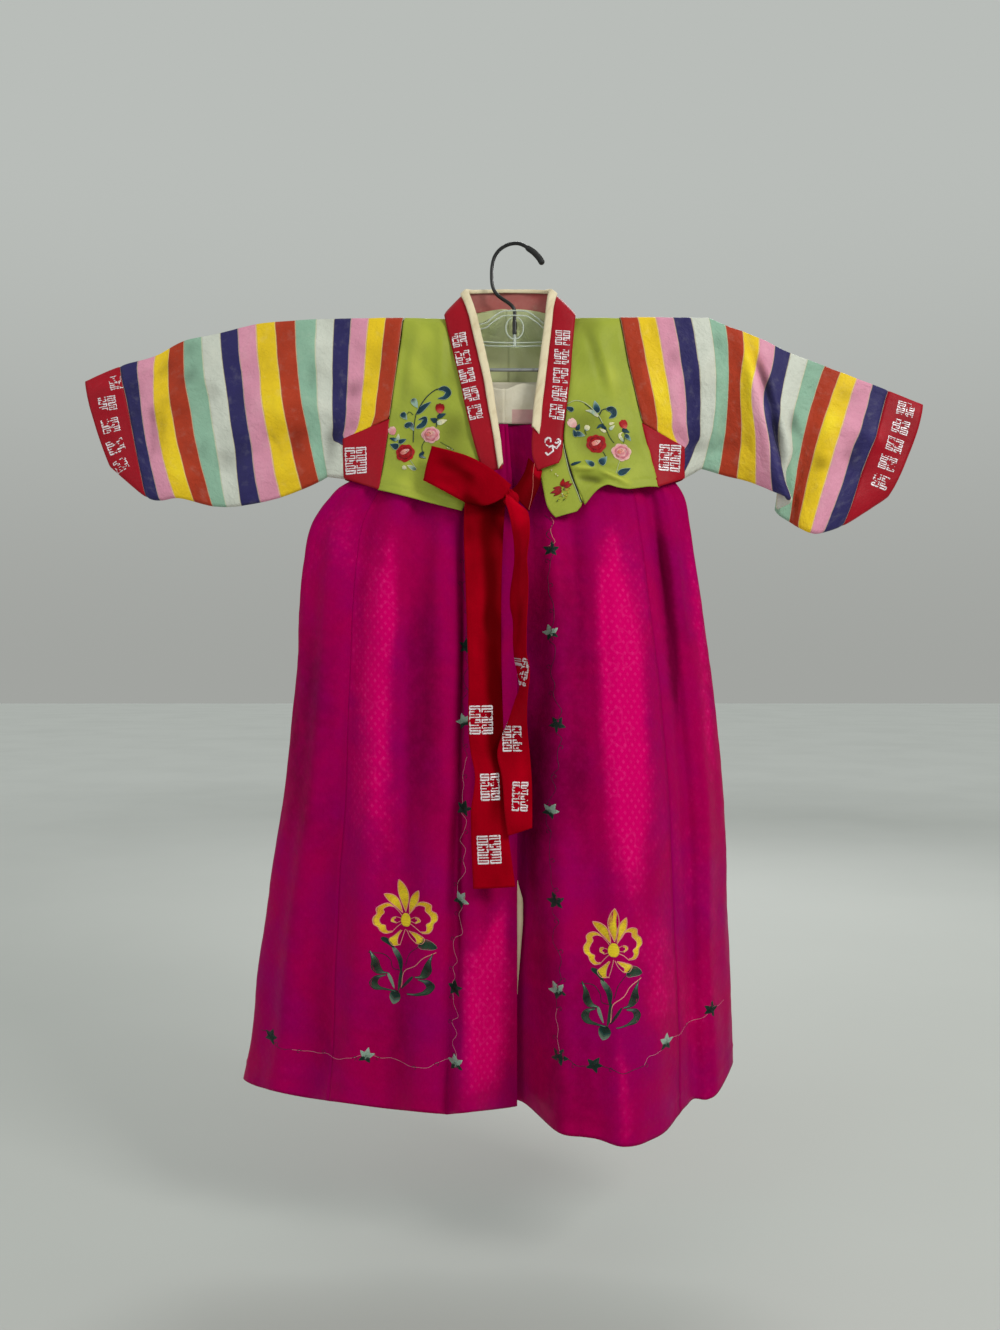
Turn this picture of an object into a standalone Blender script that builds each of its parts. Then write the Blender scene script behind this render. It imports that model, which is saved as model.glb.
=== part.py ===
"""Child's hanbok on a clear clothes hanger: short jacket with rainbow sleeves over a wrap skirt.

Sizes in the tables are millimetres; MM turns them into metres. X runs across the garment, to the
viewer's right. -Y is its front and +Z is up. The origin is the inner top of the hanger's hook,
where a nail bears. "Left" and "right" are the viewer's, looking at the front.
Cloth is a wall of CLOTH thickness, made from an outer surface that Solidify thickens inward.
"""
import math

import bmesh
import bpy
import numpy as np
from mathutils import Vector

MM = 0.001
CLOTH = 1.2                 # wall of every cloth piece
RIBBON = 1.0                # wall of the tie's ribbons
SEAM = 0.2                  # half of the gap between pieces that are sewn edge to edge
LAY = 0.6                   # gap between a piece and the one that it lies on

HEM_Z = -797.0              # the skirt's hem
SKIRT_TOP_Z = -171.0        # where the skirt is gathered into its bodice
SKIRT_EDGE_SHARE = 1.5      # exponent of the skirt's front in plan: 2 is an ellipse, 1 a diamond
SKIRT_BACK_SHARE = 2.0      # and of its flat back
TUCK = 42.0                 # how far the skirt's right edge runs behind its left one

BODICE_LEFT, BODICE_MIDDLE, BODICE_RIGHT = -110.0, -4.0, 116.0
BODICE_TOP_Z, BODICE_BACK_Z, BODICE_FOOT_Z = -132.5, -126.0, -170.2

BODICE_OVERLAP = (-19.0, -7.0)          # where the right front starts behind the left one's edge
BODICE_INSET = 1.8          # how far the right front lies behind the left one
STRAP_LEFT, STRAP_RIGHT = -84.0, 88.0   # the shoulder straps' middles
STRAP_HALF = 10.0           # half of a shoulder strap's width
# A strap's way over the hanger: y, z.
STRAP_LINE = ((-3.6, -110), (-3.8, -92), (-3.8, -78), (-3.0, -71.8), (0, -69.7), (3.0, -71.8), (3.8, -78),
              (3.8, -100))

HANGER_X = 2.5              # the hanger's middle
HANGER_ARM = 175.0          # from the middle to an arm's end
HANGER_LEG = 153.0          # from the middle to a leg that holds the bar
HANGER_TOP_Z = -72.5
HANGER_FOOT_Z = -88.0
HANGER_THICK = 4.0
HUMP_Z = -60.0              # top of the boss that holds the hook
WINDOW_Z, WINDOW_WIDE, WINDOW_HIGH = -77.5, 7.0, 9.5     # the boss's round window, with half its sizes
WINDOW_SLOT = 0.335         # and half of the angle that the hook's shank enters by
HOOK_WIRE = 1.75            # radius of the hook's wire
HOOK_TIP_RADIUS = 3.0
BAR_RADIUS = 1.7
BAR_Z = -117.0
BAR_END = 4.4               # the bar ends this far inside a leg's middle

# The hook's middle line: x, z.
HOOK_LINE = (
    (15, 0), (11, 2.6), (5, 4.4), (-3, 3.4), (-11, -1), (-16.5, -8), (-19, -17), (-19.5, -28),
    (-18.5, -37), (-15, -44), (-9, -49), (-3, -53), (1, -57), (2.5, -61), (2.5, -68), (2.5, -86.4),
)
HOOK_TIP_LINE = ((15.25, -0.2), (21, -4.2), (26, -9.5), (28.5, -13.5))

# The collar band: station, outer edge x y z, inner edge x y z. Front left, round the neck, front right.
COLLAR = (
    (0, -31, -29, -212, -11, -29, -210),
    (1, -35, -27, -196, -12, -27, -189),
    (2, -43, -22, -164, -16, -22, -162),
    (3, -50, -17, -130, -21, -17, -129),
    (4, -57, -13, -101, -28, -13, -97),
    (5, -62, -9.5, -80, -34, -10, -70),
    (6, -64, -7, -69, -40, -6, -51),
    (7, -62, 1, -64, -42, 1, -41.5),
    (8, -52, 6.5, -62, -37, 6, -39),
    (9, -29, 10, -59, -21, 9.5, -37.5),
    (10, -3, 11, -58, -3, 10.5, -37),
    (11, 22, 10, -59, 15, 9.5, -37.5),
    (12, 46, 6.5, -61.5, 29, 6, -39),
    (13, 58, 1, -64, 35, 1, -41.5),
    (14, 60, -7, -69, 34, -6, -51),
    (15, 59, -9.5, -81, 32, -10, -71),
    (16, 57, -13, -103, 29, -13, -97),
    (17, 55, -17, -130, 25, -17, -129),
    (18, 51, -21, -158, 21, -21, -158),
    (19, 48, -25, -179, 19, -25, -179),
    (20, 47, -28, -199, 18, -28, -197),
    (21, 42, -30, -213, 18, -30, -211),
)
COLLAR_START, COLLAR_END = 0.0, 21.0
TRIM_START, TRIM_END = 0.0, 18.76       # the white trim's run along the collar
TRIM_INNER, TRIM_OUTER = 1.03, 0.69     # and its share of the collar's width
TRIM_LIFT = 4.4                         # and its height over the cloth that the collar lies on

# Sleeves: cloth stripe counted from the armhole, then x y z.
LEFT_SLEEVE_TOP = (
    (5, -187, 1, -68), (6, -208, 2, -69), (8, -246, 4, -72), (10, -281, 6, -80), (12, -316, 8, -87),
    (14, -344, 9, -101), (16, -379, 10, -111), (18, -413, 12, -125),
)
LEFT_SLEEVE_MIDDLE = (
    (5, -185, 0, -146), (6, -200, 1, -149), (8, -237, 1, -157), (10, -271, 3, -162),
    (12, -309, 5, -156), (14, -341, 6, -166), (16, -366, 8, -168), (18, -402, 10, -165),
)
LEFT_SLEEVE_FOOT = (
    (5, -177, 0, -220), (6, -185, -2, -225), (8, -221, -4, -240), (10, -259, -3, -248),
    (12, -287, 0, -248), (14, -323, 2, -240), (15, -338, 3, -242), (16, -352, 5, -239),
    (17, -370, 7, -225), (18, -387, 9, -210),
)
RIGHT_SLEEVE_TOP = (
    (5, 188, 0, -67), (6, 204, 0, -74), (8, 237, 2, -86), (10, 268, 4, -100), (12, 301, 5, -112),
    (14, 332, 6, -124), (16, 363, 8, -135), (18, 397, 10, -148),
)
RIGHT_SLEEVE_MIDDLE = (
    (5, 194, -1, -141), (6, 208, -2, -142), (7, 222, -7, -147), (8, 234, -12, -157),
    (9, 244, -15, -166), (10, 255, -11, -173), (11, 267, -4, -171), (12, 281, 1, -174),
    (13, 295, 0, -179), (14, 311, -2, -183), (16, 345, 4, -185), (18, 383, 8, -192),
)
RIGHT_SLEEVE_FOOT = (
    (5, 182, 1, -212), (6, 198, 0, -217), (8, 232, -12, -229), (9, 246, -20, -237),
    (9.8, 258, -25, -244), (10.2, 261.5, -20, -247), (10.7, 257, -14, -250), (11.1, 252, -9, -253),
    (11.5, 256, -2.5, -257), (12, 266, -1, -263), (13, 273, -10, -270), (14, 282, -15, -275),
    (15, 294, -12, -275), (16, 315, -5, -268), (17, 339, 0, -254), (18, 360, 4, -240),
)
# The sleeve's seam to the body, down the armhole and round the gusset: share of its length, x y z.
LEFT_ARMHOLE = ((0, -104, 0, -67), (0.27, -110, 0, -117), (0.53, -117, 0, -166), (0.79, -160, 0, -185),
                (1, -160, 0, -222))
RIGHT_ARMHOLE = ((0, 103, 0, -66.5), (0.27, 111, 0, -114), (0.53, 124, 0, -170), (0.79, 163, 0, -193),
                 (1, 164, 0, -222))
GUSSET_TOP, GUSSET_SIDE = 0.53, 0.79        # shares of that seam where the gusset turns
GUSSET_GAP_BODY, GUSSET_GAP_SLEEVE, GUSSET_GAP_BELOW = 0.63, 0.49, 0.8     # clearances at its seams
FAN_END = 5                 # the stripe where the sleeve stops fanning out from the armhole

# Half of a sleeve's outer thickness: stripe, at its folds, in its middle.
LEFT_FULLNESS = ((0, 4.6, 11), (2.5, 3.6, 9.5), (5, 2.6, 8.2), (12, 2.4, 7.5), (18, 2.6, 8))
RIGHT_FULLNESS = ((0, 4.6, 11), (2.5, 3.6, 9.5), (5, 2.6, 8), (7, 2.2, 4.6), (9, 2.2, 4), (12, 2.2, 4),
                  (14, 2.3, 7), (18, 2.6, 8))
LEFT_STATIONS = (5, 6.5, 8, 10, 12, 13.5, 15, 16)
RIGHT_STATIONS = (5, 6.2, 7.4, 8.4, 9.2, 9.8, 10.2, 10.6, 11.1, 11.5, 12, 13, 14, 15, 16)
CUFF_STATIONS = (16, 17, 18)
CUFF_GAP = 0.017            # share of the first stretch of the cuff that is left open at its seam
ARMHOLE_SHARES = (0, 0.25, 0.5, 0.75)
SLEEVE_SHARES = (0, 0.12, 0.27, 0.4, 0.53, 0.66, 0.79, 0.9, 1)     # points down each face of a sleeve

BODY_POINTS = 8             # points across a half of the jacket
# Front and back halves of the jacket: share of the way from hem to shoulder, inner x y z, outer x y z.
LEFT_FRONT = (
    (0, -47, -35, -257, -127, -20, -235), (0.12, -38, -32, -236, -123, -16, -212),
    (0.24, -30, -28, -212, -120, -13, -189), (0.36, -33, -25, -196, -117, -11, -166),
    (0.55, -41, -20, -164, -113.5, -10.5, -141), (0.72, -48.5, -15.5, -130, -110, -9.5, -117),
    (0.86, -56, -11.5, -101, -106, -7.5, -90), (0.94, -60.5, -8, -80, -104.5, -6, -75),
)
RIGHT_FRONT = (
    (0, 67.5, -33, -251, 139, -18, -232), (0.12, 59, -31, -231, 134, -16, -212),
    (0.24, 52.5, -29, -209, 129, -13, -190), (0.36, 48.5, -26, -190, 124, -11, -170),
    (0.55, 51, -21, -162, 117.5, -10.5, -143), (0.72, 53.5, -16, -130, 111, -9.5, -114),
    (0.86, 56, -11.5, -103, 106.5, -7.5, -88), (0.94, 58, -8, -81, 104, -6, -75),
)
FRONT_SHARES = (0, 0.06, 0.12, 0.18, 0.24, 0.36, 0.48, 0.6, 0.72, 0.83, 0.94)
BACK_SHARES = (0.95, 0.85, 0.66, 0.52, 0.38, 0.24, 0.12, 0)
# The fold over the shoulder, from front to back: neck x y z, armhole x y z.
SHOULDER = (
    (59, -4.2, -70.5, 103.2, -4.2, -69.5), (60, -1.6, -68.4, 103.2, -1.6, -67.4),
    (60, 1.6, -67.8, 103.2, 1.6, -67.2), (56, 4.2, -66.4, 103.2, 4.2, -69.4),
    (50, 5.6, -64.8, 103.4, 5.3, -71.2), (28, 8.9, -59, 103.4, 6.3, -75),
)
# Lift of the right front's hem where it rolls up: share across, rise.
HEM_LIFT = ((0, 0), (0.1, 7), (0.22, 14), (0.4, 9.5), (0.62, 4), (0.8, 3.5), (1, 0))
LEFT_BACK = (
    (0, -3.2, 26, -230, -126, 19, -233), (0.2, -3.2, 24, -196, -121, 14, -196),
    (0.4, -3.2, 21, -160, -117, 11, -166), (0.6, -3.2, 18, -124, -112.5, 10.5, -135),
    (0.8, -3.2, 14.5, -90, -107.5, 9, -103), (0.95, -3.2, 10.2, -57, -105, 7, -80),
)
RIGHT_BACK = (
    (0, -2.8, 26, -230, 138, 19, -231), (0.2, -2.8, 24, -196, 130, 14, -200),
    (0.4, -2.8, 21, -160, 124, 11, -170), (0.6, -2.8, 18, -124, 114.5, 10.5, -135),
    (0.8, -2.8, 14.5, -90, 107.5, 9, -103), (0.95, -2.8, 10.2, -57, 104.5, 7, -80),
)
# The outer front flap: share down from the collar, left x y z, right x y z.
SEOP = (
    (0, 20, -26.6, -206, 47, -24.4, -186), (0.18, 25, -28.8, -219, 50.5, -27.4, -203),
    (0.4, 28, -30.5, -232, 55, -30, -221), (0.65, 30.5, -32.5, -245, 61, -31.8, -237),
    (0.85, 34, -34, -256, 65.5, -33.2, -249), (1, 40, -35, -263, 60, -34.4, -257.5),
)

# Skirt sections: z, left, right, free edge, left bulge, right bulge, back.
SKIRT_SECTIONS = (
    (-171, -110, 116, -4, 8, 8, 8), (-186, -122, 126, -3, 12, 12, 11),
    (-200, -134, 136, -2, 16, 16, 13), (-214, -142, 147, -1, 17, 19, 15),
    (-222, -150, 153, 0, 18.5, 21, 16), (-229, -163, 159, 0, 20.5, 22.5, 17),
    (-243, -177, 166, 1, 25, 25, 18), (-262, -190, 169.5, 2, 29, 29, 20),
    (-300, -199, 175.5, 3, 41, 42, 22), (-350, -204, 182.5, 4, 53, 58, 24),
    (-400, -206, 189.5, 4, 62, 71, 25), (-460, -211.5, 196, 4, 71, 85, 26),
    (-520, -217.5, 202, 4, 79, 97, 27), (-580, -227.5, 204.5, 4, 85, 106, 28),
    (-640, -236, 206, 4, 89, 113, 28), (-700, -244, 208, 4, 92, 119, 29),
    (-750, -249, 210, 4, 94, 122, 29), (-797, -258, 211, 4, 95, 124, 30),
)
# Vertical folds: place as a share of the half's width, half-width of the fold in the same share,
# height at the bodice, under the jacket and at the hem. A ridge is positive.
LEFT_FOLDS = (
    (0.00, 0.13, 0, -5, -29), (0.17, 0.07, 1.5, 3, 7), (0.235, 0.035, -1.5, -5, -8), (0.32, 0.07, 1.5, 4, 4),
    (0.45, 0.08, -2, -8, -9), (0.59, 0.09, 2, 7, 9), (0.74, 0.07, -2, -6, -10), (0.86, 0.06, 1.5, 5, 6),
)
RIGHT_FOLDS = (
    (0.00, 0.16, -3.5, -17, -64), (0.2, 0.06, 1, 4, 4), (0.33, 0.08, -1.5, -9, -5), (0.47, 0.24, 2, 8, 29),
    (0.62, 0.07, 1.5, 3, 4), (0.79, 0.05, -2, -9, -8), (0.90, 0.05, 1.5, 4, 7),
)
BACK_FOLDS = (
    (0.12, 0.06, 1.5, 4, 6), (0.27, 0.07, -1.5, -4, -8), (0.45, 0.08, 1.5, 4, 9), (0.62, 0.07, -1.5, -5, -9),
    (0.8, 0.08, 1.5, 4, 7), (0.98, 0.08, -1, -3, -8), (1.17, 0.08, 1.5, 4, 9), (1.36, 0.07, -1.5, -4, -8),
    (1.55, 0.08, 1.5, 4, 8), (1.73, 0.07, -1.5, -5, -9), (1.88, 0.06, 1.5, 3, 6),
)
# Drop of the hem below HEM_Z along the front's right half: share of the width, drop.
HEM_DROP = ((0, 0), (0.15, 4), (0.3, 9), (0.5, 13), (0.62, 11), (0.75, 1), (0.86, 3), (0.94, -7), (1, -17))
SKIRT_HEIGHTS = (-171, -190, -210, -222, -229, -243, -272, -325, -395, -475, -560, -650, -730, -797)
# The skirt's panels, as quarter turns from the free edge round the left, the back and the right.
SKIRT_PANELS = (("skirt_panel_front_left", 0.0, 0.56), ("skirt_panel_back_left", 0.56, 1.95),
                ("skirt_panel_back_right", 1.95, 3.45), ("skirt_panel_front_right", 3.45, 5.0))
SKIRT_STEP = 0.05           # quarter turns between the skirt's points
PANEL_GAP = 0.4             # half of the gap at a seam between two panels

# Ribbons: share of the length, left edge x y z, right edge x y z.
LOOP_BACK = (
    (0, -4, -43.4, -236, -9, -43.4, -243), (0.35, -32, -41, -216, -45, -42, -246),
    (0.75, -60, -36, -203, -66, -37, -235), (1, -73, -34, -198, -80, -34, -228),
)
LOOP_FRONT = (
    (0, -75, -37.5, -197, -83, -37.5, -229), (0.25, -58, -42, -202, -64, -42.5, -236),
    (0.65, -31, -46.5, -214, -45, -47, -249), (1, -4.5, -47.5, -234, -10, -47.5, -244),
)
LEAD = (
    (0, 19, -32.0, -208, 32, -32.0, -214), (0.3, 14, -35.4, -218, 26, -35.4, -227),
    (0.65, 7, -40, -229, 19, -40, -238), (1, 2, -42.1, -236, 14, -42.1, -244),
)
LEFT_TAIL = (
    (0, -35, -39.9, -243, -11, -39.9, -245), (0.06, -42, -40.4, -256, -9, -41, -256),
    (0.12, -45, -43, -272, -8, -44, -272), (0.28, -43, -56, -326, -10, -56, -326),
    (0.48, -40, -71, -405, -10, -71, -405), (0.68, -37, -85, -486, -8, -85, -486),
    (0.84, -37, -93, -545, -7, -94, -545), (1, -35, -99, -596, 0, -100, -594),
)
# The right tail turns over: share of the length, middle x y z, width, turn in degrees.
RIGHT_TAIL = (
    (0, 6, -41.5, -257, 21, 8), (0.05, 7, -46, -272, 24, 26), (0.14, 8, -60, -305, 28, 50),
    (0.3, 9, -72, -347, 28, 62), (0.45, 10.5, -81, -389, 29, 70), (0.55, 10, -88, -419, 29, 82),
    (0.6, 9.5, -91, -434, 29, 100), (0.69, 5, -92, -458, 29, 130), (0.78, 0, -91, -482, 29, 158),
    (0.88, 2.5, -94, -512, 29, 163), (1, 5.5, -99, -550, 30, 160),
)
KNOT_PLACE = (4.5, -48.5, -248.5)       # the knot's middle
KNOT_SIZE = (32, 13, 32)                # the box that it is rounded from
KNOT_LEAN, KNOT_SLOPE = 4, -9           # its slant along X for its height, and along Z for its width

COLOURS = {
    "green": (0.30, 0.40, 0.035),
    "red": (0.40, 0.008, 0.012),
    "magenta": (0.42, 0.0, 0.10),
    "rainbow": (0.62, 0.32, 0.16),
    "white": (0.75, 0.68, 0.55),
    "ribbon": (0.26, 0.0, 0.006),
    "clear": (0.7, 0.75, 0.78),
    "black": (0.02, 0.02, 0.02),
    "steel": (0.6, 0.6, 0.6),
}
FINISHES = {"clear": (0.1, 0.0), "steel": (0.3, 1.0)}       # roughness and metallic, where not cloth's


def clear_scene():
    """Remove what a new file holds."""
    for item in list(bpy.data.objects):
        bpy.data.objects.remove(item, do_unlink=True)


def collection_of(name):
    """A collection of the scene, made when it is not there yet."""
    found = bpy.data.collections.get(name)
    if found is None:
        found = bpy.data.collections.new(name)
        bpy.context.scene.collection.children.link(found)
    return found


def material_of(name):
    """A plain material in one of the garment's colours."""
    material = bpy.data.materials.get(name)
    if material is None:
        material = bpy.data.materials.new(name)
        material.use_nodes = True
        shader = material.node_tree.nodes["Principled BSDF"]
        roughness, metallic = FINISHES.get(name, (0.5, 0.0))
        shader.inputs["Base Color"].default_value = (*COLOURS[name], 1.0)
        shader.inputs["Roughness"].default_value = roughness
        shader.inputs["Metallic"].default_value = metallic
    return material


def smooth_table(rows):
    """A function that reads the rows' other columns smoothly at any value of their first one."""
    ordered = sorted(rows)
    keys = np.array([row[0] for row in ordered], float)
    values = np.array([row[1:] for row in ordered], float)
    steps = np.diff(keys)[:, None]
    slopes = np.diff(values, axis=0) / steps
    tangents = np.vstack([slopes[:1], slopes[-1:]])
    if len(rows) > 2:
        inner = (slopes[:-1] * steps[1:] + slopes[1:] * steps[:-1]) / (steps[:-1] + steps[1:])
        tangents = np.vstack([slopes[:1], inner, slopes[-1:]])

    def read(key):
        """The columns at key, by cubic pieces."""
        index = int(np.clip(np.searchsorted(keys, key) - 1, 0, len(keys) - 2))
        step = keys[index + 1] - keys[index]
        share = min(max((key - keys[index]) / step, 0.0), 1.0)
        square, cube = share ** 2, share ** 3
        places = (2 * cube - 3 * square + 1) * values[index] + (3 * square - 2 * cube) * values[index + 1]
        leanings = (cube - 2 * square + share) * tangents[index] + (cube - square) * tangents[index + 1]
        return places + leanings * step
    return read


def straight_table(rows):
    """The same, straight from row to row."""
    keys = [row[0] for row in rows]
    columns = list(zip(*[row[1:] for row in rows]))
    return lambda key: np.array([np.interp(key, keys, column) for column in columns])


def spread(start, end, count):
    """Evenly spaced numbers, both ends among them."""
    return [start + (end - start) * index / (count - 1) for index in range(count)]


def mix(first, second, share):
    """The point a share of the way from the first to the second."""
    return first + (second - first) * share


def add_mesh(name, vertices, faces, material):
    """A mesh object in the garment's collection, from points in millimetres."""
    mesh = bpy.data.meshes.new(name)
    mesh.from_pydata([Vector(point) * MM for point in vertices], [], faces)
    mesh.materials.append(material_of(material))
    mesh.shade_smooth()
    piece = bpy.data.objects.new(name, mesh)
    collection_of("hanbok").objects.link(piece)
    return piece


def thicken(piece, wall=CLOTH):
    """Give an open sheet its wall, on the side that its normals leave."""
    solid = piece.modifiers.new("wall", "SOLIDIFY")
    solid.thickness = wall * MM
    solid.offset = -1.0
    solid.use_even_offset = False
    return piece


def loft(name, rows, material, closed=False, flip=False, wall=CLOTH):
    """A sheet through rows of points, closed round each row where it is a tube."""
    count = len(rows[0])
    vertices = [point for row in rows for point in row]
    faces = []
    for line in range(len(rows) - 1):
        for place in range(count if closed else count - 1):
            beside = (place + 1) % count
            face = [line * count + place, line * count + beside,
                    (line + 1) * count + beside, (line + 1) * count + place]
            faces.append(face[::-1] if flip else face)
    return thicken(add_mesh(name, vertices, faces, material), wall)


# ---------------------------------------------------------------- sleeves and gussets

def lens(share):
    """How full a flattened tube is at a share of its width: 0 at both folds, 1 in the middle."""
    return max(4.0 * share * (1.0 - share), 0.0) ** 0.6


def three_point(tables, stripe, share):
    """A point on the cloth between the sleeve's top, middle and foot lines."""
    top, middle, foot = (np.array(table(stripe)) for table in tables)
    control = 2.0 * middle - 0.5 * (top + foot)
    return (1 - share) ** 2 * top + 2 * share * (1 - share) * control + share ** 2 * foot


def sleeve_middle(side, stripe, share):
    """The flattened sleeve's middle surface; stripes below FAN_END fan out from the armhole."""
    if stripe >= FAN_END:
        return three_point(side["lines"], stripe, share)
    return mix(np.array(side["armhole"](share)), three_point(side["lines"], FAN_END, share), stripe / FAN_END)


def sleeve_half(side, stripe, share):
    """Half of the sleeve's outer thickness there."""
    fold, middle = side["fullness"](stripe)
    return fold + (middle - fold) * lens(share)


def sleeve_ring(side, stripe):
    """One ring of the sleeve: down its front face, and up its back face."""
    front, back = [], []
    fold_top, fold_foot = sleeve_middle(side, stripe, 0.0), sleeve_middle(side, stripe, 1.0)
    inset = side["fullness"](stripe)[0] / np.linalg.norm(fold_foot - fold_top)
    for share in (min(max(share, inset), 1.0 - inset) for share in SLEEVE_SHARES):
        place = sleeve_middle(side, stripe, share)
        out = sleeve_normal(side, stripe, share)
        half = sleeve_half(side, stripe, share)
        front.append(place - out * half)
        back.append(place + out * half)
    return [fold_top] + front + [fold_foot] + back[::-1]


def unit(vector):
    """The vector at length one."""
    return vector / np.linalg.norm(vector)


def sleeve_normal(side, stripe, share):
    """The direction out of the sleeve's back face, +Y where the cloth hangs flat."""
    if stripe < FAN_END:
        return np.array((0.0, 1.0, 0.0))
    along = sleeve_middle(side, min(stripe + 0.05, CUFF_STATIONS[-1]), share)
    along = along - sleeve_middle(side, max(stripe - 0.05, FAN_END), share)
    down = sleeve_middle(side, stripe, min(share + 0.02, 1))
    down = down - sleeve_middle(side, stripe, max(share - 0.02, 0))
    return unit(np.cross(along, down)) * side["turn"]


def make_sleeve(side, word):
    """The striped sleeve and its red cuff, each an open flattened tube."""
    start = [FAN_END * share for share in ARMHOLE_SHARES]
    rings = [sleeve_ring(side, stripe) for stripe in (*start, *side["stations"])]
    edge = np.array((SEAM * side["turn"], 0.0, 0.0))
    rings[0] = [point + edge for point in rings[0]]
    loft("sleeve_" + word, rings, "rainbow", closed=True, flip=side["turn"] > 0)
    rings = [sleeve_ring(side, stripe) for stripe in CUFF_STATIONS]
    rings[0] = [mix(point, after, CUFF_GAP) for point, after in zip(rings[0], rings[1])]
    loft("cuff_" + word, rings, "red", closed=True, flip=side["turn"] > 0)


def armhole_point(side, share, face):
    """A point of the seam round the armhole, on the front (-1) or the back (+1) face."""
    place = np.array(side["armhole"](share))
    return place + np.array((0.0, face * sleeve_half(side, 0, share), 0.0))


def make_gusset(side, word, hem_corners):
    """The underarm gusset: a front and a back face that meet at the armpit."""
    for face, name in ((-1, "front"), (1, "back")):
        corner = np.array(hem_corners[face])
        top_inner = armhole_point(side, GUSSET_TOP, face)
        rows = []
        for share in spread(0.0, 1.0, 7):
            outer = armhole_point(side, mix(GUSSET_SIDE, 1.0, share), face)
            inner = mix(top_inner, corner, share)
            below = GUSSET_GAP_BELOW * (1.0 - share)
            row = []
            for step in spread(0.0, 1.0, 6):
                aside = side["turn"] * mix(GUSSET_GAP_BODY, -GUSSET_GAP_SLEEVE, step)
                row.append(mix(inner, outer, step) + np.array((aside, 0.0, -below)))
            rows.append(row)
        loft("gusset_" + name + "_" + word, rows, "red", flip=(face * side["turn"]) < 0)


# ---------------------------------------------------------------- jacket body

def front_rows(table, lift, side):
    """Rows of a front from its hem to just below the shoulder."""
    read = smooth_table(table)
    rise = smooth_table(HEM_LIFT)
    rows = []
    for share in FRONT_SHARES:
        inner, outer = np.split(np.array(read(share)), 2)
        row = []
        for step in spread(0.0, 1.0, BODY_POINTS):
            point = mix(inner, outer, step)
            fade = max(1 - share / 0.24, 0.0)
            point[2] += lift * float(rise(step)[0]) * fade
            roll = math.exp(-((share - 0.17) / 0.05) ** 2) * math.sin(math.pi * min(step * 1.25, 1.0))
            point[1] -= lift * 4.0 * roll + 1.5 * math.sin(math.pi * step)
            point[0] -= side["turn"] * SEAM * step
            row.append(point)
        rows.append(row)
    return rows


def back_rows(table, side):
    """Rows of a back from its neck to its hem."""
    read = smooth_table(table)
    rows = []
    for share in BACK_SHARES:
        inner, outer = np.split(np.array(read(share)), 2)
        row = []
        for step in spread(0.0, 1.0, BODY_POINTS):
            point = mix(inner, outer, step)
            point[0] -= side["turn"] * SEAM * step
            row.append(point)
        rows.append(row)
    return rows


def shoulder_rows(side):
    """The fold over the shoulder, from front to back, between the neck and the armhole."""
    mirror = np.array((side["turn"], 1.0, 1.0))
    rows = []
    for columns in SHOULDER:
        inner, outer = np.split(np.array(columns), 2)
        rows.append([mix(inner, outer, step) * mirror for step in spread(0.0, 1.0, BODY_POINTS)])
    return rows


def make_jacket_half(side, word, front, back, lift):
    """One half of the jacket: its front and back in one cloth, folded at the shoulder."""
    rows = front_rows(front, lift, side) + shoulder_rows(side) + back_rows(back, side)
    loft("jacket_body_" + word, rows, "green", flip=side["turn"] < 0)


def make_seop():
    """The outer flap that carries the right front past the middle."""
    read = smooth_table(SEOP)
    rows = []
    for share in (0, 0.1, 0.22, 0.36, 0.5, 0.64, 0.78, 0.9, 1):
        left, right = np.split(np.array(read(share)), 2)
        right[0] -= SEAM
        rows.append([mix(left, right, step) - np.array((0, 0.5 * math.sin(math.pi * step), 0))
                     for step in spread(0.0, 1.0, 5)])
    loft("seop_outer", rows, "green")


# ---------------------------------------------------------------- collar and trim

COLLAR_LINE = smooth_table(COLLAR)


def collar_point(station, share, lift=0.0):
    """A point of the collar, share 0 at its seam and 1 at the neck, moved out by lift."""
    outer, inner = np.split(np.array(COLLAR_LINE(station)), 2)
    middle = min(max(station, 0.1), COLLAR_END - 0.1)
    ahead = (np.array(COLLAR_LINE(middle + 0.1)) - np.array(COLLAR_LINE(middle - 0.1)))[:3]
    out = unit(np.cross(ahead, inner - outer))
    crown = 0.8 * math.sin(math.pi * min(max(share, 0.0), 1.0))
    return mix(outer, inner, share) - out * (lift + crown)


def make_collar():
    """The collar band and the white trim along its neck edge."""
    rows = [[collar_point(station, share, CLOTH + LAY) for share in (0, 0.33, 0.67, 1)]
            for station in spread(COLLAR_START, COLLAR_END, 36)]
    loft("collar", rows, "red")
    rows = [[collar_point(station, share, TRIM_LIFT) for share in (TRIM_OUTER, 0.86, TRIM_INNER)]
            for station in spread(TRIM_START, TRIM_END, 33)]
    loft("collar_trim", rows, "white")


# ---------------------------------------------------------------- skirt

SECTION = smooth_table(SKIRT_SECTIONS)
DROP = smooth_table(HEM_DROP)


def bump(distance, width):
    """A soft ridge of height one, zero past its width."""
    if abs(distance) >= width:
        return 0.0
    return (math.cos(math.pi * distance / width) + 1.0) / 2.0


def fold_height(folds, share, depth):
    """Height of the folds at a share of the width, depth 0 at the bodice and 1 at the hem."""
    total = 0.0
    for place, width, gathered, upper, hem in folds:
        size = mix(gathered, upper, depth / 0.25) if depth < 0.25 else mix(upper, hem, (depth - 0.25) / 0.75)
        total += size * bump(share - place, width * 1.25)
    return total


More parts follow.
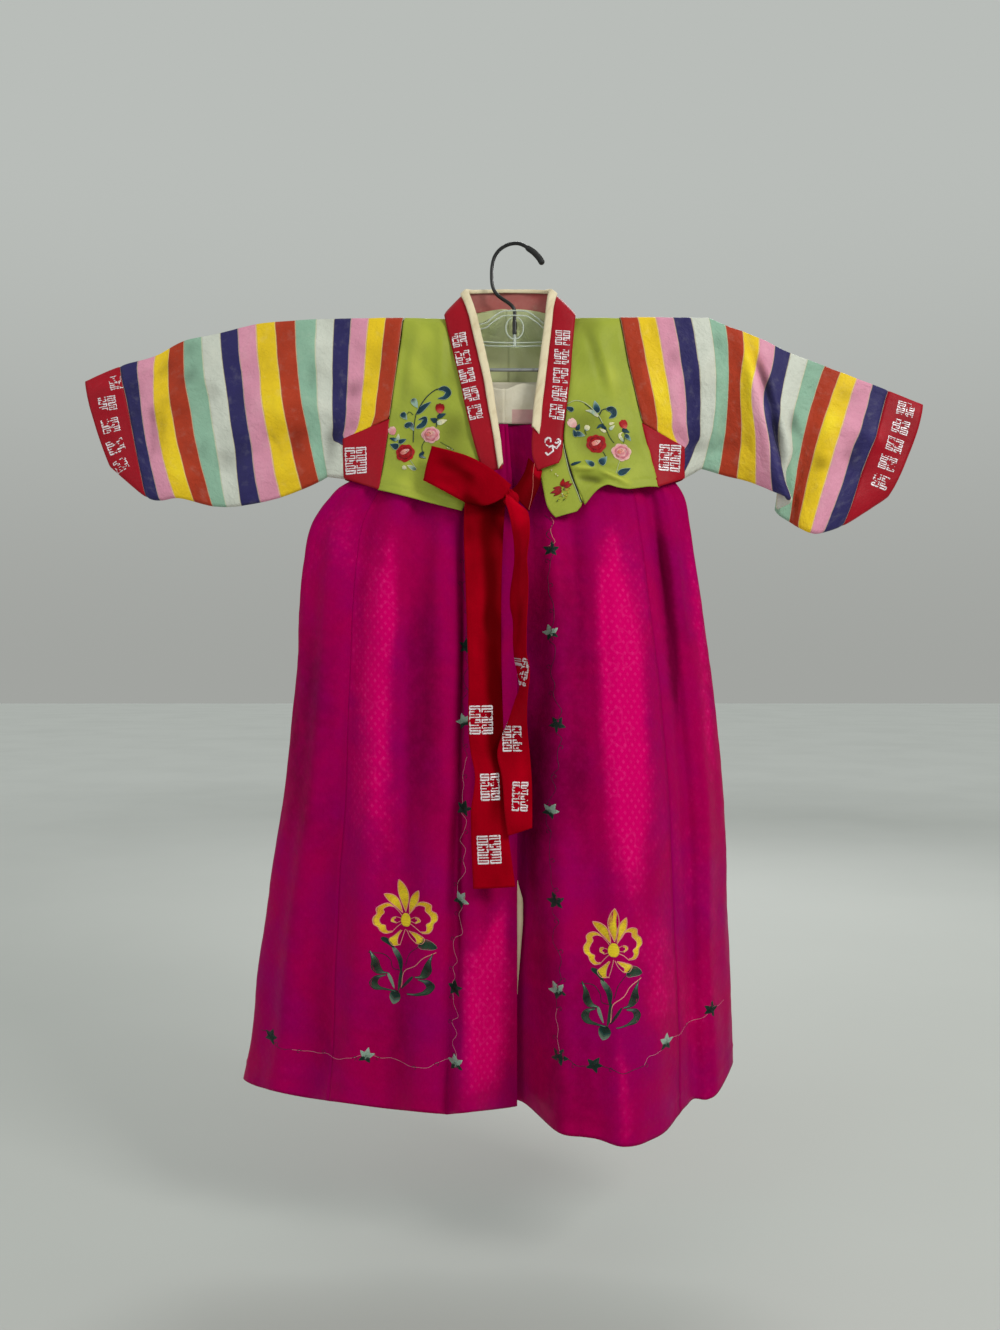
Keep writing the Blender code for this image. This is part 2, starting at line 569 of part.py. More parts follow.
def skirt_point(turn, depth):
    """A point of the skirt. Turn counts quarters from the free edge; above 4 the right edge tucks in."""
    height = mix(SKIRT_TOP_Z, HEM_Z, depth)
    left, right, edge, left_bulge, right_bulge, back = SECTION(height)
    tuck = max(turn - 4.0, 0.0)
    turn = min(turn, 4.0)
    angle = (turn % 4) * math.pi / 2 if turn < 4 else 2 * math.pi
    across, ahead = math.sin(angle), math.cos(angle)
    on_left = turn <= 2.0
    power = 2.0 / (SKIRT_EDGE_SHARE if ahead > 0 else SKIRT_BACK_SHARE)
    wide = (edge - left) if on_left else (right - edge)
    share = abs(across) ** power
    bulge = (left_bulge if on_left else right_bulge) if ahead > 0 else back
    x = edge - wide * share if on_left else edge + wide * share
    y = -bulge * abs(ahead) ** power if ahead > 0 else bulge * abs(ahead) ** power
    if ahead > 0:
        swell = fold_height(LEFT_FOLDS if on_left else RIGHT_FOLDS, share, depth)
        y -= swell * min(1.0, (1.0 - share) * 8.0)
        height -= 0.0 if on_left else float(DROP(share)[0]) * depth ** 3
    else:
        y += fold_height(BACK_FOLDS, turn - 1.0, depth) * min(1.0, (1.0 - share) * 8.0)
        if not on_left:
            height -= float(DROP(1.0)[0]) * depth ** 3 * share
    if tuck > 0:
        x -= tuck * TUCK
        y += 4.0 * tuck
    if turn >= 3.0:
        y += mix(2.0, 5.0, depth) * bump(share, 0.3)
    return np.array((x, y, height))


def seam_turn(turn, depth, way):
    """The turn half a seam's gap away from a panel's edge, forward (1) or back (-1)."""
    speed = np.linalg.norm(skirt_point(turn + 0.01, depth) - skirt_point(turn - 0.01, depth)) / 0.02
    return turn + way * PANEL_GAP / speed


def skirt_rows(start, end):
    """Rows of a panel, from the bodice to the hem, between two turns."""
    count = max(int(round((end - start) / SKIRT_STEP)), 2) + 1
    rows = []
    for height in SKIRT_HEIGHTS:
        depth = (height - SKIRT_TOP_Z) / (HEM_Z - SKIRT_TOP_Z)
        first = seam_turn(start, depth, 1) if start > 0.0 else 0.0
        last = seam_turn(end, depth, -1) if end < 4.0 else end
        rows.append([skirt_point(turn, depth) for turn in spread(first, last, count)])
    return rows


def make_skirt():
    """The wrapped skirt's panels, each open at the top and the hem."""
    for name, start, end in SKIRT_PANELS:
        loft(name, skirt_rows(start, end), "magenta", flip=True)


# ---------------------------------------------------------------- ribbons

def strip_rows(table, count, crown=1.0):
    """Rows across a flat ribbon, a little crowned in the middle."""
    read = smooth_table(table)
    rows = []
    for share in spread(0.0, 1.0, count):
        left, right = np.split(np.array(read(share)), 2)
        rows.append([mix(left, right, step) - np.array((0, crown * math.sin(math.pi * step), 0))
                     for step in (0, 0.33, 0.67, 1)])
    return rows


def make_ribbons():
    """The tie: its loop, the lead from the collar, the knot and two tails."""
    back = strip_rows(LOOP_BACK, 7, 0.5)
    front = strip_rows(LOOP_FRONT, 8, 0.8)
    loft("tie_loop", back + front, "ribbon", wall=RIBBON)
    loft("tie_lead", strip_rows(LEAD, 6), "ribbon", wall=RIBBON)
    loft("tie_tail_left", strip_rows(LEFT_TAIL, 17, 1.5), "ribbon", wall=RIBBON)
    read = smooth_table(RIGHT_TAIL)
    rows = []
    for share in spread(0.0, 1.0, 19):
        x, y, z, width, turn = read(share)
        angle = math.radians(turn)
        arm = np.array((math.cos(angle), -math.sin(angle), 0.0)) * width / 2
        rows.append([np.array((x, y, z)) + arm * step for step in (-1, -0.33, 0.33, 1)])
    loft("tie_tail_right", rows, "ribbon", wall=RIBBON)
    make_knot()


def make_knot():
    """The tie's knot, a soft wrapped lump."""
    knot = bmesh.new()
    bmesh.ops.create_cube(knot, size=1.0)
    for vertex in knot.verts:
        x, y, z = vertex.co
        offset = Vector((x * KNOT_SIZE[0], y * KNOT_SIZE[1], z * KNOT_SIZE[2]))
        slant = Vector((z * KNOT_LEAN, 0.0, x * KNOT_SLOPE))
        vertex.co = (Vector(KNOT_PLACE) + offset + slant) * MM
    mesh = bpy.data.meshes.new("tie_knot")
    knot.to_mesh(mesh)
    knot.free()
    mesh.materials.append(material_of("ribbon"))
    mesh.shade_smooth()
    piece = bpy.data.objects.new("tie_knot", mesh)
    collection_of("hanbok").objects.link(piece)
    soft = piece.modifiers.new("soft", "SUBSURF")
    soft.levels = soft.render_levels = 2


# ---------------------------------------------------------------- skirt bodice

def bodice_depth(x, share):
    """How far the bodice stands off the hanger's plane at x, a share of the way down to the skirt."""
    half = BODICE_LEFT if x < BODICE_MIDDLE else BODICE_RIGHT
    across = min(abs((x - BODICE_MIDDLE) / (half - BODICE_MIDDLE)), 1.0)
    round_off = (1.0 - across ** SKIRT_EDGE_SHARE) ** (1.0 / SKIRT_EDGE_SHARE)
    return max(mix(6.8, 8.0, share) * round_off, 1.7)


def bodice_panel(name, start, end, top, face, inset):
    """A panel of the bodice from x start to x end, on its front (-1) or back (+1) face."""
    rows = []
    for share in (0.0, 0.5, 1.0):
        flare = mix(0.97, 1.0, share)
        row = []
        for x in spread(start, end, 9):
            place = BODICE_MIDDLE + (x - BODICE_MIDDLE) * flare
            depth = face * (bodice_depth(place, share) - inset)
            row.append(np.array((place, depth, mix(top, BODICE_FOOT_Z, share))))
        rows.append(row)
    loft(name, rows, "white", flip=face > 0)


def make_bodice():
    """The white bodice above the skirt: two fronts that overlap, a back and two shoulder straps."""
    left, right = BODICE_LEFT + 0.5, BODICE_RIGHT - 0.5
    bodice_panel("bodice_front_left", left, BODICE_OVERLAP[1], BODICE_TOP_Z, -1, 0.0)
    bodice_panel("bodice_front_right", BODICE_OVERLAP[0], right, BODICE_TOP_Z, -1, BODICE_INSET)
    bodice_panel("bodice_back", left, right, BODICE_BACK_Z, 1, 0.0)
    for word, middle, inset in (("left", STRAP_LEFT, 0.0), ("right", STRAP_RIGHT, BODICE_INSET)):
        back = bodice_depth(middle, 0.0)
        line = [(inset - back, BODICE_TOP_Z + 0.4), *STRAP_LINE, (back, BODICE_BACK_Z + 0.4)]
        rows = [[np.array((middle + step, y, z)) for step in (-STRAP_HALF, 0, STRAP_HALF)] for y, z in line]
        loft("bodice_strap_" + word, rows, "white")


# ---------------------------------------------------------------- hanger

def wire(name, points, radius, material):
    """A round wire along points x z in the hanger's plane."""
    curve = bpy.data.curves.new(name, "CURVE")
    curve.dimensions = "3D"
    curve.bevel_depth = radius * MM
    curve.bevel_resolution = 2
    curve.use_fill_caps = True
    spline = curve.splines.new("POLY")
    spline.points.add(len(points) - 1)
    for point, (x, z) in zip(spline.points, points):
        point.co = (x * MM, 0.0, z * MM, 1.0)
    curve.materials.append(material_of(material))
    piece = bpy.data.objects.new(name, curve)
    collection_of("hanbok").objects.link(piece)
    return piece


def rounded(points, count):
    """More points along a smooth line through the points given."""
    read = smooth_table([(index, *point) for index, point in enumerate(points)])
    return [tuple(read(place)) for place in spread(0.0, len(points) - 1.0, count)]


def hanger_half():
    """Half of the hanger's outline from the boss's top, round the arm, to the middle of its foot."""
    top = [(2.3, HUMP_Z), (9, HUMP_Z), (14, HUMP_Z - 1.5), (22, HUMP_Z - 7), (31, HANGER_TOP_Z),
           (60, HANGER_TOP_Z), (HANGER_ARM, HANGER_TOP_Z - 1.5), (HANGER_ARM, HANGER_TOP_Z - 8.5)]
    leg = [(HANGER_LEG + 8, HANGER_FOOT_Z + 4), (HANGER_LEG + 5, BAR_Z - 4), (HANGER_LEG - 3, BAR_Z - 4),
           (HANGER_LEG - 7, HANGER_FOOT_Z)]
    boss = [(60, HANGER_FOOT_Z), (40, HANGER_FOOT_Z - 5), (8, HANGER_FOOT_Z - 8)]
    return top + leg + boss


def hanger_outline():
    """The hanger's outline with the window of its boss, open at the top where the shank goes in."""
    half = hanger_half()
    angles = spread(WINDOW_SLOT, 2 * math.pi - WINDOW_SLOT, 17)
    window = [(-WINDOW_WIDE * math.sin(angle), WINDOW_Z + WINDOW_HIGH * math.cos(angle)) for angle in angles]
    return [(-x, z) for x, z in half[::-1]] + window + half


def make_hanger():
    """The clear hanger with its hook, the hook's rubber tip and the steel bar."""
    wire("hanger_hook", rounded(HOOK_LINE, 31), HOOK_WIRE, "black")
    wire("hook_tip", rounded(HOOK_TIP_LINE, 6), HOOK_TIP_RADIUS, "black")
    reach = HANGER_LEG - BAR_END
    wire("hanger_bar", [(HANGER_X + x, BAR_Z) for x in (-reach, 0.0, reach)], BAR_RADIUS, "steel")
    curve = bpy.data.curves.new("hanger_outline", "CURVE")
    curve.dimensions = "2D"
    curve.fill_mode = "BOTH"
    curve.extrude = HANGER_THICK / 2 * MM
    outline = hanger_outline()
    spline = curve.splines.new("POLY")
    spline.points.add(len(outline) - 1)
    spline.use_cyclic_u = True
    for point, (x, z) in zip(spline.points, outline):
        point.co = ((HANGER_X + x) * MM, z * MM, 0.0, 1.0)
    plate = bpy.data.objects.new("hanger_outline", curve)
    collection_of("hanbok").objects.link(plate)
    plate.rotation_euler = (math.pi / 2, 0, 0)
    bpy.context.view_layer.update()
    solid = bpy.data.meshes.new_from_object(plate.evaluated_get(bpy.context.evaluated_depsgraph_get()))
    solid.transform(plate.matrix_world)
    bpy.data.objects.remove(plate, do_unlink=True)
    welded = bmesh.new()
    welded.from_mesh(solid)
    bmesh.ops.remove_doubles(welded, verts=welded.verts, dist=0.00001)
    bmesh.ops.recalc_face_normals(welded, faces=welded.faces)
    welded.to_mesh(solid)
    welded.free()
    solid.name = "hanger_body"
    solid.materials.clear()
    solid.materials.append(material_of("clear"))
    body = bpy.data.objects.new("hanger_body", solid)
    collection_of("hanbok").objects.link(body)


def sleeve_side(turn, lines, armhole, fullness, stations):
    """What a sleeve is worked out from; turn is -1 on the left and 1 on the right."""
    return {"turn": turn, "lines": [smooth_table(line) for line in lines], "armhole": straight_table(armhole),
            "fullness": smooth_table(fullness), "stations": stations}


def main():
    """Build the garment on its hanger."""
    clear_scene()
    left = sleeve_side(-1, (LEFT_SLEEVE_TOP, LEFT_SLEEVE_MIDDLE, LEFT_SLEEVE_FOOT), LEFT_ARMHOLE,
                       LEFT_FULLNESS, LEFT_STATIONS)
    right = sleeve_side(1, (RIGHT_SLEEVE_TOP, RIGHT_SLEEVE_MIDDLE, RIGHT_SLEEVE_FOOT), RIGHT_ARMHOLE,
                        RIGHT_FULLNESS, RIGHT_STATIONS)
    make_sleeve(left, "left")
    make_sleeve(right, "right")
    make_gusset(left, "left", {-1: LEFT_FRONT[0][4:], 1: LEFT_BACK[0][4:]})
    make_gusset(right, "right", {-1: RIGHT_FRONT[0][4:], 1: RIGHT_BACK[0][4:]})
    make_jacket_half(left, "left", LEFT_FRONT, LEFT_BACK, 0.0)
    make_jacket_half(right, "right", RIGHT_FRONT, RIGHT_BACK, 1.0)
    make_seop()
    make_collar()
    make_ribbons()
    make_bodice()
    make_skirt()
    make_hanger()


main()
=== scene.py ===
"""Looks of a child's hanbok on a clear clothes hanger, laid out as a Blender add-on.

Tables are in millimetres and MM turns them into metres. X runs to the viewer's right, -Y is the
garment's front and +Z is up. The origin is the inner top of the hanger's hook. "Left" and "right"
are the viewer's. Each cloth piece is a thin shell on the form of the solid that it stands for.
"""

import math
import random

import bmesh
import bpy
import numpy as np
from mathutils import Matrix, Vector
from mathutils.bvhtree import BVHTree


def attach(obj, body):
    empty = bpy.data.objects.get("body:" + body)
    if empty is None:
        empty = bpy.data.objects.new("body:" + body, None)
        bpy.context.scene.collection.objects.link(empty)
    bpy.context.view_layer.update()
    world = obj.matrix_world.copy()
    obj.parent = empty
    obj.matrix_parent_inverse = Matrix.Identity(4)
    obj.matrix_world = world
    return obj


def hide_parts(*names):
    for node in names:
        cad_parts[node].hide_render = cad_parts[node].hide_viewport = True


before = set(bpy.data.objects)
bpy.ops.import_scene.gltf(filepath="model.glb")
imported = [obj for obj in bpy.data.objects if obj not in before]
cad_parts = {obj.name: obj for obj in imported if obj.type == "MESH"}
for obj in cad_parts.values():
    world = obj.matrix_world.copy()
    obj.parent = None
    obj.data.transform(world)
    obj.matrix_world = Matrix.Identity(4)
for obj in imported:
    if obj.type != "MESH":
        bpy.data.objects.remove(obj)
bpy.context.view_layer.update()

bl_info = {
    "name": "Hanbok on a hanger",
    "version": (1, 0, 0),
    "blender": (4, 5, 0),
    "location": "3D View > Sidebar > Hanbok",
    "description": "Builds a child's hanbok on a clear hanger around its packed solids",
    "category": "Add Mesh",
}

MM = 0.001
BODY = "root"
CLOTH = 0.5                 # wall of the thin cloth shells
HEM_Z = -797.0
SKIRT_TOP_Z = -171.0
SKIRT_EDGE_SHARE = 1.5      # exponent of the skirt's front in plan
SKIRT_BACK_SHARE = 2.0
TUCK = 42.0
BODICE_LEFT, BODICE_MIDDLE, BODICE_RIGHT = -110.0, -4.0, 116.0
BODICE_TOP_Z, BODICE_BACK_Z, BODICE_FOOT_Z = -132.5, -126.0, -170.2
BODICE_OVERLAP = (-19.0, -7.0)
BODICE_INSET = 1.8
STRAP_LEFT, STRAP_RIGHT, STRAP_HALF = -84.0, 88.0, 10.0
HANGER_X, HANGER_ARM, HANGER_LEG = 2.5, 175.0, 153.0
HANGER_TOP_Z, HANGER_FOOT_Z, HUMP_Z, BAR_Z = -72.5, -88.0, -60.0, -117.0
STRIPE = 16.6               # width of one woven stripe
CUFF_AT, SLEEVE_END = 16.0, 18.0                # where the cuff starts and ends, in stripes
SLEEVE_DEEP = 152.0         # from a sleeve's top fold to its foot fold, for its cloth's measure
CLOTH_WALL = 1.2            # wall of the solids' cloth
LAY = 0.6                   # gap between a piece and the one that it lies on
FAN_END = 5                 # the stripe where a sleeve stops fanning out from the armhole
GUSSET_TOP, GUSSET_SIDE, GUSSET_WIDE = 0.53, 0.79, 40.0
BODY_POINTS = 8
COLLAR_START, COLLAR_END = 0.0, 21.0
TRIM_START, TRIM_END = 0.0, 18.76
TRIM_INNER, TRIM_OUTER = 1.03, 0.775
LEFT_SLANT, RIGHT_SLANT = 4.5, (3.0, 8.5)
# The trim's cut across its width: share of the collar's width, and millimetres off the collar's solid.
TRIM_FOLD = (
    (0.775, 3.0), (0.80, 4.2), (0.85, 4.5), (0.92, 4.5), (0.98, 4.4), (1.02, 3.9), (1.04, 2.6), (1.04, 0.9),
    (1.02, -0.5), (0.97, -0.9), (0.91, -0.9), (0.86, -0.8),
)
WINDOW_Z, WINDOW_WIDE, WINDOW_HIGH, WINDOW_SLOT = -77.5, 7.0, 9.5, 0.335
HANGER_THICK = 4.0
RIB_Z = -91.5               # the moulded rib along the hanger's foot
HOOK_WIRE, HOOK_TIP_RADIUS, BAR_RADIUS, BAR_END = 1.75, 3.0, 1.7, 4.4
KNOT_PLACE, KNOT_SIZE = (-1.5, -48.0, -248.0), (15, 12, 17)
KNOT_LEAN, KNOT_SLOPE = 4, -9
FRONT_SHARES = (0, 0.06, 0.12, 0.18, 0.24, 0.36, 0.48, 0.6, 0.72, 0.83, 0.94)
BACK_SHARES = (0.95, 0.85, 0.66, 0.52, 0.38, 0.24, 0.12, 0)

HOOK_LINE = (
    (15, 0), (11, 2.6), (5, 4.4), (-3, 3.4), (-11, -1), (-16.5, -8), (-19, -17), (-19.5, -28), (-18.5, -37),
    (-15, -44), (-9, -49), (-3, -53), (1, -57), (2.5, -61), (2.5, -68), (2.5, -86.4),
)
HOOK_TIP_LINE = ((15.25, -0.2), (21, -4.2), (26, -9.5), (28.5, -13.5))
COLLAR = (
    (0, -27, -30, -222, -9, -30, -217), (1, -35, -27, -196, -12, -27, -189),
    (2, -43, -22, -164, -16, -22, -162), (3, -50, -17, -130, -21, -17, -129),
    (4, -57, -13, -101, -28, -13, -97), (5, -62, -9.5, -80, -34, -10, -70), (6, -64, -7, -69, -40, -6, -51),
    (7, -62, 1, -64, -42, 1, -41.5), (8, -52, 6.5, -62, -37, 6, -39), (9, -29, 10, -59, -21, 9.5, -37.5),
    (10, -3, 11, -58, -3, 10.5, -37), (11, 22, 10, -59, 15, 9.5, -37.5), (12, 46, 6.5, -61.5, 29, 6, -39),
    (13, 58, 1, -64, 35, 1, -41.5), (14, 60, -7, -69, 34, -6, -51), (15, 59, -9.5, -81, 32, -10, -71),
    (16, 57, -13, -103, 29, -13, -97), (17, 55, -17, -130, 25, -17, -129), (18, 51, -21, -158, 21, -21, -158),
    (19, 48, -25, -179, 19, -25, -179), (20, 47, -28, -199, 18, -28, -197),
    (20.6, 46, -30, -206.5, 19.3, -30.5, -209), (21, 43.5, -31.5, -212.5, 23.5, -31.5, -220),
)
LEFT_SLEEVE_TOP = (
    (5, -187, 1, -68), (6, -208, 2, -69), (8, -246, 4, -72), (10, -281, 6, -80), (12, -316, 8, -87),
    (14, -344, 9, -101), (16, -379, 10, -111), (18, -413, 12, -125),
)
LEFT_SLEEVE_MIDDLE = (
    (5, -185, 0, -146), (6, -200, 1, -149), (8, -237, 1, -157), (10, -271, 3, -162), (12, -309, 5, -156),
    (14, -341, 6, -166), (16, -366, 8, -168), (18, -402, 10, -165),
)
LEFT_SLEEVE_FOOT = (
    (5, -177, 0, -220), (6, -185, -2, -225), (8, -221, -4, -240), (10, -259, -3, -248), (12, -287, 0, -248),
    (14, -323, 2, -240), (15, -338, 3, -242), (16, -352, 5, -239), (17, -370, 7, -225), (18, -387, 9, -210),
)
RIGHT_SLEEVE_TOP = (
    (5, 188, 0, -67), (6, 204, 0, -74), (8, 237, 2, -86), (10, 268, 4, -100), (12, 301, 5, -112),
    (14, 332, 6, -124), (16, 363, 8, -135), (18, 397, 10, -148),
)
RIGHT_SLEEVE_MIDDLE = (
    (5, 194, -1, -141), (6, 208, -2, -142), (7, 222, -7, -147), (8, 234, -12, -157), (9, 244, -15, -166),
    (10, 255, -11, -173), (11, 267, -4, -171), (12, 281, 1, -174), (13, 295, 0, -179), (14, 311, -2, -183),
    (16, 345, 4, -185), (18, 383, 8, -192),
)
RIGHT_SLEEVE_FOOT = (
    (5, 182, 1, -212), (6, 198, 0, -217), (8, 232, -12, -229), (9, 246, -20, -237), (9.8, 258, -25, -244),
    (10.2, 261.5, -20, -247), (10.7, 257, -14, -250), (11.1, 252, -9, -253), (11.5, 256, -2.5, -257),
    (12, 266, -1, -263), (13, 273, -10, -270), (14, 282, -15, -275), (15, 294, -12, -275),
    (16, 315, -5, -268), (17, 339, 0, -254), (18, 360, 4, -240),
)
LEFT_ARMHOLE = (
    (0, -104, 0, -67), (0.27, -110, 0, -117), (0.53, -117, 0, -166), (0.79, -160, 0, -185),
    (1, -160, 0, -222),
)
RIGHT_ARMHOLE = (
    (0, 103, 0, -66.5), (0.27, 111, 0, -114), (0.53, 124, 0, -170), (0.79, 163, 0, -193), (1, 164, 0, -222),
)
LEFT_FULLNESS = ((0, 4.6, 11), (2.5, 3.6, 9.5), (5, 2.6, 8.2), (12, 2.4, 7.5), (18, 2.6, 8))
RIGHT_FULLNESS = (
    (0, 4.6, 11), (2.5, 3.6, 9.5), (5, 2.6, 8), (7, 2.2, 4.6), (9, 2.2, 4), (12, 2.2, 4), (14, 2.3, 7),
    (18, 2.6, 8),
)
LEFT_FRONT = (
    (0, -47, -35, -257, -127, -20, -235), (0.12, -38, -32, -236, -123, -16, -212),
    (0.24, -30, -28, -212, -120, -13, -189), (0.36, -33, -25, -196, -117, -11, -166),
    (0.55, -41, -20, -164, -113.5, -10.5, -141), (0.72, -48.5, -15.5, -130, -110, -9.5, -117),
    (0.86, -56, -11.5, -101, -106, -7.5, -90), (0.94, -60.5, -8, -80, -104.5, -6, -75),
)
RIGHT_FRONT = (
    (0, 67.5, -33, -251, 139, -18, -232), (0.12, 59, -31, -231, 134, -16, -212),
    (0.24, 52.5, -29, -209, 129, -13, -190), (0.36, 48.5, -26, -190, 124, -11, -170),
    (0.55, 51, -21, -162, 117.5, -10.5, -143), (0.72, 53.5, -16, -130, 111, -9.5, -114),
    (0.86, 56, -11.5, -103, 106.5, -7.5, -88), (0.94, 58, -8, -81, 104, -6, -75),
)
SHOULDER = (
    (59, -4.2, -70.5, 103.2, -4.2, -69.5), (60, -1.6, -68.4, 103.2, -1.6, -67.4),
    (60, 1.6, -67.8, 103.2, 1.6, -67.2), (56, 4.2, -66.4, 103.2, 4.2, -69.4),
    (50, 5.6, -64.8, 103.4, 5.3, -71.2), (28, 8.9, -59, 103.4, 6.3, -75),
)
HEM_LIFT = ((0, 0), (0.1, 7), (0.22, 14), (0.4, 9.5), (0.62, 4), (0.8, 3.5), (1, 0))
LEFT_BACK = (
    (0, -3.2, 26, -230, -126, 19, -233), (0.2, -3.2, 24, -196, -121, 14, -196),
    (0.4, -3.2, 21, -160, -117, 11, -166), (0.6, -3.2, 18, -124, -112.5, 10.5, -135),
    (0.8, -3.2, 14.5, -90, -107.5, 9, -103), (0.95, -3.2, 10.2, -57, -105, 7, -80),
)
RIGHT_BACK = (
    (0, -2.8, 26, -230, 138, 19, -231), (0.2, -2.8, 24, -196, 130, 14, -200),
    (0.4, -2.8, 21, -160, 124, 11, -170), (0.6, -2.8, 18, -124, 114.5, 10.5, -135),
    (0.8, -2.8, 14.5, -90, 107.5, 9, -103), (0.95, -2.8, 10.2, -57, 104.5, 7, -80),
)
SEOP = (
    (0, 20, -26.6, -206, 47, -24.4, -186), (0.18, 25, -28.8, -219, 50.5, -27.4, -203),
    (0.4, 28, -30.5, -232, 55, -30, -221), (0.65, 30.5, -32.5, -245, 61, -31.8, -237),
    (0.85, 34, -34, -256, 65.5, -33.2, -249), (1, 40, -35, -263, 60, -34.4, -257.5),
)
SKIRT_SECTIONS = (
    (-171, -110, 116, -4, 8, 8, 8), (-186, -122, 126, -3, 12, 12, 11), (-200, -134, 136, -2, 16, 16, 13),
    (-214, -142, 147, -1, 17, 19, 15), (-222, -150, 153, 0, 18.5, 21, 16),
    (-229, -163, 159, 0, 20.5, 22.5, 17), (-243, -177, 166, 1, 25, 25, 18),
    (-262, -190, 169.5, 2, 29, 29, 20), (-300, -199, 175.5, 3, 41, 42, 22),
    (-350, -204, 182.5, 4, 53, 58, 24), (-400, -206, 189.5, 4, 62, 71, 25),
    (-460, -211.5, 196, 4, 71, 85, 26), (-520, -217.5, 202, 4, 79, 97, 27),
    (-580, -227.5, 204.5, 4, 85, 106, 28), (-640, -236, 206, 4, 89, 113, 28),
    (-700, -244, 208, 4, 92, 119, 29), (-750, -249, 210, 4, 94, 122, 29), (-797, -258, 211, 4, 95, 124, 30),
)
LEFT_FOLDS = (
    (0.00, 0.13, 0, -5, -29), (0.17, 0.07, 1.5, 3, 7), (0.235, 0.035, -1.5, -5, -8), (0.32, 0.07, 1.5, 4, 4),
    (0.45, 0.08, -2, -8, -9), (0.59, 0.09, 2, 7, 9), (0.74, 0.07, -2, -6, -10), (0.86, 0.06, 1.5, 5, 6),
)
RIGHT_FOLDS = (
    (0.00, 0.16, -3.5, -17, -64), (0.2, 0.06, 1, 4, 4), (0.33, 0.08, -1.5, -9, -5), (0.47, 0.24, 2, 8, 29),
    (0.62, 0.07, 1.5, 3, 4), (0.79, 0.05, -2, -9, -8), (0.90, 0.05, 1.5, 4, 7),
)
BACK_FOLDS = (
    (0.12, 0.06, 1.5, 4, 6), (0.27, 0.07, -1.5, -4, -8), (0.45, 0.08, 1.5, 4, 9), (0.62, 0.07, -1.5, -5, -9),
    (0.8, 0.08, 1.5, 4, 7), (0.98, 0.08, -1, -3, -8), (1.17, 0.08, 1.5, 4, 9), (1.36, 0.07, -1.5, -4, -8),
    (1.55, 0.08, 1.5, 4, 8), (1.73, 0.07, -1.5, -5, -9), (1.88, 0.06, 1.5, 3, 6),
)
HEM_DROP = ((0, 0), (0.15, 4), (0.3, 9), (0.5, 13), (0.62, 11), (0.75, 1), (0.86, 3), (0.94, -7), (1, -17))
LOOP_BACK = (
    (0, -4, -43.4, -236, -9, -43.4, -243), (0.35, -32, -41, -216, -45, -42, -246),
    (0.75, -60, -36, -203, -66, -37, -235), (1, -73, -34, -198, -80, -34, -228),
)
LOOP_FRONT = (
    (0, -75, -37.5, -197, -83, -37.5, -229), (0.25, -58, -42, -202, -64, -42.5, -239.5),
    (0.5, -40, -47, -208.5, -51, -46, -247), (0.72, -25, -51, -217, -38, -50, -253),
    (0.88, -12, -54, -226.6, -22, -53, -254), (1, -1.2, -56, -236.2, -6.6, -55, -247),
)
LEAD = (
    (0, 15, -32.4, -207, 28, -31, -219), (0.3, 11.5, -35.4, -220, 25, -35.6, -234),
    (0.6, 5, -39, -232, 20, -40, -246), (1, -2, -42.1, -240, 15.4, -43.5, -259),
)
LEFT_TAIL = (
    (0, -43, -39.9, -240, -6, -39.9, -243), (0.06, -44.6, -40.4, -256, -7, -41, -256),
    (0.12, -45, -43, -272, -8, -44, -272), (0.28, -43, -56, -326, -10, -56, -326),
    (0.48, -40, -71, -405, -10, -71, -405), (0.66, -37.6, -83.5, -478, -8, -83.5, -478),
    (0.705, -33.8, -88, -497, -8, -87, -497), (0.745, -34.6, -90.5, -511, -8, -89.5, -511),
    (0.79, -37, -92, -527, -6.5, -92, -527), (0.84, -37, -93, -545, -4.6, -94, -545),
    (1, -35, -99, -596, 2, -100, -594),
)
RIGHT_TAIL = (
    (0, -8, -50, -242, -3.5, -50.5, -243.5), (0.015, -6.3, -57.5, -246, -1, -57, -247.5),
    (0.04, -6.7, -61, -252, 6.4, -60, -254.5), (0.06, -4.8, -61.5, -258.5, 13, -60, -260),
    (0.08, -3.3, -61, -264, 14.8, -60.5, -265), (0.12, -0.8, -58, -276.3, 15.5, -64, -276.3),
    (0.16, 0.9, -55, -288, 14.6, -67, -288), (0.21, 1.4, -54, -305, 12.6, -70, -305),
    (0.25, -0.4, -54, -320, 13.3, -77, -320), (0.3, -2.4, -57, -334.7, 13.3, -80, -334.7),
    (0.335, -2.6, -60, -345.8, 13, -82, -345.8), (0.382, -0.1, -62, -360, 12, -86, -360),
    (0.45, 0.1, -67, -381, 11.4, -92, -381), (0.482, 0.8, -69.5, -391, 11.6, -94.5, -391),
    (0.516, 2.6, -73, -401.5, 13.9, -97, -401.5), (0.55, 4.6, -77, -411.7, 14, -101, -411.7),
    (0.575, 5.6, -79, -419, 13, -103, -419), (0.616, 1.5, -81, -432, 11.9, -104, -432),
    (0.671, -4.1, -84, -449, 11.7, -103, -449), (0.765, -14, -90, -478, 14.6, -95, -478),
    (0.832, -10.1, -93, -498.5, 16.2, -95, -498.5), (0.94, -7.4, -97, -531.6, 16.7, -99, -531.6),
    (1, -5.1, -99, -550, 16.6, -101, -542.4),
)
STRAP_LINE = (
    (-3.6, -110), (-3.8, -92), (-3.8, -78), (-3.0, -71.8), (0, -69.7), (3.0, -71.8), (3.8, -78), (3.8, -100),
)


# ---------------------------------------------------------------- tables read smoothly

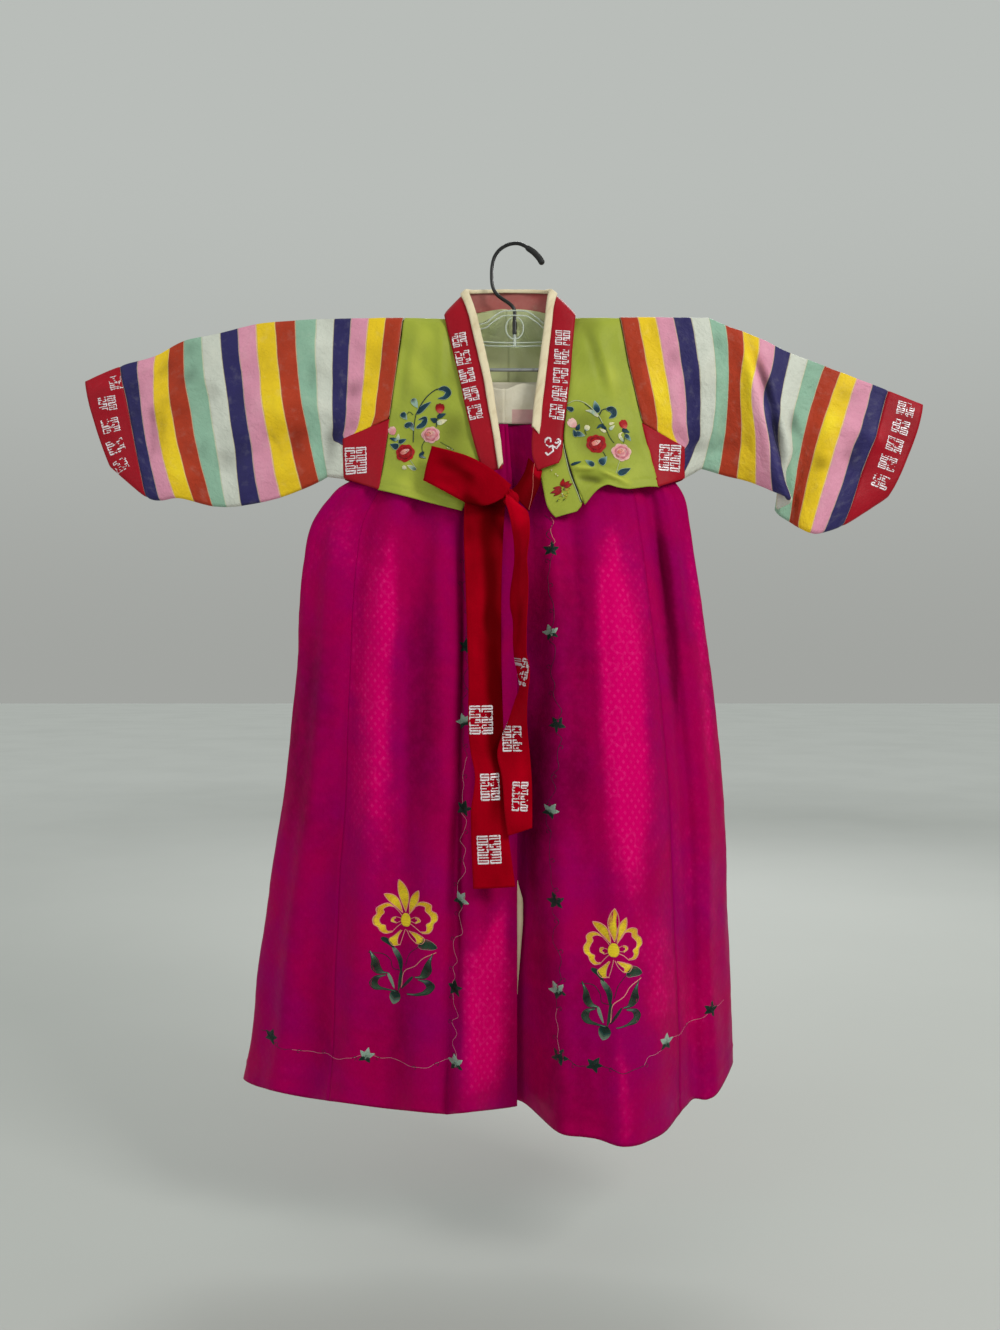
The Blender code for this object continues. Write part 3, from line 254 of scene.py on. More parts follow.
def smooth_table(rows):
    """A function that reads the rows' other columns smoothly at any values of their first one."""
    ordered = sorted(rows)
    keys = np.array([row[0] for row in ordered], float)
    values = np.array([row[1:] for row in ordered], float)
    steps = np.diff(keys)[:, None]
    slopes = np.diff(values, axis=0) / steps
    inner = (slopes[:-1] * steps[1:] + slopes[1:] * steps[:-1]) / (steps[:-1] + steps[1:])
    tangents = np.vstack([slopes[:1], inner, slopes[-1:]])

    def read(places):
        """The columns at the places given, by cubic pieces."""
        places = np.asarray(places, float)
        index = np.clip(np.searchsorted(keys, places) - 1, 0, len(keys) - 2)
        step = (keys[index + 1] - keys[index])[..., None]
        share = np.clip((places - keys[index])[..., None] / step, 0.0, 1.0)
        square, cube = share ** 2, share ** 3
        level = (2 * cube - 3 * square + 1) * values[index] + (3 * square - 2 * cube) * values[index + 1]
        lean = (cube - 2 * square + share) * tangents[index] + (cube - square) * tangents[index + 1]
        return level + lean * step
    return read


def straight_table(rows):
    """The same, straight from row to row."""
    keys = [row[0] for row in rows]
    columns = list(zip(*[row[1:] for row in rows]))
    return lambda places: np.stack([np.interp(places, keys, column) for column in columns], axis=-1)


def unit(vectors):
    """The vectors at length one."""
    return vectors / np.maximum(np.linalg.norm(vectors, axis=-1, keepdims=True), 1e-9)


def mix(first, second, share):
    """The point a share of the way from the first to the second."""
    return first + (second - first) * share


def refine(rows, down, across):
    """A finer grid of points through a coarse one, smooth both ways."""
    grid = np.array(rows, float)
    for count in (down, across):
        read = smooth_table([(index, *row) for index, row in enumerate(grid.reshape(len(grid), -1))])
        finer = read(np.linspace(0, len(grid) - 1, count))
        grid = finer.reshape(count, *grid.shape[1:]).swapaxes(0, 1)
    return grid


def grid_normals(grid, flip=False, closed=False):
    """Unit normals of a grid of points, on the side that its faces show."""
    across = (np.roll(grid, -1, axis=1) - np.roll(grid, 1, axis=1)) if closed else np.gradient(grid, axis=1)
    normals = unit(np.cross(across, np.gradient(grid, axis=0)))
    return -normals if flip else normals


def measure(grid):
    """Cloth places u across and v down a grid of points, in millimetres."""
    steps = [np.linalg.norm(np.diff(grid, axis=axis, prepend=first), axis=2)
             for axis, first in ((1, grid[:, :1]), (0, grid[:1]))]
    return np.cumsum(steps[0], axis=1), np.cumsum(steps[1], axis=0)


def creases(table, u, v):
    """Height of creases at u, v. A row: u, v of a crease's start and end, width, height, and bow if any."""
    total = np.zeros(np.broadcast(u, v).shape)
    for start_u, start_v, end_u, end_v, width, height, *bow in table:
        long_u, long_v = end_u - start_u, end_v - start_v
        length = math.hypot(long_u, long_v)
        along = ((u - start_u) * long_u + (v - start_v) * long_v) / length ** 2
        aside = ((v - start_v) * long_u - (u - start_u) * long_v) / length
        aside = aside - sum(bow) * 4 * along * (1 - along)
        fade = np.clip(np.minimum(along, 1 - along) * 3.0, 0.0, 1.0)
        total += height * np.exp(-(aside / width) ** 2) * fade * fade * (3 - 2 * fade)
    return total


def rumple(u, v, seed, size, height):
    """Soft uneven ripples of the cloth, the same each time for a seed."""
    draw = random.Random(seed)
    total = np.zeros(np.broadcast(u, v).shape)
    for _ in range(9):
        length, angle = size * draw.uniform(0.6, 2.2), draw.uniform(0.0, math.pi)
        phase, bend = draw.uniform(0.0, 2 * math.pi), draw.uniform(0.5, 1.5) * size
        ramp = (u * math.cos(angle) + v * math.sin(angle)) / length
        sway = np.sin((v * math.cos(angle) - u * math.sin(angle)) / bend + phase)
        total += np.sin(2 * math.pi * ramp + 1.4 * sway + phase) * length / size
    return total * height / 6.0


def seam_dip(distance, depth=0.55, width=1.7):
    """How far the cloth dips towards a seam that lies at a distance."""
    return -depth * np.exp(-(distance / width) ** 2)


# ---------------------------------------------------------------- meshes

SURFACES = {}
PAINT = {}
# The slot that each material goes with.
SLOTS = {"green": "green_cloth", "red": "red_cloth", "rainbow": "rainbow_cloth", "magenta": "skirt_cloth",
         "white": "white_cloth", "trim": "white_cloth", "ribbon": "ribbon_cloth", "wire": "black_wire",
         "rubber": "black_rubber", "steel": "steel", "clear": "clear_plastic", "rim": "clear_plastic"}


def own(name, mesh, paint, *nodes, slot=None):
    """Puts a painted mesh in the scene, on the garment's body and in place of its solids."""
    mesh.name = name
    mesh.materials.clear()
    mesh.materials.append(PAINT[paint])
    piece = bpy.data.objects.new(name, mesh)
    bpy.context.scene.collection.objects.link(piece)
    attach(piece, BODY)
    if nodes:
        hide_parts(*nodes)
    slot or SLOTS[paint]
    return piece


def plain_mesh(name, points, faces, edges=()):
    """A smooth mesh through points in metres."""
    mesh = bpy.data.meshes.new(name)
    mesh.from_pydata(points, edges, faces)
    mesh.shade_smooth()
    return mesh


def thicken(piece, wall):
    """Gives a piece a wall of so many millimetres behind its face."""
    solid = piece.modifiers.new("wall", "SOLIDIFY")
    solid.thickness, solid.offset, solid.use_even_offset = wall * MM, -1.0, False
    return solid


def sheet_mesh(name, grid, u, v, flip, closed):
    """A mesh through a grid of points, with its cloth places as a UV map in metres."""
    rows, count = grid.shape[:2]
    line, place = np.meshgrid(np.arange(rows - 1), np.arange(count - (not closed)), indexing="ij")

    def around(wide, beside):
        """The four corners of each face, in rows of a width."""
        faces = np.stack([line * wide + place, line * wide + beside, (line + 1) * wide + beside,
                          (line + 1) * wide + place], axis=-1).reshape(-1, 4)
        return faces[:, ::-1] if flip else faces

    mesh = plain_mesh(name, grid.reshape(-1, 3) * MM, around(count, (place + 1) % count).tolist())
    chart = np.stack([u, v], axis=-1).reshape(-1, 2) * MM
    places = around(u.shape[1], place + 1).reshape(-1)
    mesh.uv_layers.new(name="cloth").data.foreach_set("uv", chart[places].astype(np.float32).ravel())
    return mesh


RELIEF_PAINTED_LIGHT = 0.09          # how much paler the cloth is painted for each millimetre that a crease stands out: painted highlight on ridges, painted shade in hollows
THIN_FLAT = 10.5            # the least side of a cut's worked-out flat size


def cloth_piece(name, grid, paint, node, height=0.0, cloth=None, wall=None, flip=False,
                closed=False, flat=None, tone=0.0, lining=None):
    """A thin sheet of cloth on a grid of points raised by height; the flat size and area of the cut that it
    shows are worked out.
    """
    raised = grid + grid_normals(grid, flip, closed) * (np.zeros(grid.shape[:2]) + height)[..., None]
    u, v = cloth or measure(grid)
    mesh = sheet_mesh(name, raised, u, v, flip, closed)
    # tone: painted light and shade, paler where the cloth is raised and darker where it sinks, plus the tone
    # given
    total = np.clip(np.zeros(grid.shape[:2]) + RELIEF_PAINTED_LIGHT * height + tone, -1.0, 1.0)
    mesh.attributes.new("tone", "FLOAT", "POINT").data.foreach_set("value",
                                                                   np.asarray(total, np.float32).ravel())
    piece = own(name, mesh, paint, *[node] * bool(node))
    solid = thicken(piece, wall or chosen("wall"))
    if lining:
        mesh.materials.append(PAINT[lining])
        solid.material_offset = 1
    across, down = measure(raised)
    ring = across[:, -1]
    if closed:
        ring = ring + np.linalg.norm(raised[:, 0] - raised[:, -1], axis=1)
    wide, long = flat or (round(max(float(line.max()), THIN_FLAT)) for line in (ring, down[-1]))
    area = float((ring * np.gradient(down.mean(axis=1))).sum())
    area = min(max(area, 0.3 * wide * long), wide * long)
    SURFACES[name] = raised


class Carrier:
    """The outer face of one or more cloth pieces, which stitches and foil are laid on."""

    def __init__(self, *names):
        points, faces, start = [], [], 0
        for name in names:
            rows, count = SURFACES[name].shape[:2]
            points += [Vector(point) for point in SURFACES[name].reshape(-1, 3)]
            corners = [start + line * count + place for line in range(rows - 1) for place in range(count - 1)]
            faces += [(corner, corner + 1, corner + count + 1, corner + count) for corner in corners]
            start += rows * count
        self.tree = BVHTree.FromPolygons(points, faces)

    def drop(self, x, z, lift, side=-1):
        """The cloth at x, z as seen from the front (-1) or the back (1), lifted towards the viewer."""
        start, near = (160.0, 20.0) if side > 0 else (-260.0, -60.0)
        hit, normal, _, _ = self.tree.ray_cast(Vector((x, start, z)), Vector((0, -side, 0)))
        if hit is None:
            hit, normal, _, _ = self.tree.find_nearest(Vector((x, near, z)))
        return hit + (normal if normal.y * side >= 0 else -normal) * lift


# ---------------------------------------------------------------- node trees

class Net:
    """A short way to write a node tree."""

    def __init__(self, tree):
        self.tree = tree

    def put(self, socket, value):
        """Joins another node's socket to an input, or sets the input's own value."""
        if isinstance(value, bpy.types.NodeSocket):
            self.tree.links.new(value, socket)
        else:
            socket.default_value = value

    def add(self, kind, inputs=(), **settings):
        """A node with its settings, and its inputs by name or number."""
        node = self.tree.nodes.new(kind)
        for key, value in settings.items():
            setattr(node, key, value)
        for key, value in dict(inputs).items():
            self.put(node.inputs[key], value)
        return node

    def math(self, operation, *values):
        """One sum."""
        return self.add("ShaderNodeMath", enumerate(values), operation=operation).outputs[0]

    def times(self, first, second):
        """A product."""
        return self.math("MULTIPLY", first, second)

    def plus(self, first, second):
        """A total."""
        return self.math("ADD", first, second)

    def off(self, value, middle):
        """How far a value is from a middle."""
        return self.math("ABSOLUTE", self.math("SUBTRACT", value, middle))

    def split(self, places):
        """The x, y and z of places."""
        return self.add("ShaderNodeSeparateXYZ", {0: places}).outputs

    def noise(self, places, scale, detail, more=(), **settings):
        """A noise's value over places."""
        return self.add("ShaderNodeTexNoise", {"Vector": places, "Scale": scale, "Detail": detail,
                                               **dict(more)},
                        **settings).outputs[0]

    def band(self, value, low, high):
        """Smooth step from 0 at low to 1 at high."""
        return self.add("ShaderNodeMapRange", {"Value": value, "From Min": low, "From Max": high},
                        interpolation_type="SMOOTHSTEP").outputs["Result"]

    def blend(self, share, first, second, way="MIX"):
        """A mix of two colours, by a mask or by a mask and how much of it counts."""
        share = self.times(*share) if isinstance(share, tuple) else share
        return self.add("ShaderNodeMix", {0: share, 6: first, 7: second}, data_type="RGBA",
                        blend_type=way).outputs[2]


def linear(code):
    """A colour written as six hexadecimal digits, for a shader."""
    values = [int(code[index:index + 2], 16) / 255 for index in (0, 2, 4)]
    return (*[v / 12.92 if v <= 0.04045 else ((v + 0.055) / 1.055) ** 2.4 for v in values], 1.0)


def new_group(name, outputs, **inputs):
    """A shader node group that reads a Vector and named values, with its net, its inputs and its outputs."""
    tree = bpy.data.node_groups.new(name, "ShaderNodeTree")
    tree.interface.new_socket(name="Vector", in_out="INPUT", socket_type="NodeSocketVector")
    for label, value in inputs.items():
        tree.interface.new_socket(name=label, in_out="INPUT",
                                  socket_type="NodeSocketFloat").default_value = value
    for label in outputs:
        tree.interface.new_socket(name=label, in_out="OUTPUT", socket_type="NodeSocketFloat")
    net = Net(tree)
    return net, net.add("NodeGroupInput").outputs, net.add("NodeGroupOutput").inputs


def group_weave():
    """Fine threads across and down the cloth."""
    net, source, sink = new_group("weave", ("Height", "Thread"), Pitch=0.0004)
    parts = net.split(source["Vector"])
    rate = net.math("DIVIDE", 2 * math.pi, source["Pitch"])
    warp, weft = (net.math("SINE", net.times(parts[axis], rate)) for axis in "XY")
    net.put(sink["Height"], net.times(warp, weft))
    streak = net.add("ShaderNodeMapping", {"Vector": source["Vector"], "Scale": (2600.0, 60.0, 1.0)})
    net.put(sink["Thread"], net.noise(streak.outputs[0], 1.0, 2.0))


def group_crinkle():
    """Small uneven crinkles of worn satin, as a height."""
    net, source, sink = new_group("crinkle", ("Height",), Size=0.02)
    rate = net.math("DIVIDE", 1.0, source["Size"])
    broad = net.noise(source["Vector"], rate, 3.0, {"Roughness": 0.55, "Distortion": 0.4})
    fine = net.noise(source["Vector"], net.times(rate, 2.7), 2.0, {"Distortion": 0.8},
                     noise_type="RIDGED_MULTIFRACTAL")
    net.put(sink["Height"], net.plus(broad, net.times(fine, 0.22)))


def group_wear_and_sheen_patches():
    """Pale and dark patches over a piece at random: wear on most finishes, and the uneven painted sheen on
    the skirt's magenta.
    """
    net, source, sink = new_group("stains", ("Mask",), Size=0.05, Low=0.4, High=0.7)
    patches = net.noise(source["Vector"], net.math("DIVIDE", 1.0, source["Size"]), 5.0, {"Roughness": 0.6})
    net.put(sink["Mask"], net.band(patches, source["Low"], source["High"]))


def group_diamonds():
    """Small woven diamonds in staggered rows."""
    net, source, sink = new_group("woven_diamonds", ("Mask",), Pitch=0.0075)
    parts = net.split(source["Vector"])
    across = net.math("DIVIDE", parts["X"], source["Pitch"])
    down = net.math("DIVIDE", parts["Y"], net.times(source["Pitch"], 0.62))
    odd = net.times(net.math("MODULO", net.math("FLOOR", down), 2.0), 0.5)
    left = net.off(net.math("FRACT", net.plus(across, odd)), 0.5)
    up = net.off(net.math("FRACT", down), 0.5)
    net.put(sink["Mask"], net.band(net.plus(left, net.times(up, 0.52)), 0.27, 0.17))


def group_flowers():
    """Faint outlines of flowers and scrolls woven into the cloth, one to each cell."""
    net, source, sink = new_group("woven_flowers", ("Mask",), Size=0.026, Petals=6.0)
    scaled = net.add("ShaderNodeVectorMath",
                     {0: source["Vector"], "Scale": net.math("DIVIDE", 1.0, source["Size"])},
                     operation="SCALE").outputs[0]
    cell = net.add("ShaderNodeTexVoronoi", {"Vector": scaled, "Scale": 1.0, "Randomness": 0.55},
                   voronoi_dimensions="2D").outputs
    parts = net.split(net.add("ShaderNodeVectorMath", {0: scaled, 1: cell["Position"]},
                              operation="SUBTRACT").outputs[0])
    turn = net.times(net.math("ARCTAN2", parts["Y"], parts["X"]), source["Petals"])
    edge = net.plus(0.3, net.times(net.math("COSINE", turn), 0.07))
    ring = net.band(net.off(cell["Distance"], edge), 0.035, 0.012)
    heart = net.band(net.off(cell["Distance"], 0.11), 0.03, 0.01)
    net.put(sink["Mask"], net.math("MAXIMUM", ring, heart))


class Finish(Net):
    """A material under way: its shader's inputs, the places that its patterns read, and shared effects."""

    def __init__(self, name, cloth=True):
        self.material = bpy.data.materials.new(name)
        self.material.use_nodes = True
        super().__init__(self.material.node_tree)
        self.tree.nodes.clear()
        shader = self.add("ShaderNodeBsdfPrincipled")
        self.add("ShaderNodeOutputMaterial", {0: shader.outputs[0]})
        self.shader = shader.inputs
        self.places = (self.add("ShaderNodeUVMap", uv_map="cloth").outputs[0] if cloth
                       else self.add("ShaderNodeTexCoord").outputs["Object"])

    def set(self, **values):
        """Joins or sets the shader's inputs, and gives the material."""
        for key, value in values.items():
            self.put(self.shader[key.replace("_", " ")], value)
        return self.material

    def use(self, name, **inputs):
        """A shared effect with its own values."""
        return self.add("ShaderNodeGroup", {"Vector": self.places, **inputs},
                        node_tree=bpy.data.node_groups[name]).outputs

    def stains(self, size, low, high):
        """The mask of patches of a size."""
        return self.use("stains", Size=size, Low=low, High=high)["Mask"]

    def tone(self):
        """The painted light and shade of the cloth, from its tone attribute."""
        return self.add("ShaderNodeAttribute", attribute_name="tone").outputs["Fac"]

    def bump(self, height):
        """The shader's normal over a height in metres."""
        return self.add("ShaderNodeBump", {"Height": height, "Distance": 1.0}).outputs[0]

    def paint_shade_and_highlight(self, colour, shade, lift):
        """A colour with painted shade, darker in the folds, and painted highlight, paler on the ridges, by
        its tone.
        """
        tone = self.tone()
        # painted shade: a dark brown multiplied in where the tone is below 0
        colour = self.blend((self.band(tone, 0.0, -1.0), shade), colour, linear("463C34"), "MULTIPLY")
        # painted highlight: a pale cream laid over where the tone is above 0
        return self.blend((self.band(tone, 0.0, 1.0), lift), colour, linear("FFF8EC"), "SOFT_LIGHT")

    def cloth(self, colour, folds, relief, roughness, sheen=0.1, tint=(1, 1, 1, 1), specular=0.12):
        """Joins the colour, the relief of crinkles (size, depth) and patterns (height, depth), and gloss."""
        heights = [(self.use("crinkle", Size=size)["Height"], deep) for size, deep in folds]
        heights = [relief[0], *heights, *relief[1:]]
        total = self.times(*heights[0])
        for pair in heights[1:]:
            total = self.plus(total, self.times(*pair))
        rough = self.plus(roughness, self.times(self.stains(0.03, 0.3, 0.75), 0.12))
        return self.set(Base_Color=colour, Normal=self.bump(total), Roughness=rough, Sheen_Weight=sheen,
                        Sheen_Tint=tint, Sheen_Roughness=0.4, Specular_IOR_Level=specular)


# ---------------------------------------------------------------- materials

STRIPES = ("red", "yellow", "pink", "navy", "white", "mint")


def satin(name, base, shade, pale, roughness=0.42, flowers=0.0, tint=(1, 1, 1, 1), specular=0.12, patch=0.35):
    """A plain satin with darker and pale patches at random, a fine weave, faint woven flowers, and painted
    shade and highlight by its tone.
    """
    net = Finish(name)
    weave = net.use("weave", Pitch=0.0006)
    colour = net.blend((net.stains(0.09, 0.4, 0.72), patch), base, shade)
    colour = net.blend((net.stains(0.012, 0.55, 0.8), 0.16), colour, pale)
    colour = net.blend((weave["Thread"], 0.10), colour, shade)
    if flowers:
        colour = net.blend((net.use("woven_flowers", Size=0.024, Petals=5.0)["Mask"], flowers), colour, shade)
    # painted shade and painted highlight from the tone attribute
    return net.cloth(net.paint_shade_and_highlight(colour, 0.8, 0.55), [(0.022, 0.0008)], [(weave["Height"], 0.000015)],
                     roughness,
                     0.08, tint, specular)


def striped(colours):
    """The sleeves' woven stripes, with the soft edge between yellow and pink."""
    net = Finish("rainbow stripes")
    shift = net.times(net.math("SUBTRACT", net.noise(net.places, 55.0, 3.0), 0.5), 0.0012)
    moved = net.plus(net.split(net.places)["X"], shift)
    beat = net.math("FRACT", net.math("DIVIDE", moved, STRIPE * MM * len(STRIPES)))
    ramp = net.add("ShaderNodeValToRGB", {"Fac": beat})
    stops = ramp.color_ramp.elements
    while len(stops) < 2 * len(STRIPES):
        stops.new(0.5)
    for index, word in enumerate(STRIPES):
        before = 0.05 if STRIPES[index - 1] == "yellow" else 0.012
        after = 0.05 if word == "yellow" else 0.012
        ends = index + before * (index > 0), index + 1 - after * (index < len(STRIPES) - 1)
        for stop, place in zip(stops[2 * index:2 * index + 2], ends):
            stop.position = place / len(STRIPES)
            stop.color = colours[word]
    beat = net.math("FRACT", net.math("DIVIDE", moved, STRIPE * MM))
    seam = net.band(net.math("MINIMUM", beat, net.math("SUBTRACT", 1.0, beat)), 0.045, 0.02)
    weave = net.use("weave", Pitch=0.0007)
    flower = net.use("woven_flowers", Size=0.02, Petals=5.0)["Mask"]
    colour = net.blend((flower, 0.045), ramp.outputs[0], linear("5A4A3A"), "MULTIPLY")
    colour = net.blend((net.stains(0.035, 0.35, 0.8), 0.22), colour, linear("8A8478"), "MULTIPLY")
    colour = net.blend((seam, 0.30), colour, linear("E8D8A8"))
    colour = net.blend((net.stains(0.01, 0.5, 0.8), 0.07), colour, linear("E6E2D4"))
    colour = net.blend((weave["Thread"], 0.10), colour, linear("FFFFFF"), "SOFT_LIGHT")
    # painted shade and painted highlight from the tone attribute
    return net.cloth(net.paint_shade_and_highlight(colour, 0.75, 0.6), [(0.03, 0.0019), (0.009, 0.0012)],
                     [(weave["Height"], 0.00001), (flower, -0.00004), (seam, -0.00025)], 0.45, 0.05)


def jacquard(colours):
    """The skirt's magenta, purple in patches at random, with painted shade and highlight by its tone, and
    woven diamonds that show as painted glints where the highlight is painted.
    """
    net = Finish("magenta jacquard")
    deep, pale = colours["magenta_deep"], colours["magenta_pale"]
    weave = net.use("weave", Pitch=0.0007)
    diamond = net.use("woven_diamonds", Pitch=0.0080)["Mask"]
    flower = net.use("woven_flowers", Size=0.055, Petals=6.0)["Mask"]
    # shimmer: random patches that make the painted light uneven, an uneven painted sheen
    shimmer = net.stains(0.012, 0.35, 0.75)
    tone = net.plus(net.tone(), net.times(net.math("SUBTRACT", shimmer, 0.5), 0.22))
    bright = net.band(tone, 0.0, 1.0)
    colour = net.blend((net.stains(0.10, 0.35, 0.7), 0.5), colours["magenta"], colours["magenta_cast"])
    # painted shade: the deep magenta where the tone is below 0
    colour = net.blend(net.band(tone, 0.0, -1.0), colour, deep)
    # painted highlight: the bright magenta where the tone is above 0
    colour = net.blend(bright, colour, colours["magenta_bright"])
    # painted glints: the woven diamonds and flowers turn pale mostly where the highlight is painted
    glow = net.times(bright, net.plus(0.25, shimmer))
    colour = net.blend((diamond, net.plus(0.01, net.times(glow, 0.17))), colour, pale)
    colour = net.blend((flower, net.times(bright, 0.07)), colour, pale)
    colour = net.blend((weave["Thread"], 0.16), colour, deep)
    net.set(Specular_Tint=linear("FF30A0"))
    return net.cloth(colour, [(0.05, 0.0016)], [(weave["Height"], 0.00001), (diamond, 0.00004)], 0.42, 0.0,
                     linear("FF10A0"), 0.04)


def cotton(name, base, old, spots, folds, roughness, patch=None):
    """A matt cotton yellowed in patches; each spot is a mask's size, low, high, share and colour."""
    net = Finish(name)
    weave = net.use("weave", Pitch=0.0005)
    colour = net.blend((net.stains(*old[:3]), old[3]), base, old[4])
    if spots:
        colour = net.blend((net.stains(*spots[:3]), spots[3]), colour, spots[4])
    # patch: a pink patch over the lower right of the bodice's front, uneven at random
    if patch:
        parts = net.split(net.add("ShaderNodeTexCoord").outputs["Object"])
        left, above = net.band(parts["X"], -0.0006, 0.0004), net.band(parts["Z"], -0.1560, -0.1568)
        where = net.times(net.times(left, above), net.band(parts["Y"], 0.0, -0.002))
        colour = net.blend((where, net.plus(0.45, net.times(net.stains(0.02, 0.1, 0.7), 0.3))), colour, patch)
    return net.cloth(colour, [folds], [(weave["Height"], 0.00002)], roughness)


def ribbon(colours):
    """The tie's crimson satin, darker in patches at random, with painted shade and highlight by its tone."""
    net = Finish("red ribbon")
    tone, weave, deep = net.tone(), net.use("weave", Pitch=0.0005), colours["ribbon_deep"]
    colour = net.blend((net.stains(0.05, 0.4, 0.7), 0.3), colours["ribbon"], deep)
    # painted shade: the deep crimson where the tone is below 0
    colour = net.blend(net.band(tone, 0.0, -1.0), colour, deep)
    # painted highlight: the bright crimson where the tone is above 0
    colour = net.blend(net.band(tone, 0.0, 1.0), colour, colours["ribbon_bright"])
    colour = net.blend((weave["Thread"], 0.1), colour, deep)
    net.set(Specular_Tint=linear("FF5068"))
    return net.cloth(colour, [(0.02, 0.0009)], [(weave["Height"], 0.000012)], 0.42, 0.03, linear("FF1030"),
                     0.05)


def smooth(name, size, low, high, base, worn, wear, roughness, rough_wear, grain=None, **values):
    """A hard or printed finish: its colour worn in patches, and a fine grain as its scale and depth."""
    net = Finish(name, cloth=False)
    mask = net.stains(size, low, high)
    if grain:
        values["Normal"] = net.bump(net.times(net.noise(net.places, grain[0], 2.0), grain[1]))
    if "Alpha" in values:
        values["Alpha"] = net.plus(values["Alpha"], net.times(mask, 0.3))
    return net.set(Base_Color=net.blend((mask, wear) if wear else mask, linear(base), linear(worn)),
                   Roughness=net.plus(roughness, net.times(mask, rough_wear)), **values)


def silk_thread():
    """Embroidery thread: its colour is on the stitch, and it shines along the strand."""
    net = Finish("silk thread", cloth=False)
    dye = net.add("ShaderNodeAttribute", attribute_name="thread_colour").outputs["Color"]
    twist = net.noise(net.places, 2200.0, 1.0)
    return net.set(Base_Color=net.blend((twist, 0.25), dye, linear("505050"), "MULTIPLY"), Sheen_Weight=0.03,
                   Roughness=net.plus(0.32, net.times(twist, 0.2)), Specular_IOR_Level=0.22)


def make_materials(colours):
    """Every finish of the garment and its hanger, by a short name."""
    for build in (group_weave, group_crinkle, group_wear_and_sheen_patches, group_diamonds, group_flowers):
        build()
    trim, grey = colours["trim"], (0.55, 0.72)
    PAINT.update(
        green=satin("green satin", colours["green"], colours["green_deep"], colours["green_pale"],
                    flowers=0.10,
                    tint=linear("F2F5A8")),
        red=satin("red satin", colours["red_band"], colours["red_band_deep"], linear("E0485A"), 0.4, 0.06,
                  linear("FF9090")),
        lining=satin("green lining", colours["lining"], colours["green"], trim, 0.6, specular=0.05),
        red_lining=satin("red lining", colours["red_lining"], colours["red_band"], trim, 0.6, specular=0.05,
                         patch=0.6),
        rainbow=striped(colours), magenta=jacquard(colours), ribbon=ribbon(colours),
        white=cotton("white bodice cloth", colours["bodice"], (0.03, 0.4, 0.75, 0.5, colours["bodice_old"]),
                     None,
                     (0.02, 0.0012), 0.75, colours["bodice_pink"]),
        trim=cotton("cream trim", trim, (0.018, 0.45, 0.75, 0.6, colours["trim_old"]),
                    (0.006, 0.62, 0.74, 0.35, linear("8C6B45")), (0.012, 0.0006), 0.7),
        clear=smooth("clear plastic", 0.012, 0.4, 0.7, "FDFFFD", "F2F7F3", 0, 0.03, 0.08,
                     Transmission_Weight=1.0,
                     IOR=1.25, Metallic=0.0),
        # rim: pale, half-clear finish of the hanger's rims, ribs and the stub under the hook: painted
        # highlight on clear plastic
        rim=smooth("hanger rim", 0.008, 0.4, 0.7, "E6EFE4", "C4D0BC", 0, 0.12, 0.2, Alpha=0.5),
        wire=smooth("black wire", 0.004, *grey, "0B0B0C", "2A2A2C", 0.5, 0.32, 0.15, (900.0, 0.00008),
                    Metallic=0.0),
        rubber=smooth("black rubber", 0.003, *grey, "0A0A0A", "1E1E1E", 0.5, 0.6, 0.15, (900.0, 0.00008),
                      Metallic=0.0),
        steel=smooth("steel", 0.005, *grey, "B9BBBD", "77787A", 0.5, 0.28, 0.15, (900.0, 0.00008),
                     Metallic=1.0),
        foil=smooth("silver foil", 0.0025, 0.5, 0.72, "E6DFE3", "C9A9AE", 0.6, 0.34, 0.3, (1500.0, 0.00012),
                    Metallic=0.25),
        thread=silk_thread())


# ---------------------------------------------------------------- sleeves

# Where the stripes meet the armhole and are cut off by the gusset: share down the seam, stripe.
LEFT_CUT = ((0, 0), (0.53, 0), (0.637, 1), (0.738, 2), (0.785, 3), (0.815, 3.95), (1, 4.2))
RIGHT_CUT = ((0, 0), (0.53, 0), (0.625, 1), (0.76, 2), (0.81, 3), (0.96, 3.95), (1, 4.05))


def three_point(side, stripes, shares):
    """Points on the sleeve's cloth between its top, middle and foot lines."""
    top, middle, foot = (table(stripes) for table in side["lines"])
    control = 2.0 * middle - 0.5 * (top + foot)
    share = shares[..., None]
    return (1 - share) ** 2 * top + 2 * share * (1 - share) * control + share ** 2 * foot


def sleeve_middle(side, stripes, shares):
    """The flattened sleeve's middle surface; stripes below FAN_END fan out from the armhole."""
    lined = three_point(side, np.maximum(stripes, FAN_END), shares)
    fanned = side["armhole"](shares)
    return mix(fanned, lined, np.minimum(stripes / FAN_END, 1.0)[..., None])


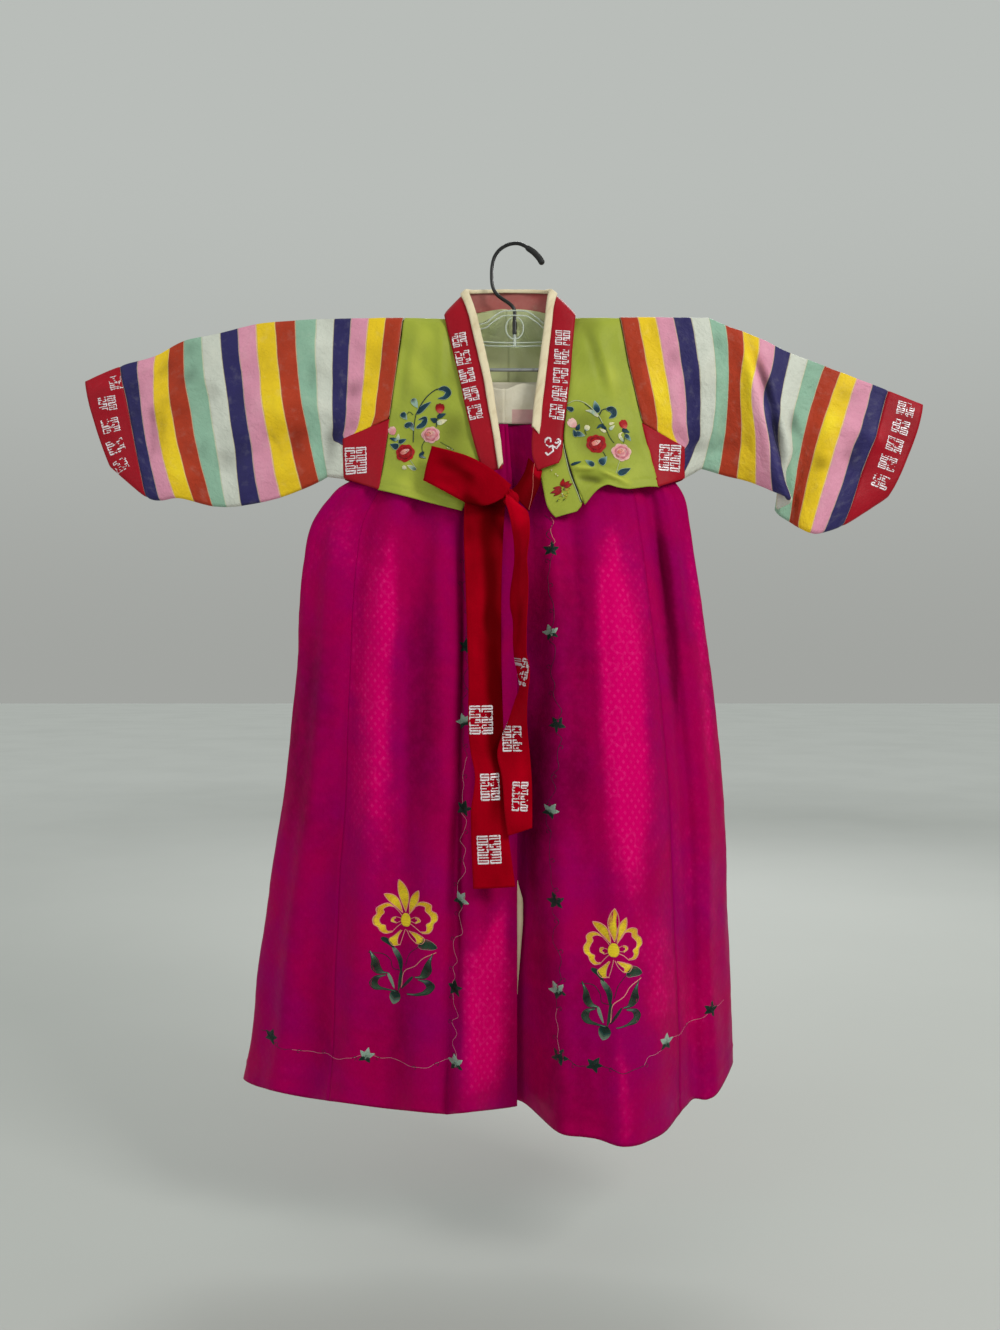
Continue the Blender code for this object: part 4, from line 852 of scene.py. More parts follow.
def sleeve_grid(side, start, end, rows):
    """Rings of the sleeve from one stripe to another, with the stripe and share of each point."""
    stripes = np.linspace(start, end, rows)[:, None]
    length = np.linalg.norm(sleeve_middle(side, stripes, np.ones_like(stripes))
                            - sleeve_middle(side, stripes, np.zeros_like(stripes)), axis=-1)
    fold, half_wide = np.moveaxis(side["fullness"](stripes), -1, 0)
    inset = fold / length
    arc = 1.0 - np.cos(np.linspace(0.0, math.pi / 2, 6))
    flat = np.linspace(0.0, 1.0, 40)[1:-1]
    shares = np.concatenate([inset * arc, inset + (1 - 2 * inset) * flat, 1 - (inset * arc)[:, ::-1]], axis=1)
    stripes = stripes + np.zeros_like(shares)
    near = np.minimum(np.minimum(shares, 1 - shares) / inset, 1.0)
    lens = np.maximum(4.0 * shares * (1.0 - shares), 0.0) ** 0.6
    half = np.sqrt(1 - (1 - near) ** 2) * (fold + (half_wide - fold) * lens)
    middle = sleeve_middle(side, stripes, shares)
    out = grid_normals(middle) * -side["turn"]
    ease = np.clip((stripes - 3.0) / 3.0, 0.0, 1.0)[..., None]
    out = unit(mix(np.array((0.0, 1.0, 0.0)), out, ease * ease * (3 - 2 * ease)))
    front, back = middle - out * half[..., None], middle + out * half[..., None]
    face = np.ones_like(half)
    return [np.concatenate([ahead, behind[:, -2:0:-1]], axis=1)
            for ahead, behind in ((front, back), (stripes, stripes), (shares, shares), (-face, face))]


def sleeve_cloth(side, stripes, shares, face):
    """Cloth places of a sleeve: stripes along u, and v down the front and up the back."""
    for middle, down, reach, deep, amount in side["sway"]:
        stripes = stripes + (face < 0) * amount * np.exp(-((stripes - middle) / reach) ** 2
                                                         - ((shares - down) / deep) ** 2)
    cut = np.interp(shares, *zip(*side["cut"]))
    stripes = np.where(stripes < FAN_END, cut + (FAN_END - cut) * stripes / FAN_END, stripes)
    round_it = np.where(face < 0, shares, 2.0 - shares) * SLEEVE_DEEP
    u = np.concatenate([stripes, stripes[:, :1]], axis=1) * STRIPE
    v = np.concatenate([round_it, np.full((len(round_it), 1), 2.0 * SLEEVE_DEEP)], axis=1)
    return u, v


def sleeve_side(turn, lines, armhole, fullness, cut, sway):
    """What a sleeve is worked out from; turn is -1 on the left and 1 on the right."""
    return {"turn": turn, "lines": [smooth_table(line) for line in lines], "armhole": straight_table(armhole),
            "fullness": smooth_table(fullness), "cut": cut, "sway": sway}


LEFT_SIDE = sleeve_side(-1, (LEFT_SLEEVE_TOP, LEFT_SLEEVE_MIDDLE, LEFT_SLEEVE_FOOT), LEFT_ARMHOLE,
                        LEFT_FULLNESS, LEFT_CUT, ((10.5, 0.6, 1.5, 0.3, 0.1),))
RIGHT_SIDE = sleeve_side(1, (RIGHT_SLEEVE_TOP, RIGHT_SLEEVE_MIDDLE, RIGHT_SLEEVE_FOOT), RIGHT_ARMHOLE,
                         RIGHT_FULLNESS, RIGHT_CUT, ((8.3, 0.42, 1.7, 0.2, 0.62),
                                                     (11.0, 0.6, 1.5, 0.2, 0.15)))

# Creases as seen from the front: x and z of the start and the end, width, height, and bow if any.
LEFT_SLEEVE_FRONT = (
    (-108, -150, -330, -120, 13, 1.6, 12), (-125, -172, -300, -215, 12, -1.8, -10),
    (-150, -190, -260, -140, 9, 1.3, 6), (-200, -80, -380, -190, 11, -1.4, 8),
    (-320, -100, -400, -150, 8, 1.2, -5), (-240, -90, -210, -235, 9, 1.1, 6),
    (-290, -95, -265, -240, 8, -1.2, -7), (-335, -130, -330, -235, 7, 1.1, 5),
    (-128, -85, -165, -160, 8, -1.2, 5), (-180, -75, -195, -150, 8, 0.9, -5),
)
# Where the sleeves' fronts lie in shade (below 0) or catch the light, rows as for the creases.
SLEEVE_TONES = (
    (-352, -165, -286, -100, 9, -0.75), (-344, -122, -300, -90, 9, -0.5),
    (-347, -140, -345, -215, 4, -0.7, 2), (-338, -150, -336, -210, 5, -0.5, 2),
    (-328, -176, -314, -235, 8, 0.7), (-290, -176, -299, -212, 6, -0.5), (-298, -140, -302, -175, 6, 0.45),
    (-252, -70, -254, -120, 8, 0.5), (-205, -90, -222, -140, 9, 0.5), (-214, -140, -203, -215, 8, -0.5),
    (-192, -95, -192, -145, 7, -0.55, 2), (-178, -100, -182, -150, 6, 0.5), (-169, -165, -178, -225, 8, -0.7),
    (-150, -120, -152, -190, 7, -0.5), (-372, -100, -356, -215, 9, -0.35), (-236, -180, -212, -225, 5, 0.5),
    (-232, -176, -214, -206, 3, -0.5), (-110, -60, -135, -140, 8, -0.4), (133, -60, 141, -98, 8, -0.7),
    (137, -105, 148, -175, 7, 0.45), (152, -85, 156, -125, 6, -0.4), (180, -150, 176, -205, 7, -0.45),
    (196, -66, 194, -103, 7, -0.55), (199, -104, 206, -120, 5, 0.5), (198, -122, 196, -162, 6, -0.55),
    (213, -66, 214, -100, 5, -0.4), (226, -90, 232, -160, 6, 0.5), (222, -62, 268, -262, 4, -0.8, 4),
    (212, -62, 256, -262, 6, 0.4, 4), (248, -70, 238, -120, 6, 0.4), (264, -150, 280, -195, 6, -0.6),
    (274, -150, 262, -185, 5, -0.45), (288, -190, 296, -222, 8, -0.75), (312, -130, 300, -190, 8, 0.45),
    (300, -215, 290, -262, 6, 0.5), (312, -190, 330, -215, 6, -0.35),
)
LEFT_SLEEVE_BACK = (
    (-110, -140, -300, -130, 14, 1.7, -10), (-130, -175, -330, -190, 11, -1.6, 10),
    (-180, -80, -250, -230, 10, 1.3, 8), (-280, -90, -370, -200, 9, -1.2, -8),
    (-210, -120, -380, -150, 9, 1.1, 6), (-150, -85, -185, -200, 8, -1.1, -6),
)
RIGHT_SLEEVE_FRONT = (
    (106, -150, 250, -125, 13, 1.5, 10), (128, -172, 235, -190, 10, -1.6, -8),
    (120, -80, 165, -190, 9, 1.2, -8), (190, -75, 200, -200, 8, -1.0, 6), (228, -110, 236, -215, 6, 1.5, -5),
    (300, -120, 290, -225, 9, 1.4, 6), (340, -130, 330, -235, 8, -1.3, -6),
    (268, -108, 370, -150, 9, -1.2, 5), (280, -165, 385, -205, 9, 1.3, 6), (208, -62, 255, -262, 6, 3.2, 4),
    (219, -62, 266, -262, 4, -3.4, 4), (232, -120, 275, -255, 6, 1.8, 6), (150, -100, 170, -200, 5, 1.4, -4),
    (196, -110, 190, -200, 5, 1.5, 3), (140, -160, 118, -100, 4, 1.2, 3),
)
RIGHT_SLEEVE_BACK = (
    (108, -140, 290, -135, 14, 1.6, 10), (130, -175, 330, -200, 11, -1.6, -9),
    (180, -80, 240, -220, 10, 1.3, -8), (280, -100, 350, -220, 9, -1.2, 8),
    (210, -120, 380, -165, 9, 1.1, -6),
)


def sleeve_relief(grid, shares, face, front, back, seed):
    """Height of the creases and ripples over a sleeve, with a dip at each end's seam."""
    x, z = grid[..., 0], grid[..., 2]
    fold = np.clip(np.minimum(shares, 1 - shares) * 9.0, 0.0, 1.0)
    relief = 1.5 * np.where(face < 0, creases(front, x, z), creases(back, x, z))
    relief = relief + rumple(x + 400 * face, z, seed, 42.0, 1.3)
    return relief * fold + rumple(x, z - 900 * face, seed + 1, 17.0, 0.22)


def make_sleeve(side, word, front, back, seed):
    """The striped sleeve and its red cuff, each an open flattened tube of thin cloth."""
    for kind, start, end, rows, paint in (("sleeve", 0.0, CUFF_AT, 88, "rainbow"),
                                          ("cuff", CUFF_AT, SLEEVE_END, 14, "red")):
        grid, stripes, shares, face = sleeve_grid(side, start, end, rows)
        height = sleeve_relief(grid, shares, face, front, back, seed)
        for seam in (0.0, CUFF_AT):
            height = height + seam_dip((stripes - seam) * STRIPE, 0.5, 1.6)
        height = height * np.where(stripes < 1.0, 0.35 + 0.65 * stripes, 1.0)
        flat = ((end - start) * STRIPE, 2.0 * SLEEVE_DEEP + 8.0)
        # painted light and shade on the sleeve's front, from its tones, with a faint random ripple of it all
        # round
        tone = np.where(face < 0, 0.62 * creases(SLEEVE_TONES, grid[..., 0], grid[..., 2]), 0.0)
        tone = tone + rumple(grid[..., 0] + 300 * face, grid[..., 2], seed + 5, 30.0, 0.22)
        cloth_piece(f"{word}_{kind}_cloth", grid, paint, f"{kind}_{word}", height,
                    cloth=sleeve_cloth(side, stripes, shares, face), flip=side["turn"] < 0, closed=True,
                    flat=flat, tone=tone)


def armhole_point(side, shares, face):
    """Points of the seam round the armhole, on the front (-1) or the back (+1) face."""
    fold, middle = np.moveaxis(side["fullness"](np.zeros_like(shares)), -1, 0)
    lens = np.maximum(4.0 * shares * (1.0 - shares), 0.0) ** 0.6
    place = side["armhole"](shares)
    place[..., 1] += face * (fold + (middle - fold) * lens)
    return place


def make_gusset(side, word, corners):
    """The underarm gusset: a front and a back face that meet at the armpit."""
    for face, name in ((-1, "front"), (1, "back")):
        down, across = np.linspace(0.0, 1.0, 30)[:, None], np.linspace(0.0, 1.0, 22)[None, :, None]
        outer = armhole_point(side, mix(GUSSET_SIDE, 1.0, down), face)
        inner = mix(armhole_point(side, np.full((1, 1), GUSSET_TOP), face), np.array(corners[face], float),
                    down[..., None])
        grid = mix(inner, outer, across)
        share = across[..., 0]
        grid[..., 0] += side["turn"] * 1.2 * (share * 2 - 1)
        height = rumple(grid[..., 0], grid[..., 2], 61 + face, 22.0, 0.5)
        height = height + seam_dip(share * GUSSET_WIDE, 0.4, 2.0)
        height = height + seam_dip((1 - share) * GUSSET_WIDE, 0.4, 2.0) + 0.25
        cloth_piece(f"{word}_gusset_{name}", grid, "red", f"gusset_{name}_{word}",
                    height, flip=face * side["turn"] < 0)


# ---------------------------------------------------------------- jacket body, collar and trim

def spread_rows(table, shares, steps):
    """Rows of points between a table's inner and outer edges, at its shares."""
    inner, outer = np.split(smooth_table(table)(np.array(shares))[:, None, :], 2, axis=-1)
    return mix(inner, outer, steps[None, :, None])


def body_grid(front, back, turn, lift):
    """A half of the jacket: hem of the front, over the shoulder, and down to the hem of the back."""
    steps = np.linspace(0.0, 1.0, BODY_POINTS)
    ahead = spread_rows(front, FRONT_SHARES, steps)
    shares = np.array(FRONT_SHARES)[:, None]
    fade = np.maximum(1 - shares / 0.24, 0.0)
    ahead[..., 2] += lift * smooth_table(HEM_LIFT)(steps)[None, :, 0] * fade
    roll = np.exp(-((shares - 0.17) / 0.05) ** 2) * np.sin(math.pi * np.minimum(steps * 1.25, 1.0))
    ahead[..., 1] -= lift * 4.0 * roll + 1.5 * np.sin(math.pi * steps)
    inner, outer = np.split(np.array(SHOULDER)[:, None, :] * np.array((turn, 1, 1, turn, 1, 1)), 2, axis=-1)
    over = mix(inner, outer, steps[None, :, None])
    behind = spread_rows(back, BACK_SHARES, steps)
    return refine(np.concatenate([ahead, over, behind]), 190, 44)


# Shade and light on the jacket's fronts, rows as for the creases.
BODY_TONES = (
    (50, -216, 82, -217, 2.2, 0.9), (76, -216, 114, -232, 2.2, 0.9), (54, -223, 88, -228, 3.5, -0.6),
    (70, -130, 92, -262, 34, -0.5), (-70, -150, -60, -275, 26, -0.3), (-110, -70, -110, -200, 20, 0.3),
    (-80, -66, -97, -130, 8, 0.7, 2), (-108, -120, -117, -190, 6, 0.5), (-74, -90, -54, -150, 12, -0.3),
    (-46, -150, -62, -215, 16, -0.35), (-104, -215, -90, -250, 10, 0.5), (-70, -66, -60, -90, 7, 0.4),
    (-100, -66, -106, -110, 6, -0.4), (-60, -225, -50, -262, 8, 0.35), (-112, -195, -80, -205, 8, -0.35),
    (93, -100, 98, -175, 9, 0.75), (82, -62, 85, -120, 9, -0.5), (60, -85, 63, -150, 7, 0.35),
    (120, -120, 112, -190, 12, 0.3), (124, -205, 102, -235, 9, 0.6), (112, -70, 124, -150, 7, -0.3),
    (120, -160, 128, -200, 7, -0.3),
)
BACK_LAP = 1.3              # how far each half reaches past the centre of the back
BODY_WIDE, SEOP_WIDE = 62.0, 27.0               # the usual widths of a half and of the flap
BODY_HEM = 7.0              # how far the hem's stitches lie from the edge
BODY_BACK_FROM = 0.56       # the share of a half's rows where the back starts
LEFT_FRONT_CREASES = (
    (-70, -70, -72, -150, 5, 1.6, 4), (-95, -70, -108, -170, 6, -1.4, -3), (-60, -75, -112, -150, 11, 1.5, 6),
    (-100, -80, -52, -160, 10, -1.3, -5), (-45, -150, -115, -215, 9, 1.4, 6),
    (-112, -165, -60, -235, 8, -1.3, 5), (-118, -205, -60, -212, 7, 1.0, -4),
    (-80, -70, -84, -140, 7, 0.9, 4), (-120, -225, -85, -240, 5, 0.9, 2), (-70, -240, -45, -255, 4, 0.9, 2),
)
RIGHT_FRONT_CREASES = (
    (58, -78, 112, -140, 11, 1.4, -6), (100, -76, 58, -150, 9, -1.2, 6), (116, -160, 60, -200, 9, 1.3, -5),
    (50, -216, 81, -217, 2.8, 2.6), (77, -216, 114, -233, 2.8, 2.6), (56, -225, 92, -229, 3.5, -2.2),
    (120, -150, 132, -215, 6, 1.0, -3), (66, -72, 88, -150, 5, -1.8, 3), (76, -70, 104, -158, 6, 1.8, -3),
    (110, -80, 118, -150, 6, -1.4, 2), (80, -72, 92, -130, 7, 0.9, 4),
)
BACK_CREASES = (
    (8, -70, 10, -225, 7, 1.3, 4), (-60, -75, -20, -220, 12, 1.4, 8), (65, -75, 25, -225, 12, -1.4, -8),
    (-105, -110, -30, -190, 11, -1.3, 6), (108, -110, 40, -190, 11, 1.4, -6),
    (-118, -200, 0, -212, 9, 1.2, 5), (125, -195, 10, -215, 9, -1.2, -5),
)


def make_body(word, turn, front, back, lift, seed, table):
    """A half of the jacket's body in one cloth, folded at the shoulder."""
    grid = body_grid(front, back, turn, lift)
    behind = np.arange(len(grid))[:, None] > len(grid) * BODY_BACK_FROM
    meet = np.exp(-np.arange(grid.shape[1]) / 1.6)[None, :] * behind
    grid[..., 0] -= turn * BACK_LAP * meet
    grid[..., 1] += 0.4 * (turn < 0) * meet
    x, z = grid[..., 0], grid[..., 2]
    height = np.where(behind, creases(BACK_CREASES, x, z), creases(table, x, z))
    height = 1.25 * height + rumple(x + 300 * behind, z, seed, 34.0, 1.0)
    # painted light and shade on the fronts, from their tones, with a faint random ripple of it all round
    tone = np.where(behind, 0.0, 0.6 * creases(BODY_TONES, x, z))
    tone = tone + rumple(x + 500 * behind, z, seed + 9, 40.0, 0.25)
    across = np.linspace(0.0, BODY_WIDE, grid.shape[1])[None, :]
    down = measure(grid)[1][:, 20:21]
    height = height * np.clip(across / 5.0, 0.0, 1.0) * np.clip((BODY_WIDE - across) / 6.0, 0.0, 1.0)
    height = height + seam_dip(BODY_WIDE - across, 0.5, 1.6) + seam_dip(down - BODY_HEM, 0.35, 1.0)
    height = height + seam_dip(down[-1] - down - BODY_HEM, 0.35, 1.0)
    cloth_piece(f"jacket_{word}_cloth", grid, "green", "jacket_body_" + word,
                height, flip=turn < 0, lining="lining", tone=tone)


def make_seop():
    """The outer flap that carries the right front past the middle."""
    steps = np.linspace(0.0, 1.0, 5)
    grid = spread_rows(SEOP, (0, 0.1, 0.22, 0.36, 0.5, 0.64, 0.78, 0.9, 1), steps)
    grid[..., 1] -= 0.5 * np.sin(math.pi * steps)
    grid = refine(grid, 46, 22)
    across = np.linspace(0.0, SEOP_WIDE, grid.shape[1])[None, :]
    height = rumple(grid[..., 0], grid[..., 2], 83, 20.0, 0.4) + seam_dip(SEOP_WIDE - across, 0.5, 1.4)
    cloth_piece("seop_cloth", grid, "green", "seop_outer",
                height, flip=True, lining="lining")


COLLAR_LINE = smooth_table(COLLAR)


def collar_grid(start, end, rows, shares, lift):
    """The collar's cloth between two stations, share 0 at its seam and 1 at the neck."""
    stations = np.linspace(start, end, rows)
    outer, inner = np.split(COLLAR_LINE(stations), 2, axis=-1)
    middle = np.clip(stations, 0.1, COLLAR_END - 0.1)
    ahead = (COLLAR_LINE(middle + 0.1) - COLLAR_LINE(middle - 0.1))[:, :3]
    out = unit(np.cross(ahead, inner - outer))[:, None, :]
    crown = 0.8 * np.sin(math.pi * np.clip(shares, 0.0, 1.0))[None, :, None]
    return mix(outer[:, None, :], inner[:, None, :], np.array(shares)[None, :, None]) - out * (lift + crown)


def make_collar():
    """The red collar band, and the cream trim that is folded over its neck edge."""
    shares = np.linspace(0.0, 1.0, 12)
    grid = collar_grid(COLLAR_START, COLLAR_END, 220, shares, CLOTH_WALL + LAY)
    u, v = measure(grid)
    height = rumple(v, u, 91, 26.0, 0.45) + seam_dip(u, 0.5, 1.6)
    cloth_piece("collar_cloth", grid, "red", "collar", height,
                lining="red_lining")
    fold = np.array(TRIM_FOLD)
    outward = fold[:, 0]
    flat = collar_grid(TRIM_START, TRIM_END, 240, outward, 0.0)
    proud = collar_grid(TRIM_START, TRIM_END, 240, outward, 1.0)
    grid = flat + (proud - flat) * fold[None, :, 1:2]
    slant = np.linspace(0.0, 1.0, 240)[:, None]
    aside = np.clip((TRIM_INNER - outward) / (TRIM_INNER - TRIM_OUTER), 0.0, 1.0)[None, :]
    grid[..., 2] += LEFT_SLANT * np.clip(1.0 - slant * 18.0, 0.0, 1.0) * (1.0 - aside)
    grid[..., 2] -= np.clip(slant * 14.0 - 13.0, 0.0, 1.0) * (RIGHT_SLANT[0] + RIGHT_SLANT[1] * aside)
    u, v = measure(grid)
    height = rumple(v, u, 95, 19.0, 0.25)
    cloth_piece("trim_cloth", grid, "trim", "collar_trim", height, wall=0.6)


# ---------------------------------------------------------------- skirt

SECTION = smooth_table(SKIRT_SECTIONS)
DROP = smooth_table(HEM_DROP)
HEM_CORNER = 11.0           # how far the left front's free corner is drawn up
HEM_STITCHES = 17.0         # how far the hem's stitches lie from the edge
QUARTER = 190.0             # the usual length of a quarter of the skirt


def chosen(word):
    """A size that the user set, in millimetres."""
    return round(getattr(bpy.context.scene.hanbok_sizes, word) / MM, 6)


def bump(distance, width):
    """A soft ridge of height one, zero past its width."""
    inside = np.abs(distance) < width
    return np.where(inside, (np.cos(math.pi * np.clip(distance / width, -1.0, 1.0)) + 1.0) / 2.0, 0.0)


def fold_height(folds, share, depth):
    """Height of the folds at a share of the width, depth 0 at the bodice and 1 at the hem."""
    total = np.zeros(np.broadcast(share, depth).shape)
    for place, width, gathered, upper, hem in folds:
        size = np.where(depth < 0.25, mix(gathered, upper, depth / 0.25),
                        mix(upper, hem, (depth - 0.25) / 0.75))
        total += size * bump(share - place, width * 1.25)
    return total


def skirt_point(turn, depth):
    """Points of the skirt. Turn counts quarters from the free edge; above 4 the right edge tucks in."""
    height = mix(SKIRT_TOP_Z, HEM_Z, depth)
    left, right, edge, left_bulge, right_bulge, back = np.moveaxis(SECTION(height), -1, 0)
    tuck = np.maximum(turn - 4.0, 0.0)
    turn = np.minimum(turn, 4.0)
    across, ahead = np.sin(turn * math.pi / 2), np.cos(turn * math.pi / 2)
    on_left, on_front = turn <= 2.0, ahead > 0
    power = np.where(on_front, 2.0 / SKIRT_EDGE_SHARE, 2.0 / SKIRT_BACK_SHARE)
    share = np.clip(np.abs(across) ** power, 0.0, 1.0)
    bulge = np.where(on_front, np.where(on_left, left_bulge, right_bulge), back)
    x = np.where(on_left, edge - (edge - left) * share, edge + (right - edge) * share)
    y = np.where(on_front, -1.0, 1.0) * bulge * np.abs(ahead) ** power
    steep = np.minimum(1.0, (1.0 - share) * 8.0)
    swell = np.where(on_left, fold_height(LEFT_FOLDS, share, depth), fold_height(RIGHT_FOLDS, share, depth))
    lift = 0.42 * swell + chosen("hem_lift") * np.clip(1.0 - share / 0.24, 0.0, 1.0) ** 1.3
    height = height + np.where(on_front & on_left, lift * depth ** 8, 0.0)
    y = y + np.where(on_front, -swell, fold_height(BACK_FOLDS, turn - 1.0, depth)) * steep
    drop = np.where(on_front, DROP(share)[..., 0], float(DROP(1.0)[0]) * share)
    height = height - np.where(on_left, 0.0, drop * depth ** 3)
    y = y + np.where(turn >= 3.0, mix(2.0, 5.0, depth) * bump(share, 0.3), 0.0) + 4.0 * tuck
    return np.stack([x - tuck * TUCK, y, height], axis=-1)


def side_seam(depth):
    """The turn of the seam between the skirt's left front panel and the cloth behind it."""
    return 0.59 - 0.075 * np.clip((depth - 0.37) / 0.63, 0.0, 1.0)


# Long soft folds of the skirt's front, rows as for the sleeves' creases.
SKIRT_FRONT_CREASES = (
    (-118, -236, -122, -560, 9, 1.8, 3), (-92, -238, -86, -620, 8, -1.8, -3),
    (-62, -240, -68, -500, 6, 1.5, 3), (-150, -236, -172, -520, 8, -1.6, -5),
    (-135, -420, -160, -790, 10, 1.6, -6), (-50, -300, -52, -560, 5, -2.2, 1),
    (-55, -700, -48, -795, 5, -2.0), (-40, -640, -24, -795, 7, 1.6, 2), (-36, -720, -14, -620, 6, 1.8, 3),
    (-105, -560, -98, -780, 9, -1.2, 4), (-190, -560, -215, -790, 9, -1.4, -4),
    (-8, -420, -6, -790, 4, -1.0, 1), (28, -420, 24, -640, 8, -2.2, -2), (60, -236, 66, -440, 7, -2.0, 2),
    (82, -236, 84, -620, 5, 2.2, 2), (108, -238, 112, -560, 9, 1.4, 4), (138, -234, 150, -500, 5, -3.0, 5),
    (156, -236, 172, -560, 7, 1.8, 5), (92, -640, 98, -830, 8, 2.0, 4), (70, -640, 64, -830, 8, -1.8, -4),
    (130, -620, 150, -800, 9, -1.6, 5), (178, -560, 190, -780, 8, 1.3, 4), (12, -560, 20, -800, 7, 1.4, 3),
    (44, -700, 36, -820, 6, -1.2, -2), (150, -700, 175, -790, 6, 1.3, 2), (98, -300, 60, -330, 7, 0.9, 2),
    (-120, -300, -165, -330, 6, 0.8, 2),
)
SKIRT_BACK_CREASES = (
    (-150, -180, -190, -620, 10, 2.0, 5), (-120, -176, -140, -500, 8, -2.2, -4),
    (-90, -174, -104, -700, 11, 2.0, 6), (-60, -174, -66, -460, 7, -2.2, -3),
    (-30, -174, -36, -640, 9, 2.2, 4), (4, -174, 2, -520, 8, -2.4, -3), (34, -174, 44, -720, 10, 2.0, -5),
    (66, -174, 76, -480, 7, -2.2, 3), (98, -176, 120, -660, 10, 2.2, -5), (128, -180, 160, -560, 8, -2.0, 5),
    (-120, -560, -150, -790, 9, -1.8, -5), (-10, -560, -24, -790, 10, 1.8, 4),
    (60, -540, 74, -790, 9, -1.6, 5), (140, -560, 168, -780, 9, 1.6, 5),
)


# Where the skirt's front is painted brighter (above 0), as painted highlight, or darker, as painted shade:
# rows as for the folds.
SKIRT_FRONT_TONES = (
    (-128, -236, -124, -620, 20, 0.75), (-112, -240, -112, -420, 7, 0.5), (-82, -260, -80, -600, 30, -0.35),
    (-160, -236, -150, -330, 20, 0.45, -3), (-180, -330, -205, -620, 26, -0.4, -6),
    (-24, -600, -24, -806, 23, 1.0), (-4, -600, -30, -700, 7, 0.6), (-46.5, -240, -47.5, -806, 2.6, -0.9),
    (-57, -330, -58, -560, 6, 0.3), (22, -240, 22, -806, 15, -0.35), (50, -250, 50, -600, 21, -0.5),
    (64, -300, 64, -640, 9, -0.25), (96, -234, 99, -640, 23, 0.95, 2), (94, -250, 92, -370, 9, 0.5),
    (112, -340, 104, -660, 10, 0.4), (136, -234, 152, -470, 6.5, -1.1, 4), (150, -240, 168, -420, 8, -0.4, 4),
    (164, -236, 190, -560, 7, 0.5, 4), (44, -600, 60, -820, 32, -0.35, -4), (88, -700, 96, -830, 5, 0.4, 2),
    (120, -600, 128, -740, 17, 0.55, 4), (150, -520, 168, -780, 24, 0.35, 4),
    (-150, -640, -170, -790, 30, -0.25, -4), (-100, -660, -90, -800, 30, -0.15),
)


def gathers(turn, depth):
    """Small uneven pleats below the bodice, which open out on the way down."""
    draw, total, place = random.Random(29), np.zeros(turn.shape), 0.05
    while place < 4.9:
        width, reach = draw.uniform(0.014, 0.026), draw.uniform(0.10, 0.34)
        lean, size = draw.uniform(-0.05, 0.05), draw.uniform(0.8, 2.1)
        fade = np.clip(1.0 - depth / reach, 0.0, 1.0) ** 1.3
        total += size * fade * bump(turn - place - lean * depth, width * (1.0 + 2.0 * depth))
        place += draw.uniform(0.035, 0.075)
    return total - 0.6 * np.clip(1.0 - depth / 0.2, 0.0, 1.0)


def make_skirt():
    """The wrapped skirt's panels, each of them an open sheet from the bodice to the hem."""
    depth = np.linspace(0.0, 1.0, 190)[:, None]
    seams = (0.0, side_seam(depth), 1.95, 3.45)
    for word, start, end, columns in zip(("front_left", "back_left", "back_right", "front_right"), seams,
                                         (*seams[1:], 5.0), (92, 120, 120, 120)):
        turn = mix(start, end, np.linspace(0.0, 1.0, columns)[None, :] + 0.0 * depth)
        deep = depth + np.zeros_like(turn)
        grid = skirt_point(turn, deep)
        x, z = grid[..., 0], grid[..., 2]
        ahead = np.cos(np.minimum(turn, 4.0) * math.pi / 2) > 0
        height = np.where(ahead, creases(SKIRT_FRONT_CREASES, x, z), creases(SKIRT_BACK_CREASES, x, z))
        height = height + gathers(turn, deep)
        height = height + rumple(turn * QUARTER, z * 0.45, 71, 40.0, 1.0) * (0.3 + 0.7 * deep)
        height = height + rumple(turn * QUARTER, z, 73, 14.0, 0.16)
        hem = (1.0 - deep) * (SKIRT_TOP_Z - HEM_Z)
        height = height + seam_dip(hem - HEM_STITCHES, 0.45, 1.2)
        height = height * np.clip((5.0 - turn) / 0.1, 0.0, 1.0) * np.clip(0.25 + turn / 0.05, 0.0, 1.0)
        for seam in seams[1:]:
            height = height + seam_dip((turn - seam) * QUARTER, 0.6, 1.8)
        height = np.maximum(height, -2.2) * np.clip(deep / 0.01 + 0.2, 0.0, 1.0)
        # painted light and shade: the front's tones, and on the back paler on the raised creases and darker
        # in the sunk ones, with a faint random ripple
        tone = np.where(ahead, creases(SKIRT_FRONT_TONES, x, z), 0.3 * creases(SKIRT_BACK_CREASES, x, z))
        tone = tone + rumple(turn * QUARTER, z * 0.3, 77, 34.0, 0.16)
        cloth_piece(f"skirt_{word}_cloth", grid, "magenta", "skirt_panel_" + word, height,
                    flip=True, tone=tone)


GAP_LINING, GAP_WIDTH = (-592.0, -700.0), 5.2   # where the lining shows, top and foot, and how wide


def make_gap_lining():
    """The pale edge of the lining that shows in the opening of the skirt."""
    free = SURFACES["skirt_front_left_cloth"][:, 0]
    rows = [row for row in free if GAP_LINING[1] < row[2] < GAP_LINING[0]]
    share = np.linspace(0.0, 1.0, len(rows))
    width = GAP_WIDTH * np.clip(np.minimum(share * 6.0, (1.0 - share) * 1.6), 0.08, 1.0)
    grid = np.array([[row + np.array((mix(-8.0, wide, step), 1.2 + 1.2 * step, 0.0))
                      for step in (0, 0.5, 0.75, 1)] for row, wide in zip(rows, width)])
    cloth_piece("gap_lining_cloth", grid, "trim", None)


# ---------------------------------------------------------------- tie

def strip_grid(table, rows, columns, crown):
    """A flat ribbon between a table's two edges, a little crowned in the middle."""
    steps = np.linspace(0.0, 1.0, columns)
    grid = spread_rows(table, np.linspace(0.0, 1.0, rows), steps)
    grid[..., 1] -= crown * np.sin(math.pi * steps)
    return grid


